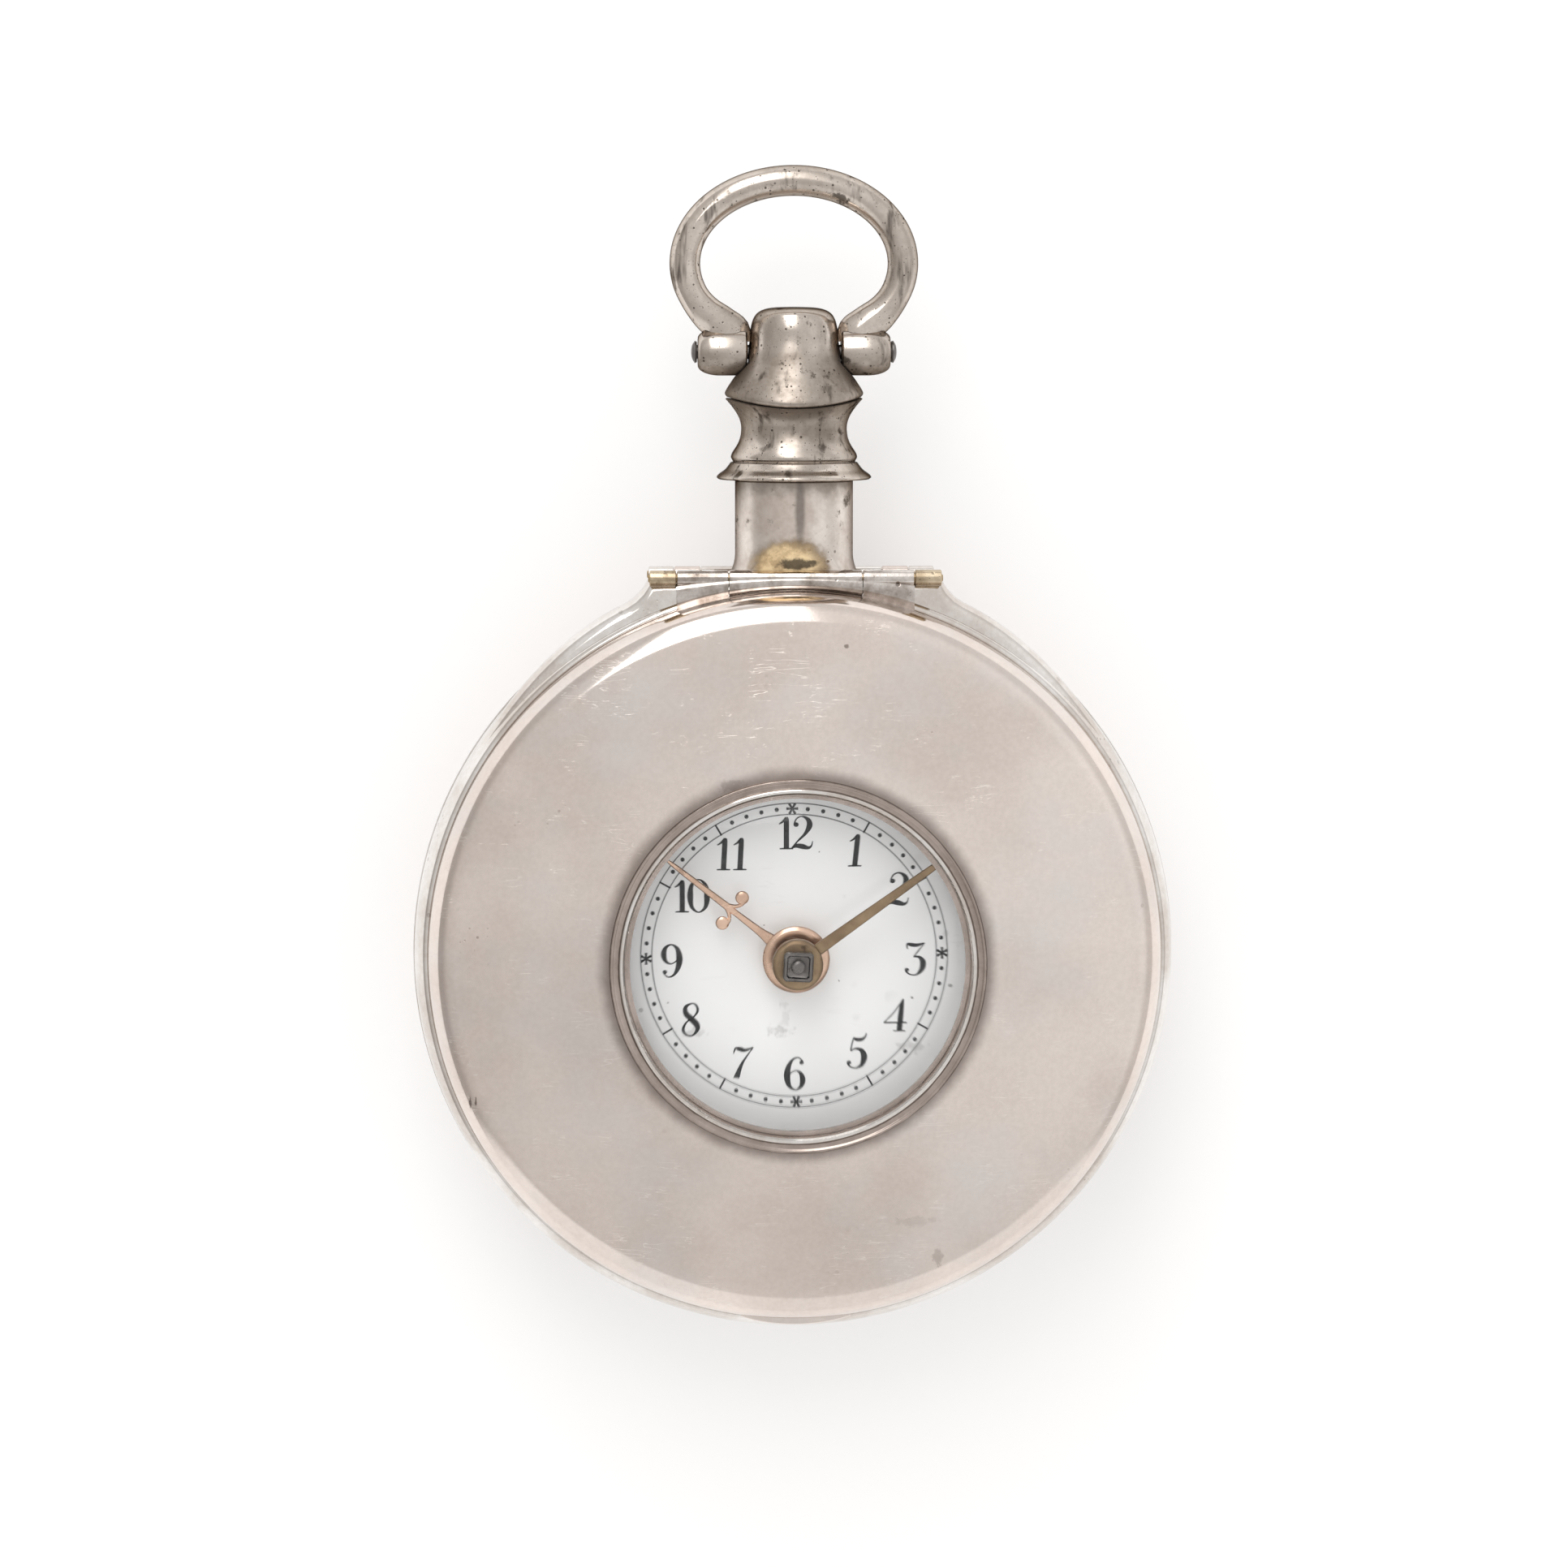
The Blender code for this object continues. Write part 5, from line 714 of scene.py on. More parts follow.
class Effects:
    """Surface effects that several finishes use, each a node group that is built once."""

    @staticmethod
    @cache
    def mottle() -> NodeTree:
        """Build soft clouds, fine grain and a few dark stains, on object coordinates.

        Returns:
            The group.
        """
        inputs = {"Cloud Scale": 90.0, "Grain Scale": 2500.0, "Stain Scale": 260.0, "Stain Share": 0.3}
        w, given, out = new_group("Mottle", inputs, ("Cloud", "Grain", "Stain"))
        place = w.place()
        w.put(out["Cloud"], w.span(w.noise(place, given["Cloud Scale"], 4.0, 0.55), 0.34, 0.66))
        w.put(out["Grain"], w.span(w.noise(place, given["Grain Scale"], 3.0, 0.6), 0.3, 0.7))
        edge = w.less(0.78, w.times(given["Stain Share"], 0.4))
        spot = w.less(w.noise(place, given["Stain Scale"], 6.0, 0.65), edge)
        w.put(out["Stain"], w.span(spot, -0.02, 0.07))
        return w.tree

    @staticmethod
    @cache
    def scratches() -> NodeTree:
        """Build fine hairline scratches in four directions, as a mask of broken lines.

        Returns:
            The group.
        """
        w, given, out = new_group("Hairline scratches", {"Scale": 1.0, "Amount": 0.5}, ("Mask",))
        place = w.place()
        total: Value = 0.0
        for i, (turn, scale) in enumerate(((0.3, 130.0), (1.25, 190.0), (2.2, 160.0), (2.85, 240.0))):
            lines = w.stretched(place, (0.0, 0.0, turn), (1.0, 9.0 + i, 1.0))
            field = w.noise(lines, w.times(given["Scale"], scale), 2.0, 0.4)
            line = w.span(w.maths("ABSOLUTE", w.less(field, 0.5)), 0.0015, 0.006, 1.0, 0.0)
            gate = w.noise(place, scale * 1.7 + 40 * i, 2.0, 0.5)
            shown = w.span(w.plus(gate, given["Amount"]), 1.03, 1.12)
            total = w.plus(total, w.times(line, shown), clamp=True)
        w.put(out["Mask"], total)
        return w.tree

    @staticmethod
    @cache
    def pits() -> NodeTree:
        """Build dark pits of two sizes, gathered in places, as a mask.

        Returns:
            The group.
        """
        w, given, out = new_group("Pits", {"Scale": 1400.0, "Amount": 0.5}, ("Mask",))
        place = w.place()
        total: Value = 0.0
        for share in (1.0, 0.45):
            scale = w.maths("DIVIDE", given["Scale"], share)
            cells = w.add("ShaderNodeTexVoronoi", {"Vector": place, "Scale": scale}).outputs
            pick = w.add("ShaderNodeSeparateColor", {0: cells["Color"]}).outputs[0]
            dot = w.span(w.less(w.span(pick, 0.55, 1.0, 0.0, 0.3), cells["Distance"]), 0.0, 0.08)
            total = w.plus(total, dot, clamp=True)
        where = w.plus(w.noise(place, 160.0, 2.0, 0.5), given["Amount"])
        w.put(out["Mask"], w.times(total, w.span(where, 0.9, 1.15)))
        return w.tree

    @staticmethod
    @cache
    def turning() -> NodeTree:
        """Build fine lines left by turning about the watch's own axis, as a value around a half.

        Returns:
            The group.
        """
        w, given, out = new_group("Turning lines", {"Scale": 5000.0}, ("Line",))
        across, along, level = w.split(w.place())
        far = w.plus(w.length(across, along), w.times(level, 0.6))
        line = w.add("ShaderNodeCombineXYZ", {0: far}).outputs[0]
        w.put(out["Line"], w.noise(line, given["Scale"], 2.0, 0.6))
        return w.tree


@dataclass(frozen=True)
class Metal:
    """A metal finish with tarnish, stains, pits, hairlines and turning lines."""

    name: str
    bright: Colour
    dull: Colour
    stain: Colour
    smooth: float = 0.2
    rough: float = 0.35
    cloud_scale: float = 90.0
    stain_scale: float = 260.0
    stain_share: float = 0.3
    hairlines: float = 0.5
    hairline_scale: float = 1.0
    pits: float = 0.3
    pit_scale: float = 1400.0
    turned: float = 0.0
    streaks: float = 0.0
    grain_height: float = 0.12
    edge: Colour = (1.0, 1.0, 1.0)

    def build(self) -> Material:
        """Build the material.

        Returns:
            The material, with its Principled shader in its own tree.
        """
        finish, w, shader = new_finish(self.name)
        mottle = w.effect(
            Effects.mottle(),
            cloud_scale=self.cloud_scale,
            stain_scale=self.stain_scale,
            stain_share=self.stain_share,
        )
        hair = w.effect(Effects.scratches(), scale=self.hairline_scale, amount=self.hairlines)["Mask"]
        pits = w.effect(Effects.pits(), scale=self.pit_scale, amount=self.pits)["Mask"]
        stain = mottle["Stain"]
        dulled = self.tarnished(w, w.plus(w.times(mottle["Cloud"], 0.75), w.times(mottle["Grain"], 0.25)))
        colour = w.mix(dulled, self.bright, self.dull)
        height = w.less(w.times(mottle["Grain"], self.grain_height), w.times(hair, 0.25))
        height = w.less(height, pits)
        if self.turned:
            line = w.effect(Effects.turning())["Line"]
            colour = w.mix(w.times(w.span(line, 0.4, 0.7), self.turned), colour, self.stain)
            height = w.plus(height, w.times(line, self.turned * 2.0))
        if self.streaks:
            drawn = w.stretched(w.place(), (0.0, 0.0, 0.0), (1.0, 0.16, 1.0))
            streak = w.span(w.noise(drawn, 900.0, 3.0, 0.6), 0.56, 0.72)
            colour = w.mix(w.times(streak, self.streaks), colour, self.stain)
        colour = w.mix(w.times(stain, 0.8), colour, self.stain)
        colour = w.mix(w.times(pits, 0.85), colour, self.stain)
        shiny = tuple(min(1.0, part * 1.25) for part in self.bright)
        colour = w.mix(w.times(hair, 0.35), colour, shiny)
        w.put(shader["Base Color"], self.details(w, colour))
        rough = w.span(dulled, 0.0, 1.0, self.smooth, self.rough, blend=Blend.LINEAR)
        rough = w.plus(rough, w.times(stain, 0.15))
        w.put(shader["Roughness"], w.plus(rough, w.times(hair, 0.12), clamp=True))
        shader["Metallic"].default_value = 1.0
        shader["Specular Tint"].default_value = (*self.edge, 1.0)
        bump = w.add("ShaderNodeBump", {"Strength": 0.6, "Distance": 0.02 * MM, "Height": height})
        w.put(shader["Normal"], bump.outputs[0])
        return finish

    def details(self, w: Wiring, colour: Socket) -> Socket:
        """Add what only this finish has to its colour; a plain metal adds nothing."""
        return colour

    def tarnished(self, w: Wiring, dulled: Socket) -> Socket:
        """Change where the metal is dull; a plain metal is dull in clouds alone."""
        return dulled


@dataclass(frozen=True)
class CoverSilver(Metal):
    """The front cover's silver, with painted shade around the raised ring and a few marks of its own."""

    ring_r: float = 13.2
    dirt_and_shade: Colour = (0.17, 0.13, 0.11)
    cool: Colour = (0.73, 0.715, 0.70)
    marks: tuple[Mark, ...] = (
        (9.9, -20.9, 0.35, 0.8, 0.3),
        (8.3, -18.3, 1.3, 0.4, 0.14),
        (-22.9, -9.7, 0.1, 0.55, 0.8),
        (-22.5, -9.75, 0.08, 0.4, 0.8),
        (-4.6, 12.6, 0.9, 0.5, 0.3),
        (3.4, 22.2, 0.16, 0.14, 0.7),
        (-10.5, -0.4, 1.4, 1.1, 0.22),
        (12.0, -3.0, 0.5, 2.2, 0.18),
    )

    def details(self, w: Wiring, colour: Socket) -> Socket:
        """Add cool clouds, painted shade around the raised ring and the marks.

        Args:
            w: The material's wiring.
            colour: The colour so far.

        Returns:
            The colour with them.
        """
        place, across, along, _ = w.plan()
        cloud = w.span(w.noise(place, 120.0, 5.0, 0.6), 0.42, 0.68)
        colour = w.mix(w.times(cloud, 0.4), colour, self.cool)
        loose = w.plus(w.length(across, along), w.times(w.noise(place, 600.0, 4.0, 0.6), 0.5))
        # painted shade: the cover darkens towards the raised ring, in the same dark colour as its marks
        ring_shade = w.span(loose, self.ring_r + 0.1, self.ring_r + 1.3, 0.75, 0.0)
        return w.marked(w.mix(ring_shade, colour, self.dirt_and_shade), self.marks, self.dirt_and_shade, 3.2)


@dataclass(frozen=True)
class PendantSilver(Metal):
    """The pendant's silver: bright on the head's crown, the bow and the low bead, dull between them."""

    crown: Point = (41.7, 43.1)
    bead: Point = (35.7, 36.7)

    def tarnished(self, w: Wiring, dulled: Socket) -> Socket:
        """Dull the bell and the waist, and keep bright what hands and cloth rub.

        Args:
            w: The material's wiring.
            dulled: Where a plain metal is dull.

        Returns:
            Where this one is.
        """
        place, _, along, _ = w.plan()
        loose = w.plus(along, w.wander(place, 420.0, 1.6))
        between = w.times(w.span(loose, *self.crown, 1.0, 0.0), w.span(loose, *self.bead))
        return w.plus(w.times(dulled, 0.6), w.times(between, 0.5), clamp=True)


@dataclass(frozen=True)
class RingSilver(Metal):
    """The raised ring's worn silver, with painted shade along its outer edge and inside its channel."""

    shaded_circles: tuple[Point, ...] = ((13.17, 0.16), (12.47, 0.1))
    dirt_and_shade: Colour = (0.10, 0.075, 0.06)

    def details(self, w: Wiring, colour: Socket) -> Socket:
        """Darken two circles with painted shade, in the groove at the outer edge and in the crease at the channel's
        inner edge.

        Args:
            w: The material's wiring.
            colour: The colour so far.

        Returns:
            The colour with them.
        """
        place, across, along, _ = w.plan()
        loose = w.plus(w.length(across, along), w.wander(place, 900.0, 0.16))
        # painted shade in the outer groove and in the channel's inner crease
        for radius, reach in self.shaded_circles:
            off = w.maths("ABSOLUTE", w.less(loose, radius))
            colour = w.mix(w.span(off, reach * 0.3, reach, 0.85, 0.0), colour, self.dirt_and_shade)
        return colour


@dataclass(frozen=True)
class BareBrass(Metal):
    """Silver that is rubbed through to brass in a dome-shaped patch at the neck's foot."""

    brass: Colour = (0.95, 0.72, 0.41)
    worn: Colour = (0.52, 0.36, 0.18)
    rim: Colour = (0.22, 0.15, 0.085)
    hollow: Colour = (0.035, 0.03, 0.024)
    dark_reflection: Colour = (0.07, 0.06, 0.055)
    centre: Point = (-0.35, 27.4)
    reach: Point = (2.75, 2.2)
    reflection_at: Point = (0.25, 31.6)

    def details(self, w: Wiring, colour: Socket) -> Socket:
        """Show painted shade under the flange, tarnish at the top of the left edge, brass in the patch, a dark spot
        under it and a painted dark reflection above it.

        Args:
            w: The material's wiring.
            colour: The colour so far.

        Returns:
            The colour with them.
        """
        place, across, along, level = w.plan()
        ragged = w.wander(place, 1300.0, 1.0)
        front = w.times(w.span(level, MID_Z + 2.0, MID_Z + 2.4), w.span(along, 27.0, 27.08))

        def patch(centre: Point, reach: Point, soft: float, tear: float = 0.35) -> Socket:
            """Draw a soft oval on the neck's front, torn a little at its edge.

            Args:
                centre: Its middle.
                reach: Its half width and half height.
                soft: How soft its edge is.
                tear: How ragged its edge is.

            Returns:
                The oval as a mask.
            """
            dx = w.maths("DIVIDE", w.less(across, centre[0]), reach[0])
            dy = w.maths("DIVIDE", w.less(along, centre[1]), reach[1])
            far = w.plus(w.length(dx, dy), w.times(ragged, tear))
            return w.times(w.span(far, 1.0 - soft, 1.0 + soft, 1.0, 0.0), front)

        ragged_along = w.plus(along, w.times(ragged, 1.4))
        # painted shade under the collar's flange: the neck darkens towards its top, in the stain colour
        colour = w.mix(w.span(ragged_along, 32.2, 33.5, 0.0, 0.6), colour, self.stain)
        left = w.times(w.span(w.plus(across, ragged), -3.9, -3.1, 0.5, 0.0), w.span(ragged_along, 30.4, 33.0))
        colour = w.mix(left, colour, self.stain)
        tinted = w.mix(w.span(w.noise(place, 620.0, 5.0, 0.65), 0.42, 0.64), self.brass, self.worn)
        inside = (self.centre[0] - 0.25, self.centre[1] + 0.1)
        middle = patch(inside, (self.reach[0] * 0.82, self.reach[1] * 0.76), 0.3)
        tinted = w.mix(middle, self.rim, tinted)
        colour = w.mix(w.times(patch(self.centre, self.reach, 0.16), 0.9), colour, tinted)
        colour = w.mix(w.times(patch((0.1, 27.75), (1.2, 0.42), 0.3, 2.2), 0.85), colour, self.hollow)
        # painted reflection: a narrow dark streak along the neck, a little right of its middle
        return w.mix(w.times(patch(self.reflection_at, (0.33, 2.2), 0.5), 0.6), colour, self.dark_reflection)


@dataclass(frozen=True)
class Enamel:
    """White fired enamel, with faint clouds, specks and scuffs."""

    name: str = "white_enamel"
    white: Colour = (0.97, 0.965, 0.96)
    shade: Colour = (0.92, 0.92, 0.915)
    speck: Colour = (0.20, 0.19, 0.18)
    scuffed: Colour = (0.55, 0.53, 0.50)
    smeared: Colour = (0.5, 0.49, 0.47)
    specks: tuple[Mark, ...] = (
        (1.7, 7.4, 0.06, 0.05, 1.0),
        (3.1, -1.8, 0.06, 0.06, 1.0),
        (11.0, -2.2, 0.16, 0.13, 0.7),
        (8.3, -3.05, 0.1, 0.1, 1.0),
        (-9.0, -3.3, 0.08, 0.08, 0.8),
        (-2.2, 2.2, 0.06, 0.05, 0.8),
    )
    smears: tuple[Mark, ...] = (
        (-1.1, -5.4, 0.8, 0.36, 0.5),
        (-0.75, -4.4, 0.34, 0.95, 0.24),
        (-7.3, -5.5, 1.0, 0.26, 0.45),
        (8.5, -6.5, 0.9, 0.4, 0.4),
    )

    def build(self) -> Material:
        """Build the material.

        Returns:
            The material.
        """
        finish, w, shader = new_finish(self.name)
        scales = dict(cloud_scale=140.0, grain_scale=1800.0, stain_scale=420.0, stain_share=0.12)
        mottle = w.effect(Effects.mottle(), **scales)
        pits = w.effect(Effects.pits(), scale=420.0, amount=0.36)["Mask"]
        hair = w.effect(Effects.scratches(), amount=0.42)["Mask"]
        colour = w.mix(w.times(mottle["Cloud"], 0.3), self.white, self.shade)
        scuff = w.plus(mottle["Stain"], w.times(hair, 0.6), clamp=True)
        colour = w.mix(w.times(scuff, 0.3), colour, self.scuffed)
        colour = w.mix(w.times(pits, 0.7), colour, self.speck)
        colour = w.marked(colour, self.specks, self.speck, 0.6)
        w.put(shader["Base Color"], w.marked(colour, self.smears, self.smeared, 5.0))
        w.put(shader["Roughness"], w.span(scuff, 0.0, 1.0, 0.12, 0.4, blend=Blend.LINEAR))
        shader["Coat Weight"].default_value = 0.3
        shader["Coat Roughness"].default_value = 0.05
        bump = w.add("ShaderNodeBump", {"Strength": 0.25, "Distance": 0.03 * MM, "Height": mottle["Cloud"]})
        w.put(shader["Normal"], bump.outputs[0])
        return finish


@dataclass(frozen=True)
class Ink:
    """Black enamel paint, worn a little grey."""

    name: str = "dial_ink"
    black: Colour = (0.006, 0.006, 0.007)
    grey: Colour = (0.035, 0.035, 0.037)

    def build(self) -> Material:
        """Build the material.

        Returns:
            The material.
        """
        finish, w, shader = new_finish(self.name)
        worn = w.span(w.noise(w.place(), 1500.0, 4.0, 0.6), 0.45, 0.75)
        w.put(shader["Base Color"], w.mix(worn, self.black, self.grey))
        w.put(shader["Roughness"], w.span(worn, 0.0, 1.0, 0.3, 0.5))
        return finish


@dataclass(frozen=True)
class ClearGlass:
    """Thin clear glass with the faintest smears; a clear coat gives it its gloss."""

    name: str = "watch_glass"
    tint: Colour = (0.97, 0.98, 0.98)

    def build(self) -> Material:
        """Build the material.

        Returns:
            The material.
        """
        finish, w, shader = new_finish(self.name)
        plain = {"Base Color": self.tint, "Transmission Weight": 1.0, "IOR": 1.04, "Alpha": 0.28}
        coat = {"Coat Weight": 1.0, "Coat IOR": 1.5, "Coat Roughness": 0.02}
        for name, value in (plain | coat).items():
            w.put(shader[name], value)
        w.put(shader["Roughness"], w.span(w.noise(w.place(), 260.0, 4.0, 0.6), 0.5, 0.8, 0.0, 0.03))
        return finish


class Finishes:
    """Every finish of the watch, built once."""

    def __init__(self) -> None:
        """Build them all, each from its bright, its dull and its stained tone."""
        silver = ((0.86, 0.77, 0.71), (0.69, 0.60, 0.545), (0.36, 0.29, 0.25))
        bright = ((0.86, 0.83, 0.80), (0.62, 0.56, 0.51), (0.16, 0.12, 0.10))
        worn = ((0.70, 0.625, 0.56), (0.29, 0.245, 0.205), (0.05, 0.04, 0.03))
        fair = ((0.86, 0.79, 0.73), (0.58, 0.50, 0.44), (0.10, 0.08, 0.06))
        aged = ((0.52, 0.44, 0.395), (0.36, 0.30, 0.265), (0.14, 0.11, 0.095))
        painted_wavy_reflection = ((0.74, 0.69, 0.65), (0.27, 0.225, 0.19), (0.12, 0.09, 0.07))
        gilt = ((0.83, 0.62, 0.30), (0.70, 0.50, 0.22), (0.30, 0.20, 0.10))
        turned = ((0.83, 0.62, 0.30), (0.55, 0.38, 0.15), (0.30, 0.20, 0.10))
        old = ((0.50, 0.36, 0.18), (0.36, 0.25, 0.12), (0.10, 0.07, 0.045))
        pale = ((0.66, 0.55, 0.40), (0.34, 0.26, 0.17), (0.10, 0.07, 0.045))
        brown = ((0.36, 0.255, 0.155), (0.22, 0.15, 0.09), (0.06, 0.04, 0.025))
        rose = ((0.78, 0.545, 0.41), (0.58, 0.39, 0.285), (0.22, 0.13, 0.09))
        steel = ((0.20, 0.185, 0.175), (0.12, 0.11, 0.105), (0.05, 0.035, 0.03))
        grey = ((0.46, 0.45, 0.44), (0.34, 0.33, 0.32), (0.12, 0.10, 0.09))
        blue = ((0.05, 0.09, 0.30), (0.06, 0.06, 0.18), (0.10, 0.05, 0.12))
        calm = dict(hairlines=0.34, hairline_scale=1.6, grain_height=0.05)
        fine = dict(stain_scale=700.0, pits=0.4, pit_scale=2600.0)
        self.cover = CoverSilver(
            "cover_silver", *silver, **(calm | dict(hairlines=0.43)), smooth=0.07, rough=0.14,
            cloud_scale=70.0, stain_share=0.1, pits=0.3,
        ).build()
        self.band = Metal(
            "band_silver", *bright, **calm, smooth=0.08, rough=0.18,
            cloud_scale=180.0, stain_share=0.28, pits=0.36,
        ).build()
        self.ring = RingSilver(
            "ring_silver", *aged, **calm, smooth=0.14, rough=0.24,
            cloud_scale=260.0, stain_share=0.22, pits=0.34, turned=0.3,
        ).build()
        # painted reflection: dark wavy clouds in the colour stand for reflections of the neck and hinge on the rib and
        # leaves
        self.painted_wavy_reflection = Metal(
            "hinge_silver", *painted_wavy_reflection, **calm, smooth=0.1, rough=0.2,
            cloud_scale=420.0, stain_scale=700.0, stain_share=0.35, pits=0.36,
        ).build()
        self.back = Metal(
            "back_silver", *silver, smooth=0.12, rough=0.24,
            cloud_scale=60.0, stain_share=0.22, hairline_scale=1.4, pits=0.34,
        ).build()
        self.polished = PendantSilver(
            "pendant_silver", *worn, **calm, smooth=0.08, rough=0.5, edge=(0.06, 0.047, 0.038), streaks=0.8,
            cloud_scale=240.0, stain_scale=520.0, stain_share=0.36, pits=0.72, pit_scale=3000.0,
        ).build()
        self.neck = BareBrass(
            "neck_silver", *fair, **calm, smooth=0.26, rough=0.42, edge=(0.1, 0.082, 0.07),
            cloud_scale=260.0, stain_scale=480.0, stain_share=0.4, pits=0.42, pit_scale=2200.0,
        ).build()
        self.gilt = Metal(
            "gilt_brass", *gilt, smooth=0.25, rough=0.38, stain_share=0.2, hairlines=0.4, pits=0.2, grain_height=0.5
        ).build()
        self.dome = Metal(
            "gilt_dome", *gilt, smooth=0.14, rough=0.28, stain_share=0.25, hairlines=0.55, turned=0.15
        ).build()
        self.brass = Metal("turned_brass", *turned, smooth=0.22, rough=0.36, hairlines=0.4, pits=0.2).build()
        self.hand_brass = Metal(
            "hand_brass", *brown, **fine, smooth=0.3, rough=0.45, cloud_scale=400.0, stain_share=0.4
        ).build()
        self.pale_brass = Metal(
            "pale_brass", *pale, **fine, smooth=0.16, rough=0.32, cloud_scale=500.0, stain_share=0.4
        ).build()
        self.old_brass = Metal(
            "old_brass", *old, **(fine | dict(pits=0.45)), smooth=0.28, rough=0.45, cloud_scale=400.0, stain_share=0.45
        ).build()
        self.rose = Metal(
            "rose_gilt", *rose, smooth=0.2, rough=0.34, cloud_scale=300.0, pits=0.4, pit_scale=2600.0
        ).build()
        self.steel = Metal(
            "dark_steel", *steel, smooth=0.22, rough=0.42,
            cloud_scale=500.0, stain_scale=900.0, stain_share=0.4, pits=0.45, pit_scale=3000.0,
        ).build()
        self.bright_steel = Metal("bright_steel", *grey, smooth=0.15, rough=0.3, pits=0.25).build()
        self.blued = Metal("blued_steel_finish", *blue, smooth=0.16, rough=0.3, pits=0.2).build()
        self.enamel = Enamel().build()
        self.ink = Ink().build()
        self.glass = ClearGlass().build()


# Repeats, made with Geometry Nodes


class Repeater:
    """Sets copies of a small form with Geometry Nodes; each kind of repeat names its inputs and what they take."""

    inputs: dict[str, str] = {}

    def __init__(self, name: str) -> None:
        """Build the tree: what every repeat here has, around what its own kind sets out.

        Args:
            name: The tree's name.
        """
        self.tree = bpy.data.node_groups.new(name, "GeometryNodeTree")
        for way in ("INPUT", "OUTPUT"):
            self.tree.interface.new_socket(name="Geometry", in_out=way, socket_type="NodeSocketGeometry")
        self.sockets: dict[str, str] = {}
        for label, kind in (self.inputs | {"Copy": "Object", "Finish": "Material"}).items():
            socket = self.tree.interface.new_socket(name=label, in_out="INPUT", socket_type=f"NodeSocket{kind}")
            self.sockets[label] = socket.identifier
        w = Wiring(self.tree)
        given = w.add("NodeGroupInput").outputs
        points, facing, whole = self.set_out(w, given)
        copy = w.add("GeometryNodeObjectInfo", {"Object": given["Copy"]}).outputs["Geometry"]
        inputs = {"Points": points, "Instance": copy, "Rotation": facing}
        placed = w.add("GeometryNodeInstanceOnPoints", inputs).outputs[0]
        real = w.add("GeometryNodeRealizeInstances", {0: placed}).outputs[0]
        if whole is not None:
            real = w.add("GeometryNodeTransform", {"Geometry": real, "Rotation": whole}).outputs[0]
        final = w.add("GeometryNodeSetMaterial", {"Geometry": real, "Material": given["Finish"]})
        w.put(w.add("NodeGroupOutput").inputs[0], final.outputs[0])

    def set_out(self, w: Wiring, given: Sockets) -> tuple[Socket, Socket, Optional[Socket]]:
        """Wire the points, the copies' turn on them and a turn of the whole, if there is one."""
        raise NotImplementedError

    def run(self, name: str, base: Mesh, values: dict[str, object]) -> Object:
        """Run the tree on a base mesh and turn the result into a plain piece.

        Args:
            name: The new piece's name.
            base: The mesh that the tree works from.
            values: A value for each named input.

        Returns:
            The plain piece.
        """
        holder = bpy.data.objects.new(name, base)
        bpy.context.scene.collection.objects.link(holder)
        modifier = holder.modifiers.new("repeat", "NODES")
        modifier.node_group = self.tree
        for label, value in values.items():
            modifier[self.sockets[label]] = value
        holder.update_tag()
        data = settled(holder)
        data.name = name
        bpy.data.objects.remove(holder)
        return as_piece(name, data, 30.0)


class AroundCircle(Repeater):
    """Copies around a circle, each turned to face outwards."""

    inputs = {"Count": "Int", "Leave Out Every": "Int", "Radius": "Float", "Turn": "Float"}

    def set_out(self, w: Wiring, given: Sockets) -> tuple[Socket, Socket, Optional[Socket]]:
        """Wire a circle of points, some left out.

        Args:
            w: The tree's wiring.
            given: The tree's inputs.

        Returns:
            The points, the copies' turn on them and the turn of the whole.
        """
        ring = w.add("GeometryNodeMeshCircle", {"Vertices": given["Count"], "Radius": given["Radius"]}).outputs[0]
        index = w.add("GeometryNodeInputIndex").outputs[0]
        rest = w.maths("MODULO", index, given["Leave Out Every"])
        rest = w.plus(rest, w.maths("LESS_THAN", given["Leave Out Every"], 1.5))
        unwanted = w.add("FunctionNodeCompare", {0: rest, 1: 0.5}, data_type="FLOAT", operation="LESS_THAN")
        chosen = {"Geometry": ring, "Selection": unwanted.outputs[0]}
        kept = w.add("GeometryNodeDeleteGeometry", chosen, domain="POINT").outputs[0]
        across, along, _ = w.split(w.add("GeometryNodeInputPosition").outputs[0])
        turns = []
        for angle in (w.maths("ARCTAN2", along, across), given["Turn"]):
            euler = w.add("ShaderNodeCombineXYZ", {2: angle}).outputs[0]
            turns.append(w.add("FunctionNodeEulerToRotation", {0: euler}).outputs[0])
        return kept, turns[0], turns[1]


class AlongLine(Repeater):
    """Copies along a line, each turned to follow it."""

    inputs = {"Spacing": "Float"}

    def set_out(self, w: Wiring, given: Sockets) -> tuple[Socket, Socket, Optional[Socket]]:
        """Wire points along a curve.

        Args:
            w: The tree's wiring.
            given: The tree's inputs.

        Returns:
            The points and the copies' turn on them; the whole isn't turned.
        """
        curve = w.add("GeometryNodeMeshToCurve", {"Mesh": given["Geometry"]}).outputs[0]
        spaced = {"Curve": curve, "Length": given["Spacing"]}
        points = w.add("GeometryNodeCurveToPoints", spaced, mode="LENGTH").outputs
        way = {"Vector": points["Tangent"]}
        facing = w.add("FunctionNodeAlignRotationToVector", way, axis="X", pivot_axis="Z").outputs[0]
        return points["Points"], facing, None


# The case


def back_point(share: float, inset: float = 0.0) -> Point:
    """A point of the rounded back, from the widest circle (0) to the flat (1), set in by a wall."""
    angle = share * pi / 2
    reach = BAND_R - BACK_FLAT_R - inset
    return (BACK_FLAT_R + reach * cos(angle), MID_Z - (MID_Z - inset) * sin(angle))


def back_share(drop: float, inset: float = 0.0) -> float:
    """The share along the rounded back at which it has dropped by a height."""
    return asin(drop / (MID_Z - inset)) / (pi / 2)


def back_curve(first: float, last: float, inset: float, steps: int) -> list[Point]:
    """Points of the rounded back between two shares."""
    return [back_point(share, inset) for share in stations(first, last, steps)]


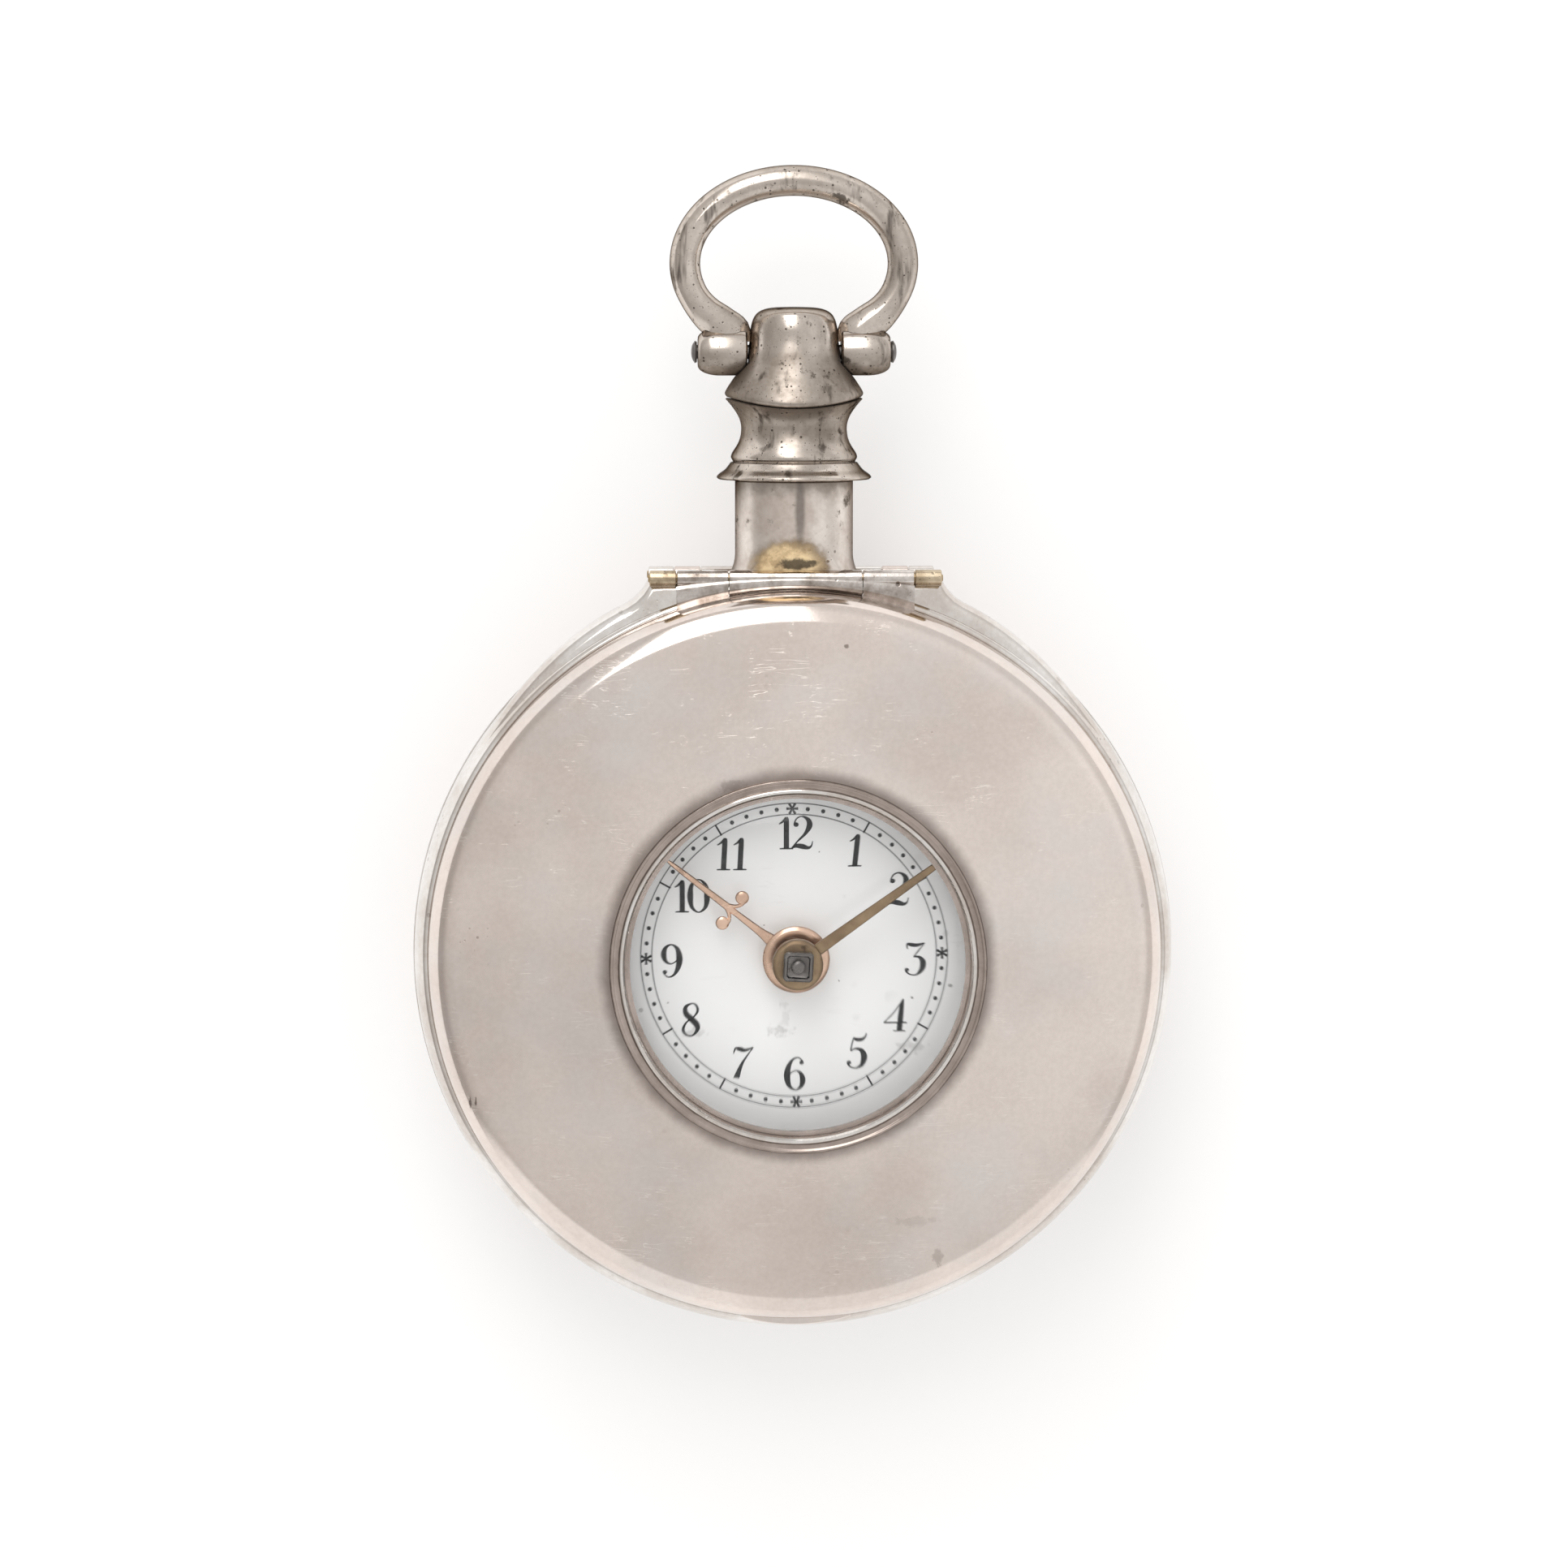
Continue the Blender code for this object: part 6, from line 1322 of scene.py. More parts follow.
@dataclass
class Case:
    """The band, its two hinges, both covers, the raised bezel, the glass and the inner dome."""

    finishes: Finishes
    sides: int = 192
    smaller_sides: int = 160
    hinge_half: float = 10.2
    hinge_r: float = 0.58
    pin_r: float = 0.3
    knuckle_ends: Point = (4.7, 8.3)
    back_knuckle: float = 1.85
    crown_r: float = 124.0
    crown_edge: Point = (2.45, 2.6)
    shoulder: Point = (2.45, 2.56)
    cover_wall: float = 0.6
    aperture_r: float = 12.9
    ring_r: float = 13.15
    ring_inner_r: float = 12.1
    ring_depth: float = 0.8
    well_r: float = 21.55
    well_mouth_r: float = 24.4
    snap_wall: float = 1.2
    back_drop: float = 4.6
    back_wall: float = 0.7
    winding_r: float = 2.0
    rib_levels: tuple[Point, ...] = (
        (0.1, 16.14), (0.24, 16.26), (0.42, 16.34), (0.62, 16.38), (0.8, 16.37), (0.92, 16.31), (1.0, 16.2),
    )

    def build(self) -> None:
        """Make every piece of the case."""
        self.front_bezel()
        self.case_middle()
        self.front_cover()
        self.raised_bezel()
        self.glass()
        self.back_cover()
        self.inner_dome()
        self.hinge_pins()

    def crown_z(self, radius: float) -> float:
        """The height of the front cover's crown at a radius."""
        edge_r = SEAM_R - self.crown_edge[0]
        edge_z = SEAM_Z + GAP + self.crown_edge[1]
        return edge_z + (edge_r**2 - radius**2) / (2 * self.crown_r)

    def snap_r(self) -> float:
        """The radius at which the back cover and the dome snap on."""
        return back_point(back_share(self.back_drop))[0] - self.snap_wall

    def back_knuckle_ends(self) -> Point:
        """Where the back cover's own knuckles start and end, from the hinge's middle."""
        return self.hinge_half - 2 * self.back_knuckle, self.hinge_half - self.back_knuckle

    def knuckle(self, form: Form, first: float, last: float, axis: Sequence[float]) -> None:
        """Add a hinge knuckle, a short tube about the hinge's axis with eased ends.

        Args:
            form: The form to add it to.
            first: Where it starts along the hinge.
            last: Where it ends.
            axis: A point on the hinge's axis.
        """
        r, bore, ease = self.hinge_r, self.pin_r + 0.04, 0.06
        profile = [(bore, first), (r - ease, first), (r, first + ease)]
        profile += [(r, last - ease), (r - ease, last), (bore, last)]
        form.turned(profile, 28, at(axis) @ Lie.ALONG_X.turn(), loop=True)

    def leaf(self, form: Form, first: float, last: float, rim_r: float, high: float) -> None:
        """Add a leaf of the back hinge that follows the rim and runs out to its knuckle.

        Args:
            form: The form to add it to.
            first: Where it starts along the hinge.
            last: Where it ends.
            rim_r: The radius that its inner end follows.
            high: The level of its face.
        """
        low = high - 0.5
        _, out, up = BACK_AXIS
        rings = []
        for x in stations(first, last, 14):
            root = sqrt(rim_r**2 - x**2)
            ring = [(x, root, low), (x, out - 0.35, low), (x, out - 0.05, up - 0.52), (x, out - 0.05, up - 0.37)]
            rings.append(ring + [(x, out - 0.36, up - 0.16), (x, root, high)])
        form.swept(rings)
        self.knuckle(form, first, last, BACK_AXIS)

    def hood(self, form: Form, first: float, last: float, root_r: float, low: float) -> None:
        """Add the smooth rib over the front hinge, from the cover's edge to a crest before the knuckles.

        Args:
            form: The form to add it to.
            first: Where it starts along the hinge.
            last: Where it ends.
            root_r: The radius that its inner end follows.
            low: The level of its underside.
        """
        ledge = max(low + 0.05, SEAM_Z - 0.02)
        rings = []
        for x in stations(first, last, 18):
            root = sqrt(root_r**2 - x**2)
            crease = sqrt((SEAM_R + GAP) ** 2 - x**2)
            crest = 26.85 - 0.0082 * x * x
            ring = [(x, crest + 0.04, low), (x, root, low), (x, root, ledge), (x, crease, ledge + 0.02)]
            ring += [(x, crease + (crest - crease) * share, level) for share, level in self.rib_levels]
            rings.append(ring + [(x, crest + 0.04, 16.08)])
        form.swept(rings)

    def flange(self, form: Form, low: float, high: float) -> None:
        """Add the front hinge's seat: straight behind the tube, then a lip that tapers far along the band.

        Args:
            form: The form to add it to.
            low: The level of its underside.
            high: The level of its top.
        """
        straight, near, far = 20.87, 25.5, 57.0
        full_r, end_r, root = 27.62, 26.8, 25.2
        rings = []
        for bearing in stations(-far, far, 76):
            off = abs(bearing)
            if off <= straight:
                reach = FRONT_AXIS[1] / cos(radians(off))
            elif off <= near:
                share = (off - straight) / (near - straight)
                corner = FRONT_AXIS[1] / cos(radians(straight))
                reach = corner + (full_r - corner) * share * (2 - share)
            else:
                share = (off - near) / (far - near)
                reach = full_r + (end_r - full_r) * share * share * (3 - 2 * share)
            angle = radians(90 + bearing)
            ring = [(root, low), (reach - 0.3, low), (reach - 0.06, low + 0.25), (reach, low + 0.7)]
            ring += arc((reach - 0.92, high - 1.0), (0.9, 1.0), 0, 90, 3) + [(root, high)]
            rings.append([(*polar(r, angle), z) for r, z in ring])
        form.swept(rings)

    def seat(self, form: Form, rim_r: float, root: float, low: float, high: float) -> None:
        """Add the back hinge's seat, a low block that swells out of the band and tapers at both ends.

        Args:
            form: The form to add it to.
            rim_r: The band's radius there.
            root: How far out its inner side lies.
            low: The level of its underside.
            high: The level of its top.
        """
        half = sqrt(rim_r**2 - root**2)
        rings = []
        for x in stations(-half, half, 40):
            out = sqrt(max(rim_r**2 - x**2, 0.0))
            flank = min(1.0, max(0.0, (half - abs(x)) / max(half - self.hinge_half + 0.4, 0.3)))
            edge = max(out, out + (BACK_AXIS[1] - out) * flank * flank * (3 - 2 * flank))
            ease = min(0.5, edge - root - 0.1, high - low - 0.1)
            ring = [(x, root, low), (x, edge - 0.15, low), (x, edge, low + 0.15), (x, edge, high - ease)]
            rings.append(ring + round_bevel(x, edge, high, ease, (22, 45, 68, 90)) + [(x, root, high)])
        form.swept(rings)

    def lip(self, form: Form, rim_r: float, low: float) -> None:
        """Add the thumb lip at six, a thin tongue with a rounded edge.

        Args:
            form: The form to add it to.
            rim_r: The radius of the rim that it stands on.
            low: The level of its underside.
        """
        half, proud, thick = 3.9, 0.45, 0.4
        rings = []
        for share in stations(0, 1, 24):
            angle = -pi / 2 + half / rim_r * (2 * share - 1)
            swell = proud * sin(pi * (0.04 + 0.92 * share)) ** 0.6
            section = [(-0.3, 0.0), (swell - 0.08, 0.0), (swell, 0.1)]
            section += [(swell, thick - 0.1), (swell - 0.08, thick), (-0.3, thick)]
            way = Vector((cos(angle), sin(angle), 0))
            rings.append([way * (rim_r + out) + Vector((0, 0, low + up)) for out, up in section])
        form.swept(rings)

    def front_bezel(self) -> None:
        """Make the ring that shows around the front cover, with the dial's well and the front hinge's seat."""
        well, mouth, inner = self.well_r, self.well_mouth_r, SEAM_R - 0.82
        profile = arc((SEAM_R, MID_Z), (1.07, 2.95), 0, 77, 22)
        profile += [(SEAM_R + 0.16, SEAM_Z - 0.04), (SEAM_R + 0.04, SEAM_Z - 0.04), (SEAM_R - 0.16, SEAM_Z - 0.14)]
        profile += [(SEAM_R - 0.24, SEAM_Z), (SEAM_R - 0.7, SEAM_Z), (inner, SEAM_Z + 0.05), (inner, SEAM_Z + 0.54)]
        profile += [(inner - 0.06, SEAM_Z + 0.6), (mouth + 0.06, SEAM_Z + 0.6), (mouth, SEAM_Z + 0.54)]
        profile += [(mouth, MID_Z + 2.4), (well + 0.07, MID_Z + 2.3), (well, MID_Z + 2.22), (well, MID_Z)]
        form = Form().turned(profile, self.sides, loop=True)
        self.flange(form, MID_Z + 0.08, FRONT_AXIS[2] - 0.1)
        dress(form, "front_bezel", "case", "polished_silver", self.finishes.band)
        near, far = self.knuckle_ends[0] - KNUCKLE_GAP, self.knuckle_ends[1] + KNUCKLE_GAP
        rib = Form()
        self.knuckle(rib, -near, near, FRONT_AXIS)
        self.hood(rib, -near, near, SEAM_R + 0.03, SEAM_Z - 0.35)
        # the rib wears the finish with the painted wavy reflection
        mount(rib.piece("front_hinge_rib"), "case", "polished_silver", self.finishes.painted_wavy_reflection)
        tubes = Form()
        for first, last in ((-self.hinge_half, -far), (far, self.hinge_half)):
            self.knuckle(tubes, first, last, FRONT_AXIS)
        mount(tubes.piece("front_hinge_tubes"), "case", "brass", self.finishes.pale_brass)

    def case_middle(self) -> None:
        """Make the case behind the fine seam, with the movement's ledge and the back hinge's seat."""
        outer = back_curve(back_share(0.08), back_share(self.back_drop), 0, 26)
        rim_r = outer[-1][0]
        snap_r = rim_r - self.snap_wall
        ledge_r, ledge_low, ledge_high = 20.7, 8.82, 10.82
        profile = outer + [(snap_r, BACK_SEAM_Z), (snap_r, BACK_SEAM_Z - 0.54), (snap_r - 0.06, BACK_SEAM_Z - 0.6)]
        profile += [(snap_r - 0.6, BACK_SEAM_Z - 0.6), (snap_r - 0.6, ledge_low), (ledge_r, ledge_low)]
        profile += [(ledge_r, ledge_high), (self.well_r, ledge_high), (self.well_r, MID_Z - 0.08)]
        form = Form().turned(profile, self.sides, loop=True)
        self.seat(form, rim_r - 0.03, snap_r - 0.3, BACK_SEAM_Z + GAP, BACK_SEAM_Z + 0.56)
        near, far = self.back_knuckle_ends()
        near, far = near - KNUCKLE_GAP, far + KNUCKLE_GAP
        for first, last in ((-self.hinge_half, -far), (-near, near), (far, self.hinge_half)):
            self.knuckle(form, first, last, BACK_AXIS)
        dress(form, "case_middle", "case", "silver", self.finishes.band)

    def front_cover(self) -> None:
        """Make the front lid: crowned, with a rolled shoulder, a round aperture, hinge leaves and the lip."""
        low = SEAM_Z + GAP
        centre = (SEAM_R - self.shoulder[0], low)
        outer = [(SEAM_R - 0.24, low), (SEAM_R - 0.09, low + 0.04)] + arc(centre, self.shoulder, 4, 79.8, 30)
        crown = [(r, self.crown_z(r)) for r in stations(outer[-1][0], self.aperture_r, 16)[1:]]
        inner = [(r, z - self.cover_wall) for r, z in crown[::-1]]
        inner += arc((centre[0] - 0.2, low), (self.shoulder[0] - 0.52, self.shoulder[1] - 0.5), 88, 4, 12)
        inner.append((SEAM_R - 0.72, low))
        form = Form().turned(outer + crown + inner, self.sides, loop=True)
        near, far = self.knuckle_ends
        leaves = Form()
        for first, last in ((-far, -near), (near, far)):
            self.hood(leaves, first, last, SEAM_R - 0.36, low)
            self.knuckle(leaves, first, last, FRONT_AXIS)
        # the leaves wear the finish with the painted wavy reflection
        mount(leaves.piece("front_cover_leaves"), "front_lid", "silver", self.finishes.painted_wavy_reflection)
        self.lip(form, SEAM_R, low)
        dress(form, "front_cover", "front_lid", "silver", self.finishes.cover)

    def raised_bezel(self) -> None:
        """Make the raised ring that holds the glass: two beads with a shallow channel between them."""
        seat = self.crown_z(self.ring_r) + GAP
        top = seat + 0.42
        floor = self.crown_z(self.ring_r) - self.ring_depth
        inner, neck_r, ledge_r = self.ring_inner_r, 12.84, 11.7
        profile = [(self.ring_r - 0.06, seat)]
        profile += arc((self.ring_r - 0.15, top - 0.15), (0.15, 0.15), -30, 150, 10)
        profile += [(self.ring_r - 0.34, top - 0.1), (self.ring_r - 0.56, top - 0.12), (inner + 0.34, top - 0.08)]
        profile += [(inner + 0.29, top - 0.03), (inner + 0.23, top - 0.03), (inner + 0.03, top - 0.36)]
        profile += [(inner, floor + 0.3), (ledge_r, floor + 0.3), (ledge_r, floor), (neck_r, floor), (neck_r, seat)]
        form = Form().turned(profile, self.sides, loop=True)
        dress(form, "aperture_bezel", "front_lid", "polished_silver", self.finishes.ring)
        rim = [(inner + 0.32, top - 0.3), (inner + 0.32, top - 0.02), (inner + 0.26, top + 0.03)]
        rim += [(inner + 0.1, top + 0.03), (inner - 0.02, top - 0.1)]
        rim += [(inner - 0.02, floor + 0.62), (inner + 0.1, floor + 0.62)]
        edge = Form().turned(rim, self.sides, loop=True)
        mount(edge.piece("aperture_rim_dressed"), "front_lid", "polished_silver", self.finishes.band)

    @staticmethod
    def cap(edge_r: float, base: float, rise: float) -> list[Point]:
        """Follow a round cap.

        Args:
            edge_r: The radius of its edge.
            base: The level of its edge.
            rise: How high it stands.

        Returns:
            Its points, from the edge to the top.
        """
        sphere = (edge_r**2 + rise**2) / (2 * rise)
        radii = [edge_r * (1 - share) for share in stations(0, 1, 28)]
        return [(radius, base + rise - sphere + sqrt(sphere**2 - radius**2)) for radius in radii]

    def glass(self) -> None:
        """Make the domed glass with its ground edge."""
        edge_r = self.ring_inner_r - 0.06
        low = self.crown_z(self.ring_r) - self.ring_depth + 0.3 + GAP
        outer = self.cap(edge_r, low + 0.5, 1.95)
        profile = outer[::-1] + [(edge_r, low + 0.08), (edge_r - 0.08, low)] + self.cap(edge_r - 0.7, low, 1.75)
        form = Form().turned(profile, self.smaller_sides)
        dress(form, "domed_glass", "front_lid", "glass", self.finishes.glass)

    def back_cover(self) -> None:
        """Make the rounded back with its resting flat, hinge leaves and lip."""
        outer = back_curve(back_share(self.back_drop + GAP), 1, 0, 40)
        rim_r = self.snap_r() + 0.1
        high, rim_low = BACK_SEAM_Z - GAP, BACK_SEAM_Z - 0.7
        inner = back_curve(back_share(MID_Z - rim_low + 0.1, self.back_wall), 1, self.back_wall, 24)
        profile = [(0.0, outer[-1][1])] + outer[::-1] + [(rim_r, high), (rim_r, rim_low)]
        form = Form().turned(profile + inner + [(0.0, inner[-1][1])], self.sides)
        near, far = self.back_knuckle_ends()
        middle = (outer[0][0] + rim_r) / 2
        for first, last in ((-far, -near), (near, far)):
            self.leaf(form, first, last, middle, high)
        self.lip(form, outer[0][0], high - 0.4)
        dress(form, "back_cover", "back_lid", "silver", self.finishes.back)

    def inner_dome(self) -> None:
        """Make the gilt dome over the movement, with the winding hole."""
        rim_r = self.snap_r() - 0.7
        top, shoulder, near, far = 8.76, 8.11, 1.7, 2.2
        outer = back_curve(back_share(MID_Z - shoulder + 0.5, near), 1, near, 24)
        inner = back_curve(back_share(MID_Z - shoulder, far), 1, far, 20)
        profile = [(0.0, outer[-1][1])] + outer[::-1] + [(rim_r, shoulder), (rim_r, top), (inner[0][0], top)]
        profile += inner + [(0.0, inner[-1][1])]
        item = Form().turned(profile, self.smaller_sides).piece("inner_dome_dressed")
        hole = [(0.0, -1.0), (self.winding_r, -1.0), (self.winding_r, 8.4), (0.0, 8.4)]
        cut_by(item, Form().turned(hole, 64, at((*FUSEE_AT, 0))))
        smoothed(item.data)
        mount(item, "case", "gilt", self.finishes.dome, "inner_dome")

    def hinge_pins(self) -> None:
        """Make the two hinge pins with their eased ends."""
        half, r = self.hinge_half + 0.1, self.pin_r
        profile = [(0.0, -half), (r - 0.08, -half), (r, -half + 0.1), (r, half - 0.1), (r - 0.08, half), (0.0, half)]
        for name, axis in (("front_hinge_pin", FRONT_AXIS), ("back_hinge_pin", BACK_AXIS)):
            form = Form().turned(profile, 24, at(axis) @ Lie.ALONG_X.turn())
            dress(form, name, "case", "brass", self.finishes.old_brass)


@dataclass
class Pendant:
    """The neck, the turned collar, the bell-shaped head, the bow and its screws."""

    finishes: Finishes
    sides: int = 128
    neck_sides: int = 192
    neck_r: float = 4.15
    collar_top: float = 38.6
    rim_r: float = 4.85
    smile: float = 0.7
    wire_r: float = 1.04
    collar_profile: tuple[Point, ...] = (
        (5.3, 33.57), (5.43, 33.68), (5.40, 33.80), (5.22, 33.98), (4.86, 34.24), (4.62, 34.52), (4.46, 34.74),
        (4.30, 34.80), (4.36, 34.93), (4.44, 35.12), (4.36, 35.40), (4.12, 35.78), (3.90, 36.16), (3.76, 36.60),
        (3.71, 37.05), (3.78, 37.42), (3.98, 37.80), (4.32, 38.16), (4.66, 38.42), (4.82, 38.52),
    )
    head_profile: tuple[Point, ...] = (
        (4.72, 38.67), (4.85, 38.86), (4.78, 39.20), (4.40, 40.00), (3.98, 40.78), (3.62, 41.50), (3.34, 42.20),
        (3.16, 42.95), (3.08, 43.55), (3.04, 44.10), (2.90, 44.66), (2.62, 45.12), (2.10, 45.42), (1.30, 45.56),
        (0.0, 45.60),
    )

    def build(self) -> None:
        """Make every piece of the pendant."""
        self.neck()
        self.collar()
        self.head()
        self.bow()
        self.screws()

    @staticmethod
    def outwards(side: Side) -> Matrix:
        """The turn that lays +Z outwards on a side, at the bow's axis."""
        return at(BOW_AXIS) @ (Lie.ALONG_X if side is Side.RIGHT else Lie.AGAINST_X).turn()

    def smiled(self, form: Form, level: float, fade: float) -> Form:
        """Lift the sides of a rim near a level, so that its parting line dips at the front.

        Args:
            form: The form.
            level: Where the rim is.
            fade: How far from it the lift reaches.

        Returns:
            The form.
        """
        for point in form.points:
            near = 1 - min(abs(point.y - level) / fade, 1)
            point.y += self.smile * near * (point.x / self.rim_r) ** 2
        return form

    def neck(self) -> None:
        """Make the neck, with the flat relief that bares the brass at its foot."""
        root, start, flare, top, swell = 25.8, 27.1, 1.3, 33.5, 0.3
        r, foot_r = self.neck_r, self.neck_r + swell
        profile = [(0.0, root), (foot_r, root), (foot_r, start)]
        profile += [(r + swell * (1 - share) ** 2, start + flare * share) for share in stations(0, 1, 8)[1:]]
        profile += [(r, level) for level in stations(start + flare, top, 24)[1:-1]]
        profile += [(r, top - 0.08), (r - 0.08, top), (0.0, top)]
        form = Form().turned(profile, self.neck_sides, Lie.ALONG_Y.turn())
        foot, foot_z, end = 26.5, 2.7, 30.2
        for point in form.points:
            if point.y < end:
                point.z = min(point.z, foot_z + (point.y - foot) * (r - foot_z) / 3.55)
        form.moved(at((0, 0, MID_Z)))
        mount(form.piece("pendant_neck_dressed", 30.0), "case", "silver", self.finishes.neck, "pendant_neck")

    def collar(self) -> None:
        """Make the collar: a dished flange, a crevice, a full lower bead, a waist and the rim."""
        low, top = 33.56, self.collar_top
        profile = [(0.0, low), (5.0, low)] + flowing(self.collar_profile, 4) + [(4.7, top), (0.0, top)]
        form = Form().turned(profile, self.sides, Lie.ALONG_Y.turn())
        self.smiled(form, top, 2.04).moved(at((0, 0, MID_Z)))
        dress(form, "pendant_collar", "case", "polished_silver", self.finishes.polished)

    def head(self) -> None:
        """Make the bell-shaped head, cut back at both sides for the bow's eyes."""
        low = self.collar_top + GAP
        form = Form().turned([(0.0, low)] + flowing(self.head_profile, 4), self.sides, Lie.ALONG_Y.turn())
        item = self.smiled(form, low, 4.16).moved(at((0, 0, MID_Z))).piece("pendant_head_dressed")
        recess = [(0.0, 3.18), (1.77, 3.18), (1.77, 5.6), (0.0, 5.6)]
        cut_by(item, *(Form().turned(recess, 64, self.outwards(side)) for side in Side))
        smoothed(item.data)
        mount(item, "case", "polished_silver", self.finishes.polished, "pendant_head")

    def bow(self) -> None:
        """Make the oval bow with its soft front ridge, flared feet and barrel-shaped eyes."""
        half_width, middle, last, foot_steps = 7.63, 6.15, 36, 3
        line: list[tuple[float, float, float]] = [(4.72, 0.9, 1.72), (4.74, 1.35, 1.62)]
        for i, degrees in enumerate(stations(-46, 226, last)):
            angle = radians(degrees)
            reach = 5.75 if 0 < degrees < 180 else 5.7
            from_foot = min(i, last - i, foot_steps) / foot_steps
            spread = self.wire_r + 0.26 * (1 - from_foot) ** 1.5
            line.append((half_width * cos(angle), middle + reach * sin(angle), spread))
        line = flowing([*line, (-4.74, 1.35, 1.62), (-4.72, 0.9, 1.72)], 4)
        rings = []
        for (x, y, spread), side in zip(line, sides_of(line)):
            ring = []
            for angle in stations(0, 2 * pi, 32)[:-1]:
                ridge = 0.985 * (1 + 0.045 * cos(2 * angle) ** 2)
                across, up = cos(angle) * spread * ridge, sin(angle) * self.wire_r * ridge
                ring.append((x + side.x * across, y + side.y * across, up))
            rings.append(ring)
        form = Form().swept(rings, Ends.CAPPED, at(BOW_AXIS))
        eye = [(0.0, 3.3), (1.4, 3.3), (1.58, 3.42), (1.65, 3.7), (1.65, 5.2)]
        eye += arc((0.95, 5.2), (0.7, 1.55), 0, 90, 12)[1:] + [(0.0, 6.75)]
        for side in (Side.RIGHT, Side.LEFT):
            form.turned(eye, 64, self.outwards(side))
        dress(form, "bow", "bow_ring", "polished_silver", self.finishes.polished)

    def screws(self) -> None:
        """Make the two bow screws, with domed slotted heads."""
        profile = [(0.0, 1.86), (0.5, 1.86), (0.5, 6.81), (0.72, 6.81), (0.77, 6.88), (0.77, 6.98)]
        profile += arc((0.0, 6.9), (0.74, 0.31), 20, 90, 6)[:-1] + [(0.0, 7.21)]
        for side in Side:
            name = f"bow_screw_{side.name.lower()}"
            item = Form().turned(profile, 32, self.outwards(side)).piece(f"{name}_dressed")
            near, far = side.value * 7.08, side.value * 7.5
            slot = Form().slab([(near, -1.0), (far, -1.0), (far, 1.0), (near, 1.0)], -0.09, 0.09, at(BOW_AXIS))
            mount(cut_by(item, slot), "case", "steel", self.finishes.steel, name)


# The dial and the hands


# Each figure as strokes of (x, height, half width), in thousandths of the figure's height.
FIGURES: dict[str, tuple[tuple, ...]] = {
    "0": (
        (
            Stroke.LOOP,
            (0, 1000, 20), (-180, 840, 50), (-225, 500, 80), (-180, 160, 50),
            (0, 0, 20), (180, 160, 50), (225, 500, 80), (180, 840, 50),
        ),
    ),
    "1": (
        (Stroke.LINE, (30, 985, 30), (30, 900, 66), (30, 500, 70), (30, 30, 70)),
        (Stroke.LINE, (20, 980, 20), (-70, 840, 30), (-170, 770, 14)),
        (Stroke.LINE, (-150, 14, 18), (30, 20, 26), (210, 14, 18)),
    ),
    "2": (
        (Stroke.BALL, (-150, 750, 70)),
        (
            Stroke.LINE,
            (-200, 780, 18), (-130, 940, 22), (20, 1000, 24), (170, 900, 60),
            (210, 720, 78), (100, 480, 45), (-100, 250, 24), (-260, 40, 16),
        ),
        (Stroke.LINE, (-270, 30, 16), (-140, 100, 60), (20, 80, 78), (170, 40, 50), (260, 100, 22), (290, 240, 12)),
    ),
    "3": (
        (Stroke.LINE, (-210, 800, 14), (-210, 950, 30), (-100, 930, 55), (60, 920, 50), (250, 990, 14)),
        (Stroke.LINE, (250, 985, 14), (100, 760, 18), (-20, 570, 18)),
        (
            Stroke.LINE,
            (-40, 560, 20), (120, 550, 40), (220, 400, 80), (200, 180, 70),
            (60, 10, 28), (-120, 20, 20), (-230, 130, 30),
        ),
        (Stroke.BALL, (-200, 160, 58)),
    ),
    "4": (
        (Stroke.LINE, (160, 1000, 20), (-60, 600, 18), (-310, 270, 16)),
        (Stroke.LINE, (-320, 270, 24), (300, 270, 24)),
        (Stroke.LINE, (150, 990, 20), (130, 800, 55), (120, 500, 72), (120, 30, 72)),
        (Stroke.LINE, (-40, 14, 18), (280, 14, 18)),
    ),
    "5": (
        (Stroke.LINE, (-100, 920, 20), (-140, 740, 18), (-170, 530, 18)),
        (Stroke.LINE, (-110, 930, 30), (0, 880, 55), (120, 890, 50), (210, 970, 24), (240, 1080, 12)),
        (
            Stroke.LINE,
            (-170, 530, 18), (-30, 600, 30), (130, 540, 60), (200, 340, 85),
            (140, 100, 55), (-20, 0, 24), (-170, 50, 22), (-240, 160, 30),
        ),
        (Stroke.BALL, (-200, 170, 60)),
    ),
    "6": (
        (Stroke.BALL, (170, 840, 60)),
        (
            Stroke.LINE,
            (200, 880, 20), (80, 995, 20), (-80, 920, 35), (-190, 680, 70), (-220, 400, 85), (-160, 120, 55),
            (0, 0, 22), (150, 100, 50), (200, 300, 75), (150, 500, 50), (20, 590, 20), (-120, 520, 18), (-190, 400, 20),
        ),
    ),
    "7": (
        (Stroke.LINE, (-240, 780, 14), (-220, 940, 30), (-100, 920, 62), (50, 880, 50), (250, 970, 16)),
        (Stroke.LINE, (250, 970, 16), (120, 680, 24), (30, 420, 45), (-30, 20, 85)),
    ),
    "8": (
        (
            Stroke.LOOP,
            (0, 1000, 22), (-160, 900, 50), (-150, 700, 72), (0, 530, 85), (150, 360, 82), (190, 200, 55), (80, 20, 26),
            (-80, 20, 26), (-190, 180, 40), (-130, 400, 26), (60, 580, 22), (160, 760, 34), (120, 930, 30),
        ),
    ),
    "9": (
        (Stroke.BALL, (-170, 160, 60)),
        (
            Stroke.LINE,
            (-200, 120, 20), (-80, 5, 20), (80, 80, 35), (190, 320, 70), (220, 600, 85), (160, 880, 55), (0, 1000, 22),
            (-150, 900, 50), (-200, 700, 75), (-150, 500, 50), (-20, 410, 20), (120, 480, 18), (190, 600, 20),
        ),
    ),
}


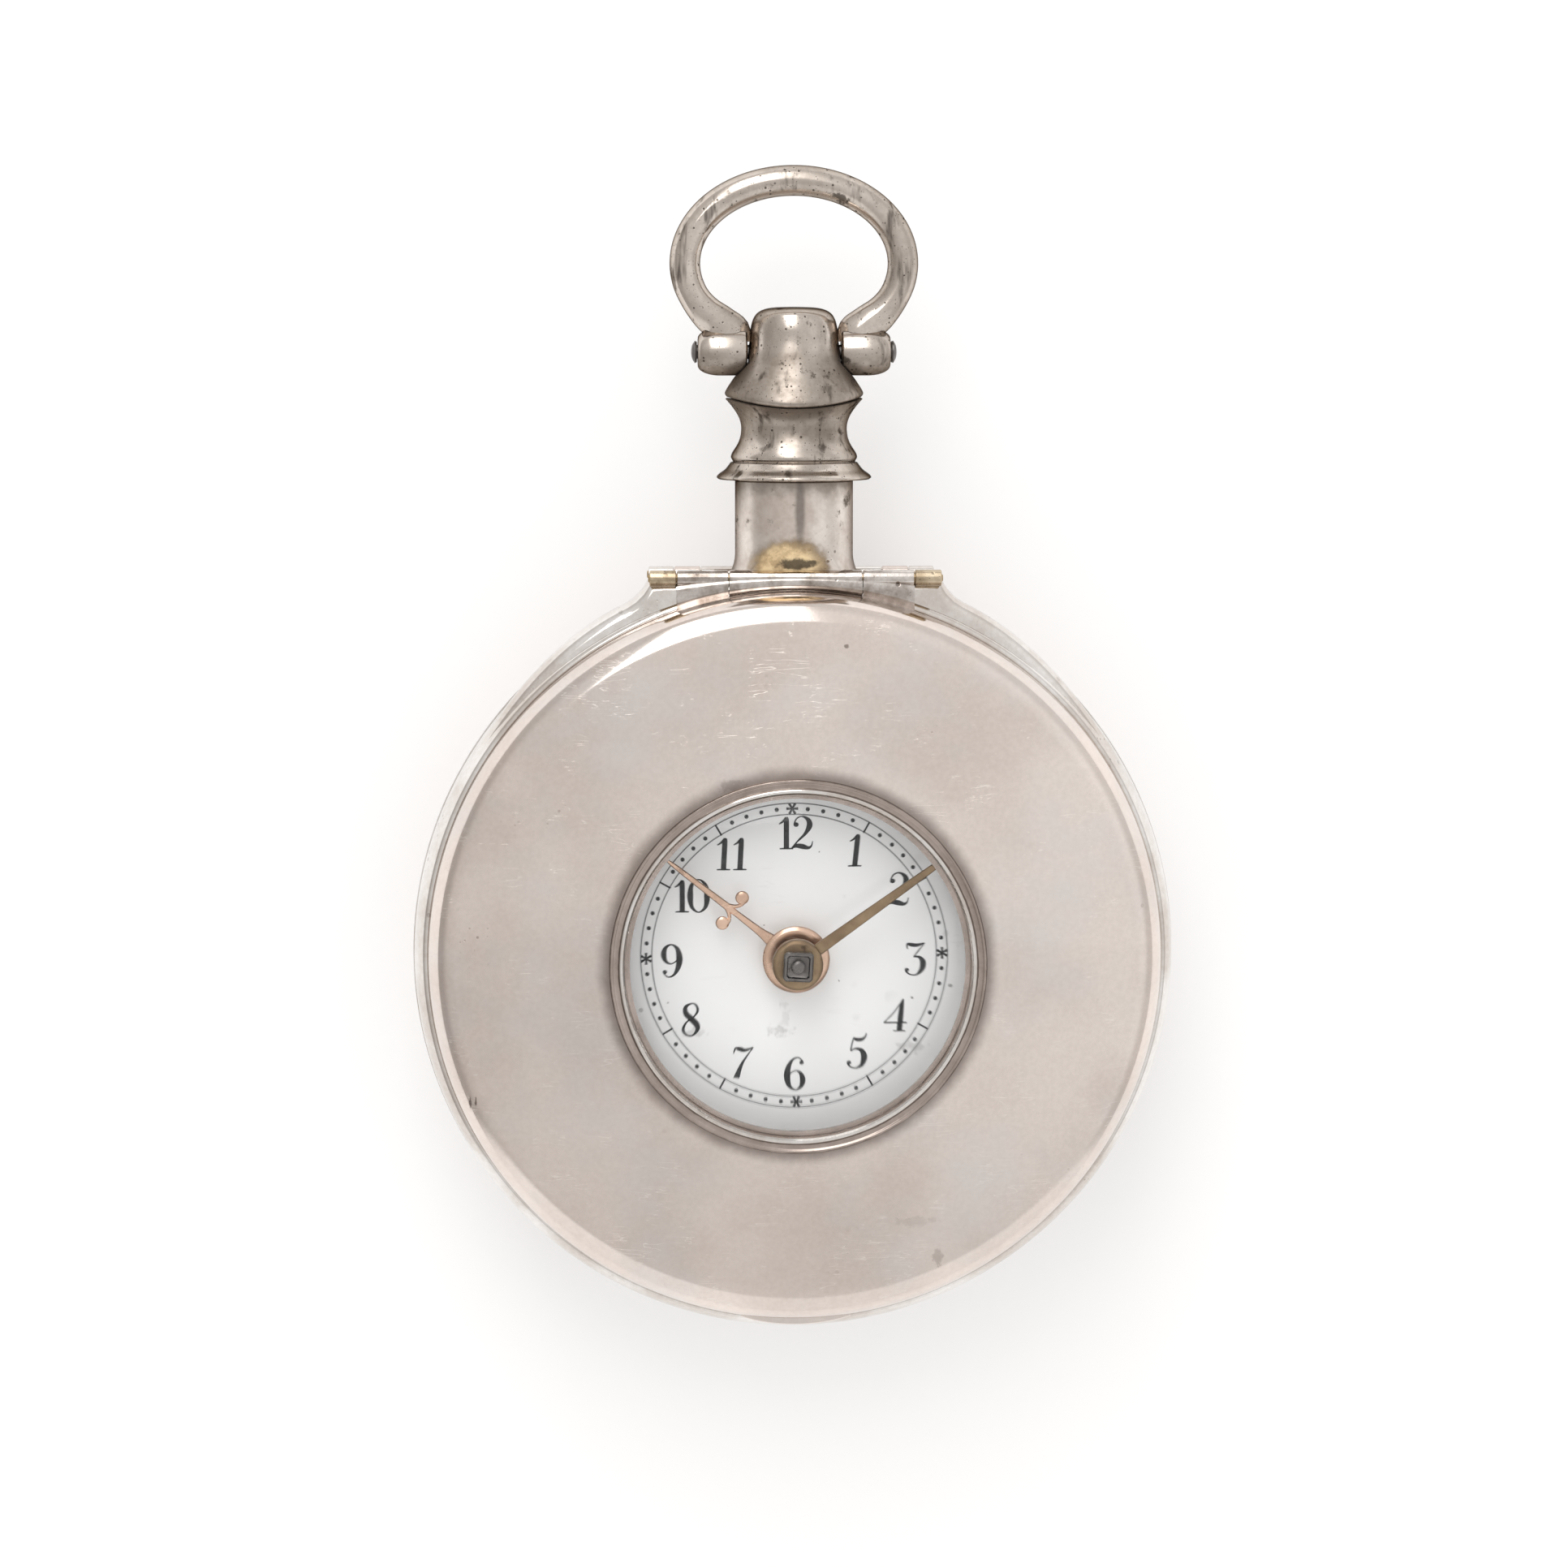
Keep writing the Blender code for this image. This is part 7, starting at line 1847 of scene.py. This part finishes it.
def draw_figure(form: Form, figure: str, place: Matrix, size: float, low: float, high: float) -> None:
    """Add one figure to a form.

    Args:
        form: The form to add it to.
        figure: The figure, 0 to 9.
        place: Where its foot's middle goes, and how it is turned.
        size: Its height.
        low: The level of its underside.
        high: The level of its face.
    """
    for kind, *parts in FIGURES[figure]:
        knots = [tuple(value / 1000 for value in part) for part in parts]
        if kind is Stroke.BALL:
            x, y, r = (size * value for value in knots[0])
            form.slab(arc((x, y), (r, r), 0, 360, 20)[:-1], low, high, place)
            continue
        joined = kind is Stroke.LOOP
        line = [(size * x, size * y, size * half) for x, y, half in flowing(knots, 7, joined)]
        form.ribbon(line, low, high, place, Ends.JOINED if joined else Ends.CAPPED)


@dataclass
class Dial:
    """The enamel dial with its printed chapter ring and numerals."""

    finishes: Finishes
    radius: float = 21.3
    hole_r: float = 1.6
    foot_at: float = 18.6
    foot_r: float = 0.5
    foot_low: float = 10.28
    thickness: float = 0.8
    ease: float = 0.25
    ink: Point = (DIAL_TOP - 0.02, DIAL_TOP + 0.012)
    turn: float = -0.8
    shift: Point = (-0.06, 0.0)
    rings: Point = (10.07, 10.85)
    ring_half: float = 0.034
    dot_ring: float = 10.47
    height: float = 2.32
    width_share: float = 1.14
    places: tuple[tuple[str, float, float, float], ...] = (
        ("12", -0.12, 8.76, 0.0),
        ("1", 4.24, 7.51, 6.0),
        ("2", 7.26, 4.72, 2.0),
        ("3", 8.47, -0.26, 2.0),
        ("4", 7.17, -4.29, 5.0),
        ("5", 4.38, -6.91, 2.0),
        ("6", 0.01, -8.44, 0.0),
        ("7", -3.86, -7.62, 12.0),
        ("8", -7.37, -4.52, 4.0),
        ("9", -8.76, -0.31, 0.0),
        ("10", -7.43, 4.31, 0.0),
        ("11", -4.50, 7.29, 3.0),
    )

    def build(self) -> None:
        """Make the dial and everything printed on it."""
        self.plate()
        self.numerals()
        self.track()

    def plate(self) -> None:
        """Make the dial's plate, with eased enamel edges and its three feet."""
        r, hole, ease, under = self.radius, self.hole_r, self.ease, DIAL_TOP - self.thickness
        level = DIAL_TOP - ease
        profile = [(hole + 0.06, under), (r - 0.06, under), (r, under + 0.06), (r, level - 0.01)]
        profile += arc((r - ease, level), (ease, ease), 5, 90, 6)
        profile += arc((hole + ease, level), (ease, ease), 90, 180, 6) + [(hole, under + 0.06)]
        form = Form().turned(profile, 160, loop=True)
        foot = [(0.0, self.foot_low), (self.foot_r, self.foot_low), (self.foot_r, under + 0.3), (0.0, under + 0.3)]
        for bearing in (35, 155, 275):
            form.turned(foot, 24, at((*polar(self.foot_at, radians(bearing)), 0)))
        dress(form, "dial", "case", "enamel", self.finishes.enamel)

    def numerals(self) -> None:
        """Draw the twelve numerals, upright, in old-style figures."""
        form = Form()
        for text, x, y, lean in self.places:
            pitch = self.height * (0.29 if text in ("12", "11") else 0.31) * 1.72
            start = -pitch * (len(text) - 1) / 2
            shear = Matrix.Identity(4)
            shear[0][0] = self.width_share
            shear[0][1] = tan(radians(lean))
            for i, figure in enumerate(text):
                foot = at((x + start + pitch * i, y, 0)) @ shear @ at((0, -self.height / 2, 0))
                draw_figure(form, figure, foot, self.height, *self.ink)
        mount(form.piece("dial_numerals"), "case", "enamel", self.finishes.ink)

    def star(self) -> Form:
        """Draw a six-pointed star of three crossed strokes.

        Returns:
            The star, about the origin.
        """
        low, high = self.ink
        form = Form()
        for i in range(3):
            x, y = polar(0.42, radians(60 * i + 30))
            form.ribbon([(-x, -y, 0.1), (0.0, 0.0, 0.055), (x, y, 0.1)], low, high + 0.0005 * i)
        return form

    def track(self) -> None:
        """Draw the chapter ring: two fine circles, minute dots, hour bars and four stars."""
        low, high = self.ink
        form = Form()
        for radius in self.rings:
            near, far = radius - self.ring_half, radius + self.ring_half
            section = [(near, low), (far, low), (far, high), (near, high)]
            form.turned(section, 200, at((*self.shift, 0)), loop=True)
        mount(form.piece("dial_circles"), "case", "enamel", self.finishes.ink)
        around = AroundCircle("Set around a circle")
        dot = Form().turned([(0.0, low), (0.15, low), (0.15, high), (0.0, high)], 16)
        bar = Form().slab([(-0.47, -0.062), (0.42, -0.062), (0.42, 0.062), (-0.47, 0.062)], low, high)
        empty = bpy.data.meshes.new("start")
        for name, mark, count, left_out in (
            ("dial_minute_dots", dot, 60, 5),
            ("dial_hour_bars", bar, 12, 3),
            ("dial_stars", self.star(), 4, 1),
        ):
            copy = mark.piece("mark")
            values = {
                "Count": count,
                "Leave Out Every": left_out,
                "Radius": self.dot_ring * MM,
                "Turn": -radians(self.turn),
                "Copy": copy,
                "Finish": self.finishes.ink,
            }
            item = around.run(name, empty, values)
            item.data.transform(at((self.shift[0] * MM, self.shift[1] * MM, 0)))
            mount(item, "case", "enamel", self.finishes.ink)
            bpy.data.objects.remove(copy)


@dataclass
class Hands:
    """The hour hand, the minute hand and the cannon pinion with its setting square."""

    finishes: Finishes
    hour_clockwise: float = 308.0
    minute_clockwise: float = 54.5
    hour_top: float = 17.1
    minute_top: float = 19.7
    minute_blade_top: float = MID_Z + 6.05
    square: float = 2.05
    leaves: int = 12
    square_steps: tuple[Point, ...] = (
        (0.98, 19.72), (1.0, 19.77), (1.0, 20.44), (0.93, 20.52), (0.78, 20.52), (0.7, 20.32), (0.5, 20.24),
    )
    hour_blade: tuple[Point, ...] = (
        (1.9, 0.52), (2.5, 0.4), (3.3, 0.29), (4.6, 0.24), (5.5, 0.22),
        (6.1, 0.26), (6.6, 0.25), (8.2, 0.22), (10.6, 0.17), (11.4, 0.11),
    )
    hour_arm: tuple[tuple[float, float, float], ...] = (
        (0.04, 6.4, 0.14), (0.16, 6.02, 0.15), (0.38, 5.68, 0.13), (0.7, 5.44, 0.12), (1.0, 5.42, 0.12),
    )
    minute_blade: tuple[Point, ...] = ((1.4, 0.42), (3.0, 0.4), (7.0, 0.33), (11.0, 0.25), (11.78, 0.22), (11.9, 0.16))

    def build(self) -> None:
        """Make the hands and the setting square."""
        self.hour_hand()
        self.minute_hand()
        self.cannon_pinion()

    def blade(self, form: Form, outline: Sequence[Point], low: float, high: float, place: Matrix) -> None:
        """Add a straight blade whose half width changes along it.

        Args:
            form: The form to add it to.
            outline: Points as (distance from the middle, half width).
            low: The level of its underside.
            high: The level of its face.
            place: Where it goes.
        """
        self.bevelled(form, flowing([(0.0, far, half) for far, half in outline], 6), low, high, place)

    def bevelled(self, form: Form, line: Sequence[Sequence[float]], low: float, high: float, place: Matrix) -> None:
        """Add a strip with softly bevelled upper edges.

        Args:
            form: The form to add it to.
            line: Points as (x, y, half width).
            low: The level of its underside.
            high: The level of its face.
            place: Where it goes.
        """
        rings = []
        for (x, y, half), side in zip(line, sides_of(line)):
            ease = min(0.06, half * 0.4)
            section = [(-half, low), (half, low), (half, high - ease)]
            section += [(half - ease, high), (-half + ease, high), (-half, high - ease)]
            rings.append([(x + side.x * across, y + side.y * across, level) for across, level in section])
        form.swept(rings, Ends.CAPPED, place)

    def hour_hand(self) -> None:
        """Make the hour hand: a worn collet, a thin blade and two scrolled arms with balls."""
        turn = Matrix.Rotation(-radians(self.hour_clockwise), 4, "Z")
        low, high = self.hour_top - 0.45, self.hour_top
        collet = eased_loop([(1.3, low), (2.36, low), (2.36, high - 0.16), (2.1, high), (1.3, high)], 0.05)
        form = Form().turned(collet, 72, turn, loop=True)
        low, high = low + 0.05, low + 0.25
        self.blade(form, self.hour_blade, low, high, turn)
        ball = [(0.0, low), (0.3, low), (0.44, low + 0.06), (0.48, low + 0.12)]
        ball += arc((0.0, low + 0.12), (0.48, 0.16), 0, 90, 6)[1:-1] + [(0.0, low + 0.28)]
        for side in Side:
            arm = flowing([(side.value * x, y, half) for x, y, half in self.hour_arm], 5)
            self.bevelled(form, arm, low + 0.005, high - 0.01, turn)
            form.turned(ball, 28, turn @ at((side.value * 1.13, 5.7, 0)))
        dress(form, "hour_hand", "hour", "rose_gold", self.finishes.rose)

    def minute_hand(self) -> None:
        """Make the plain tapered minute hand on its thick worn boss."""
        turn = Matrix.Rotation(-radians(self.minute_clockwise), 4, "Z")
        low, high = self.minute_top - 1.15, self.minute_top
        boss = [(0.91, low), (1.7, low), (1.77, low + 0.1), (1.77, high - 0.16), (1.55, high), (0.91, high)]
        form = Form().turned(eased_loop(boss, 0.06), 72, turn, loop=True)
        self.blade(form, self.minute_blade, self.minute_blade_top - 0.2, self.minute_blade_top, turn)
        dress(form, "minute_hand", "centre", "brass", self.finishes.hand_brass)

    def cannon_pinion(self) -> None:
        """Make the cannon pinion: leaves, pipe, and a square with a sunk top and a small pip."""
        low, high, pipe_low, pipe_high, bore = 12.04, 12.83, 12.1, 19.74, 0.42
        outline = []
        for i in range(self.leaves):
            for share, radius in ((-0.2, 0.9), (-0.09, 1.26), (0.09, 1.26), (0.2, 0.9)):
                angle = radians(-45) + (i + share) * 2 * pi / self.leaves
                outline.append(polar(radius, angle))
        form = Form().slab(outline, low, high)
        form.turned([(bore, pipe_low), (0.85, pipe_low), (0.85, pipe_high), (bore, pipe_high)], 40, loop=True)
        rings = []
        for scale, level in self.square_steps:
            half = self.square / 2 * scale
            ring = []
            for i in range(32):
                angle = 2 * pi * (i + 0.5) / 32
                across = max(abs(cos(angle)), abs(sin(angle)))
                reach = min(half / across, half * 1.32)
                ring.append((*polar(reach, angle), level))
            rings.append(ring)
        form.swept(rings, Ends.CAPPED, Matrix.Rotation(radians(-3), 4, "Z"))
        top = self.square_steps[3][1]
        pip = [(0.0, top - 0.34), (0.47, top - 0.34), (0.44, top)]
        pip += arc((0.0, top + 0.02), (0.4, 0.11), 20, 90, 5)[:-1] + [(0.0, top + 0.13)]
        form.turned(pip, 28)
        dress(form, "cannon_pinion", "centre", "steel", self.finishes.steel)


# The movement


@dataclass
class Movement:
    """Finishes for the wheels and plates, and fuller springs and chain."""

    finishes: Finishes
    frame: dict
    stretches: tuple[tuple[str, str], ...] = (
        ("chain_on_fusee", "fusee_group"),
        ("chain_run", "case"),
        ("chain_on_barrel", "barrel_group"),
    )
    link_half: float = 0.16
    coil_steps: int = 48

    def build(self) -> None:
        """Dress the solids that stay, and make the springs and the chain."""
        self.dress_solids()
        self.spring("hairspring", VERGE_AT, (1.1, 3.9), 3, 0.06)
        self.spring("mainspring", BARREL_AT, (1.76, 6.23), 4, 0.1)
        self.chain()

    def dress_solids(self) -> None:
        """Give every solid that still shows its own finish, by the record's slot."""
        kinds = {
            "silver": self.finishes.bright_steel,
            "polished_silver": self.finishes.polished,
            "gilt": self.finishes.gilt,
            "brass": self.finishes.brass,
            "rose_gold": self.finishes.rose,
            "steel": self.finishes.bright_steel,
            "blued_steel": self.finishes.blued,
            "enamel": self.finishes.enamel,
            "glass": self.finishes.glass,
        }
        for part in self.frame["record"]["subparts"]:
            item = self.frame["nodes"][part["node"]]
            item.data.materials.clear()
            item.data.materials.append(kinds[part["material_slot"]])

    def spring(self, node: str, centre: Point, reach: Point, turns: int, half: float) -> None:
        """Make a spring as a finely stepped flat coil.

        Args:
            node: The frame's node that it stands for.
            centre: The middle that it winds about.
            reach: The radius of its inner and of its outer end.
            turns: How often it winds.
            half: Half its thickness.
        """
        low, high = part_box(node)
        line = []
        for share in stations(0, 1, turns * self.coil_steps):
            angle = 2 * pi * turns * share
            radius = reach[0] + (reach[1] - reach[0]) * share
            line.append((*polar(radius, angle), half))
        form = Form().ribbon(line, low.z / MM, high.z / MM, at((*centre, 0)))
        dress(form, node, "case", "blued_steel", self.finishes.blued)

    def chain(self) -> None:
        """Make the chain's three stretches from small riveted plates."""
        half, link = self.link_half, Form()
        plate = []
        for x, start in ((-half, 90), (half, -90)):
            plate += arc((x, 0.0), (0.1, 0.09), start, start + 180, 6)
        for level in (-0.15, 0.09):
            link.slab(plate, level, level + 0.06)
        for x in (-half, half):
            link.turned([(0.0, -0.17), (0.045, -0.17), (0.045, 0.17), (0.0, 0.17)], 10, at((x, 0, 0)))
        copy = link.piece("link")
        along = AlongLine("Set along a line")
        values = {"Spacing": 2 * half * MM, "Copy": copy, "Finish": self.finishes.bright_steel}
        for node, body in self.stretches:
            base = self.middle_line(self.frame["nodes"][node].data, node)
            mount(along.run(f"{node}_dressed", base, values), body, "steel", self.finishes.bright_steel, node)
        bpy.data.objects.remove(copy)

    @staticmethod
    def middle_line(data: Mesh, name: str) -> Mesh:
        """Find the middle line of a strip of square section.

        Args:
            data: The strip's mesh, as loose triangles.
            name: The name of the stretch.

        Returns:
            A mesh of edges, with a smooth line through the middle of each ring of the strip.
        """
        shape = bmesh.new()
        shape.from_mesh(data)
        bmesh.ops.remove_doubles(shape, verts=shape.verts, dist=0.0005 * MM)
        shape.verts.ensure_lookup_table()
        corners = [corner.co.copy() for corner in shape.verts]
        edges = [(edge.verts[0].index, edge.verts[1].index) for edge in shape.edges]
        shape.free()
        ring_of = list(range(len(corners)))
        for a, b in edges:
            if (corners[a] - corners[b]).length < 0.6 * MM:
                old, new = ring_of[b], ring_of[a]
                ring_of = [new if ring == old else ring for ring in ring_of]
        rings: dict[int, list[Vector]] = {}
        for index, ring in enumerate(ring_of):
            rings.setdefault(ring, []).append(corners[index])
        beside: dict[int, set[int]] = {ring: set() for ring in rings}
        for a, b in edges:
            if ring_of[a] != ring_of[b]:
                beside[ring_of[a]].add(ring_of[b])
                beside[ring_of[b]].add(ring_of[a])
        order = [min(ring for ring, others in beside.items() if len(others) == 1)]
        while ahead := [ring for ring in beside[order[-1]] if ring not in order]:
            order.append(ahead[0])
        knots = [tuple(sum(rings[ring], Vector()) / len(rings[ring])) for ring in order]
        smooth = flowing(knots, 6 if len(knots) > 2 else 1)
        line = bpy.data.meshes.new(name)
        line.from_pydata(smooth, [(i, i + 1) for i in range(len(smooth) - 1)], [])
        return line


# The studio


@dataclass
class Studio:
    """The floor, the light and the camera."""

    centre_x: float = -0.70
    centre_y: float = 11.99
    tilt_x: float = 2.4
    tilt_y: float = 6.38
    distance: float = 300.0
    focal_share: float = 5217 / 1932
    film: float = 36.0
    floor_half: float = 1500.0
    floor_z: float = -0.02
    floor_colour: Colour = (0.74, 0.735, 0.73)
    floor_glow: Colour = (1.0, 0.99, 0.985)
    warm: Colour = (1.0, 0.965, 0.935)
    cool: Colour = (1.0, 0.995, 0.99)
    white: Colour = (1.0, 1.0, 1.0)
    box_at: tuple[float, float, float] = (-80, 384, 326)
    box_aim: tuple[float, float, float] = (0, 0, 12)
    box_size: Point = (230, 490)
    box_power: float = 0.9

    def build(self) -> None:
        """Make the floor, the world, the lamp and the camera."""
        self.camera()
        self.floor()
        self.world()
        self.lamp()
        bpy.context.scene.view_settings.view_transform = "Standard"

    @staticmethod
    def stand(name: str, data: ID, spot: Vector, across: Vector, back: Vector) -> Object:
        """Put a camera or a lamp into the scene.

        Args:
            name: Its name.
            data: Its data.
            spot: Where it stands, in metres.
            across: Its own X axis.
            back: Its own Z axis, which points away from what it looks at.

        Returns:
            The new object.
        """
        item = bpy.data.objects.new(name, data)
        bpy.context.scene.collection.objects.link(item)
        turn = Matrix((across, back.cross(across), back)).transposed().to_4x4()
        item.matrix_world = Matrix.Translation(spot) @ turn
        return item

    def camera(self) -> None:
        """Set the camera at the photograph's angle."""
        back = Vector((-tan(radians(self.tilt_x)), tan(radians(self.tilt_y)), 1)).normalized()
        target = Vector((self.centre_x, self.centre_y, MID_Z))
        data = bpy.data.cameras.new("camera")
        data.sensor_width = self.film
        data.lens = self.film * self.focal_share
        data.clip_start = 0.01
        right = Vector((0, 1, 0)).cross(back).normalized()
        bpy.context.scene.camera = self.stand("camera", data, (target + back * self.distance) * MM, right, back)

    def floor(self) -> None:
        """Lay a pale floor under the watch that keeps its shadow and fades to white."""
        data = bpy.data.meshes.new("floor")
        half, level = self.floor_half * MM, self.floor_z * MM
        corners = [(-half, -half, level), (half, -half, level), (half, half, level), (-half, half, level)]
        data.from_pydata(corners, [], [(0, 1, 2, 3)])
        item = bpy.data.objects.new("floor", data)
        bpy.context.scene.collection.objects.link(item)
        finish, w, shader = new_finish("pale_floor")
        plain = {"Base Color": self.floor_colour, "Roughness": 0.8, "Specular IOR Level": 0.0}
        for name, value in (plain | {"Emission Color": self.floor_glow}).items():
            w.put(shader[name], value)
        path = w.add("ShaderNodeLightPath").outputs
        seen = w.plus(path["Is Camera Ray"], path["Is Glossy Ray"], clamp=True)
        seen = w.plus(seen, path["Is Transmission Ray"], clamp=True)
        w.put(shader["Emission Strength"], w.times(seen, 0.235))
        behind = w.add("ShaderNodeNewGeometry").outputs["Backfacing"]
        w.put(shader["Alpha"], w.less(1.0, behind))
        data.materials.append(finish)

    def world(self) -> None:
        """Give the studio its pale surround, white to the sides and a soft grey overhead."""
        world = bpy.data.worlds.new("studio")
        world.use_nodes = True
        bpy.context.scene.world = world
        w = Wiring(world.node_tree)
        world.node_tree.nodes.clear()
        across, along, height = w.split(w.add("ShaderNodeTexCoord").outputs["Generated"])
        slant = w.plus(w.times(across, 0.2), w.times(along, 0.17))
        zenith = w.times(w.plus(1.0, slant), 0.79)
        behind = w.times(w.maths("MAXIMUM", along, 0.0), 0.2)
        sides = w.plus(w.times(across, 0.12), w.plus(behind, 0.58))
        level = w.between(w.span(height, 0.25, 0.62), sides, zenith)
        level = w.between(w.span(along, -0.66, -0.54, 1.0, 0.0), level, 0.98)
        tint = w.mix(w.span(level, 0.5, 0.9), self.warm, self.cool)
        surround = w.add("ShaderNodeVectorMath", {0: tint, "Scale": level}, operation="SCALE").outputs[0]
        path = w.add("ShaderNodeLightPath").outputs
        seen = w.plus(path["Is Camera Ray"], path["Is Transmission Ray"], clamp=True)
        lit = w.mix(path["Is Diffuse Ray"], w.mix(seen, surround, self.white), self.white)
        shade = w.add("ShaderNodeBackground", {"Color": lit, "Strength": 1.0})
        w.put(w.add("ShaderNodeOutputWorld").inputs[0], shade.outputs[0])

    def lamp(self) -> None:
        """Hang a large soft box over the twelve o'clock side, a little to the left."""
        data = bpy.data.lights.new("soft_box", "AREA")
        data.shape = "RECTANGLE"
        data.size, data.size_y = self.box_size[0] * MM, self.box_size[1] * MM
        data.energy = self.box_power
        spot = Vector(self.box_at) * MM
        back = (spot - Vector(self.box_aim) * MM).normalized()
        across = Vector((1, 0, 0))
        across = (across - back * across.dot(back)).normalized()
        self.stand("soft_box", data, spot, across, back)


def main() -> None:
    """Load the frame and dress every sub-assembly."""
    logging.basicConfig(level=logging.INFO, format="%(message)s")
    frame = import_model()
    finishes = Finishes()
    Movement(finishes, frame).build()
    Case(finishes).build()
    Pendant(finishes).build()
    Dial(finishes).build()
    Hands(finishes).build()
    Studio().build()


if __name__ == "__main__":
    main()
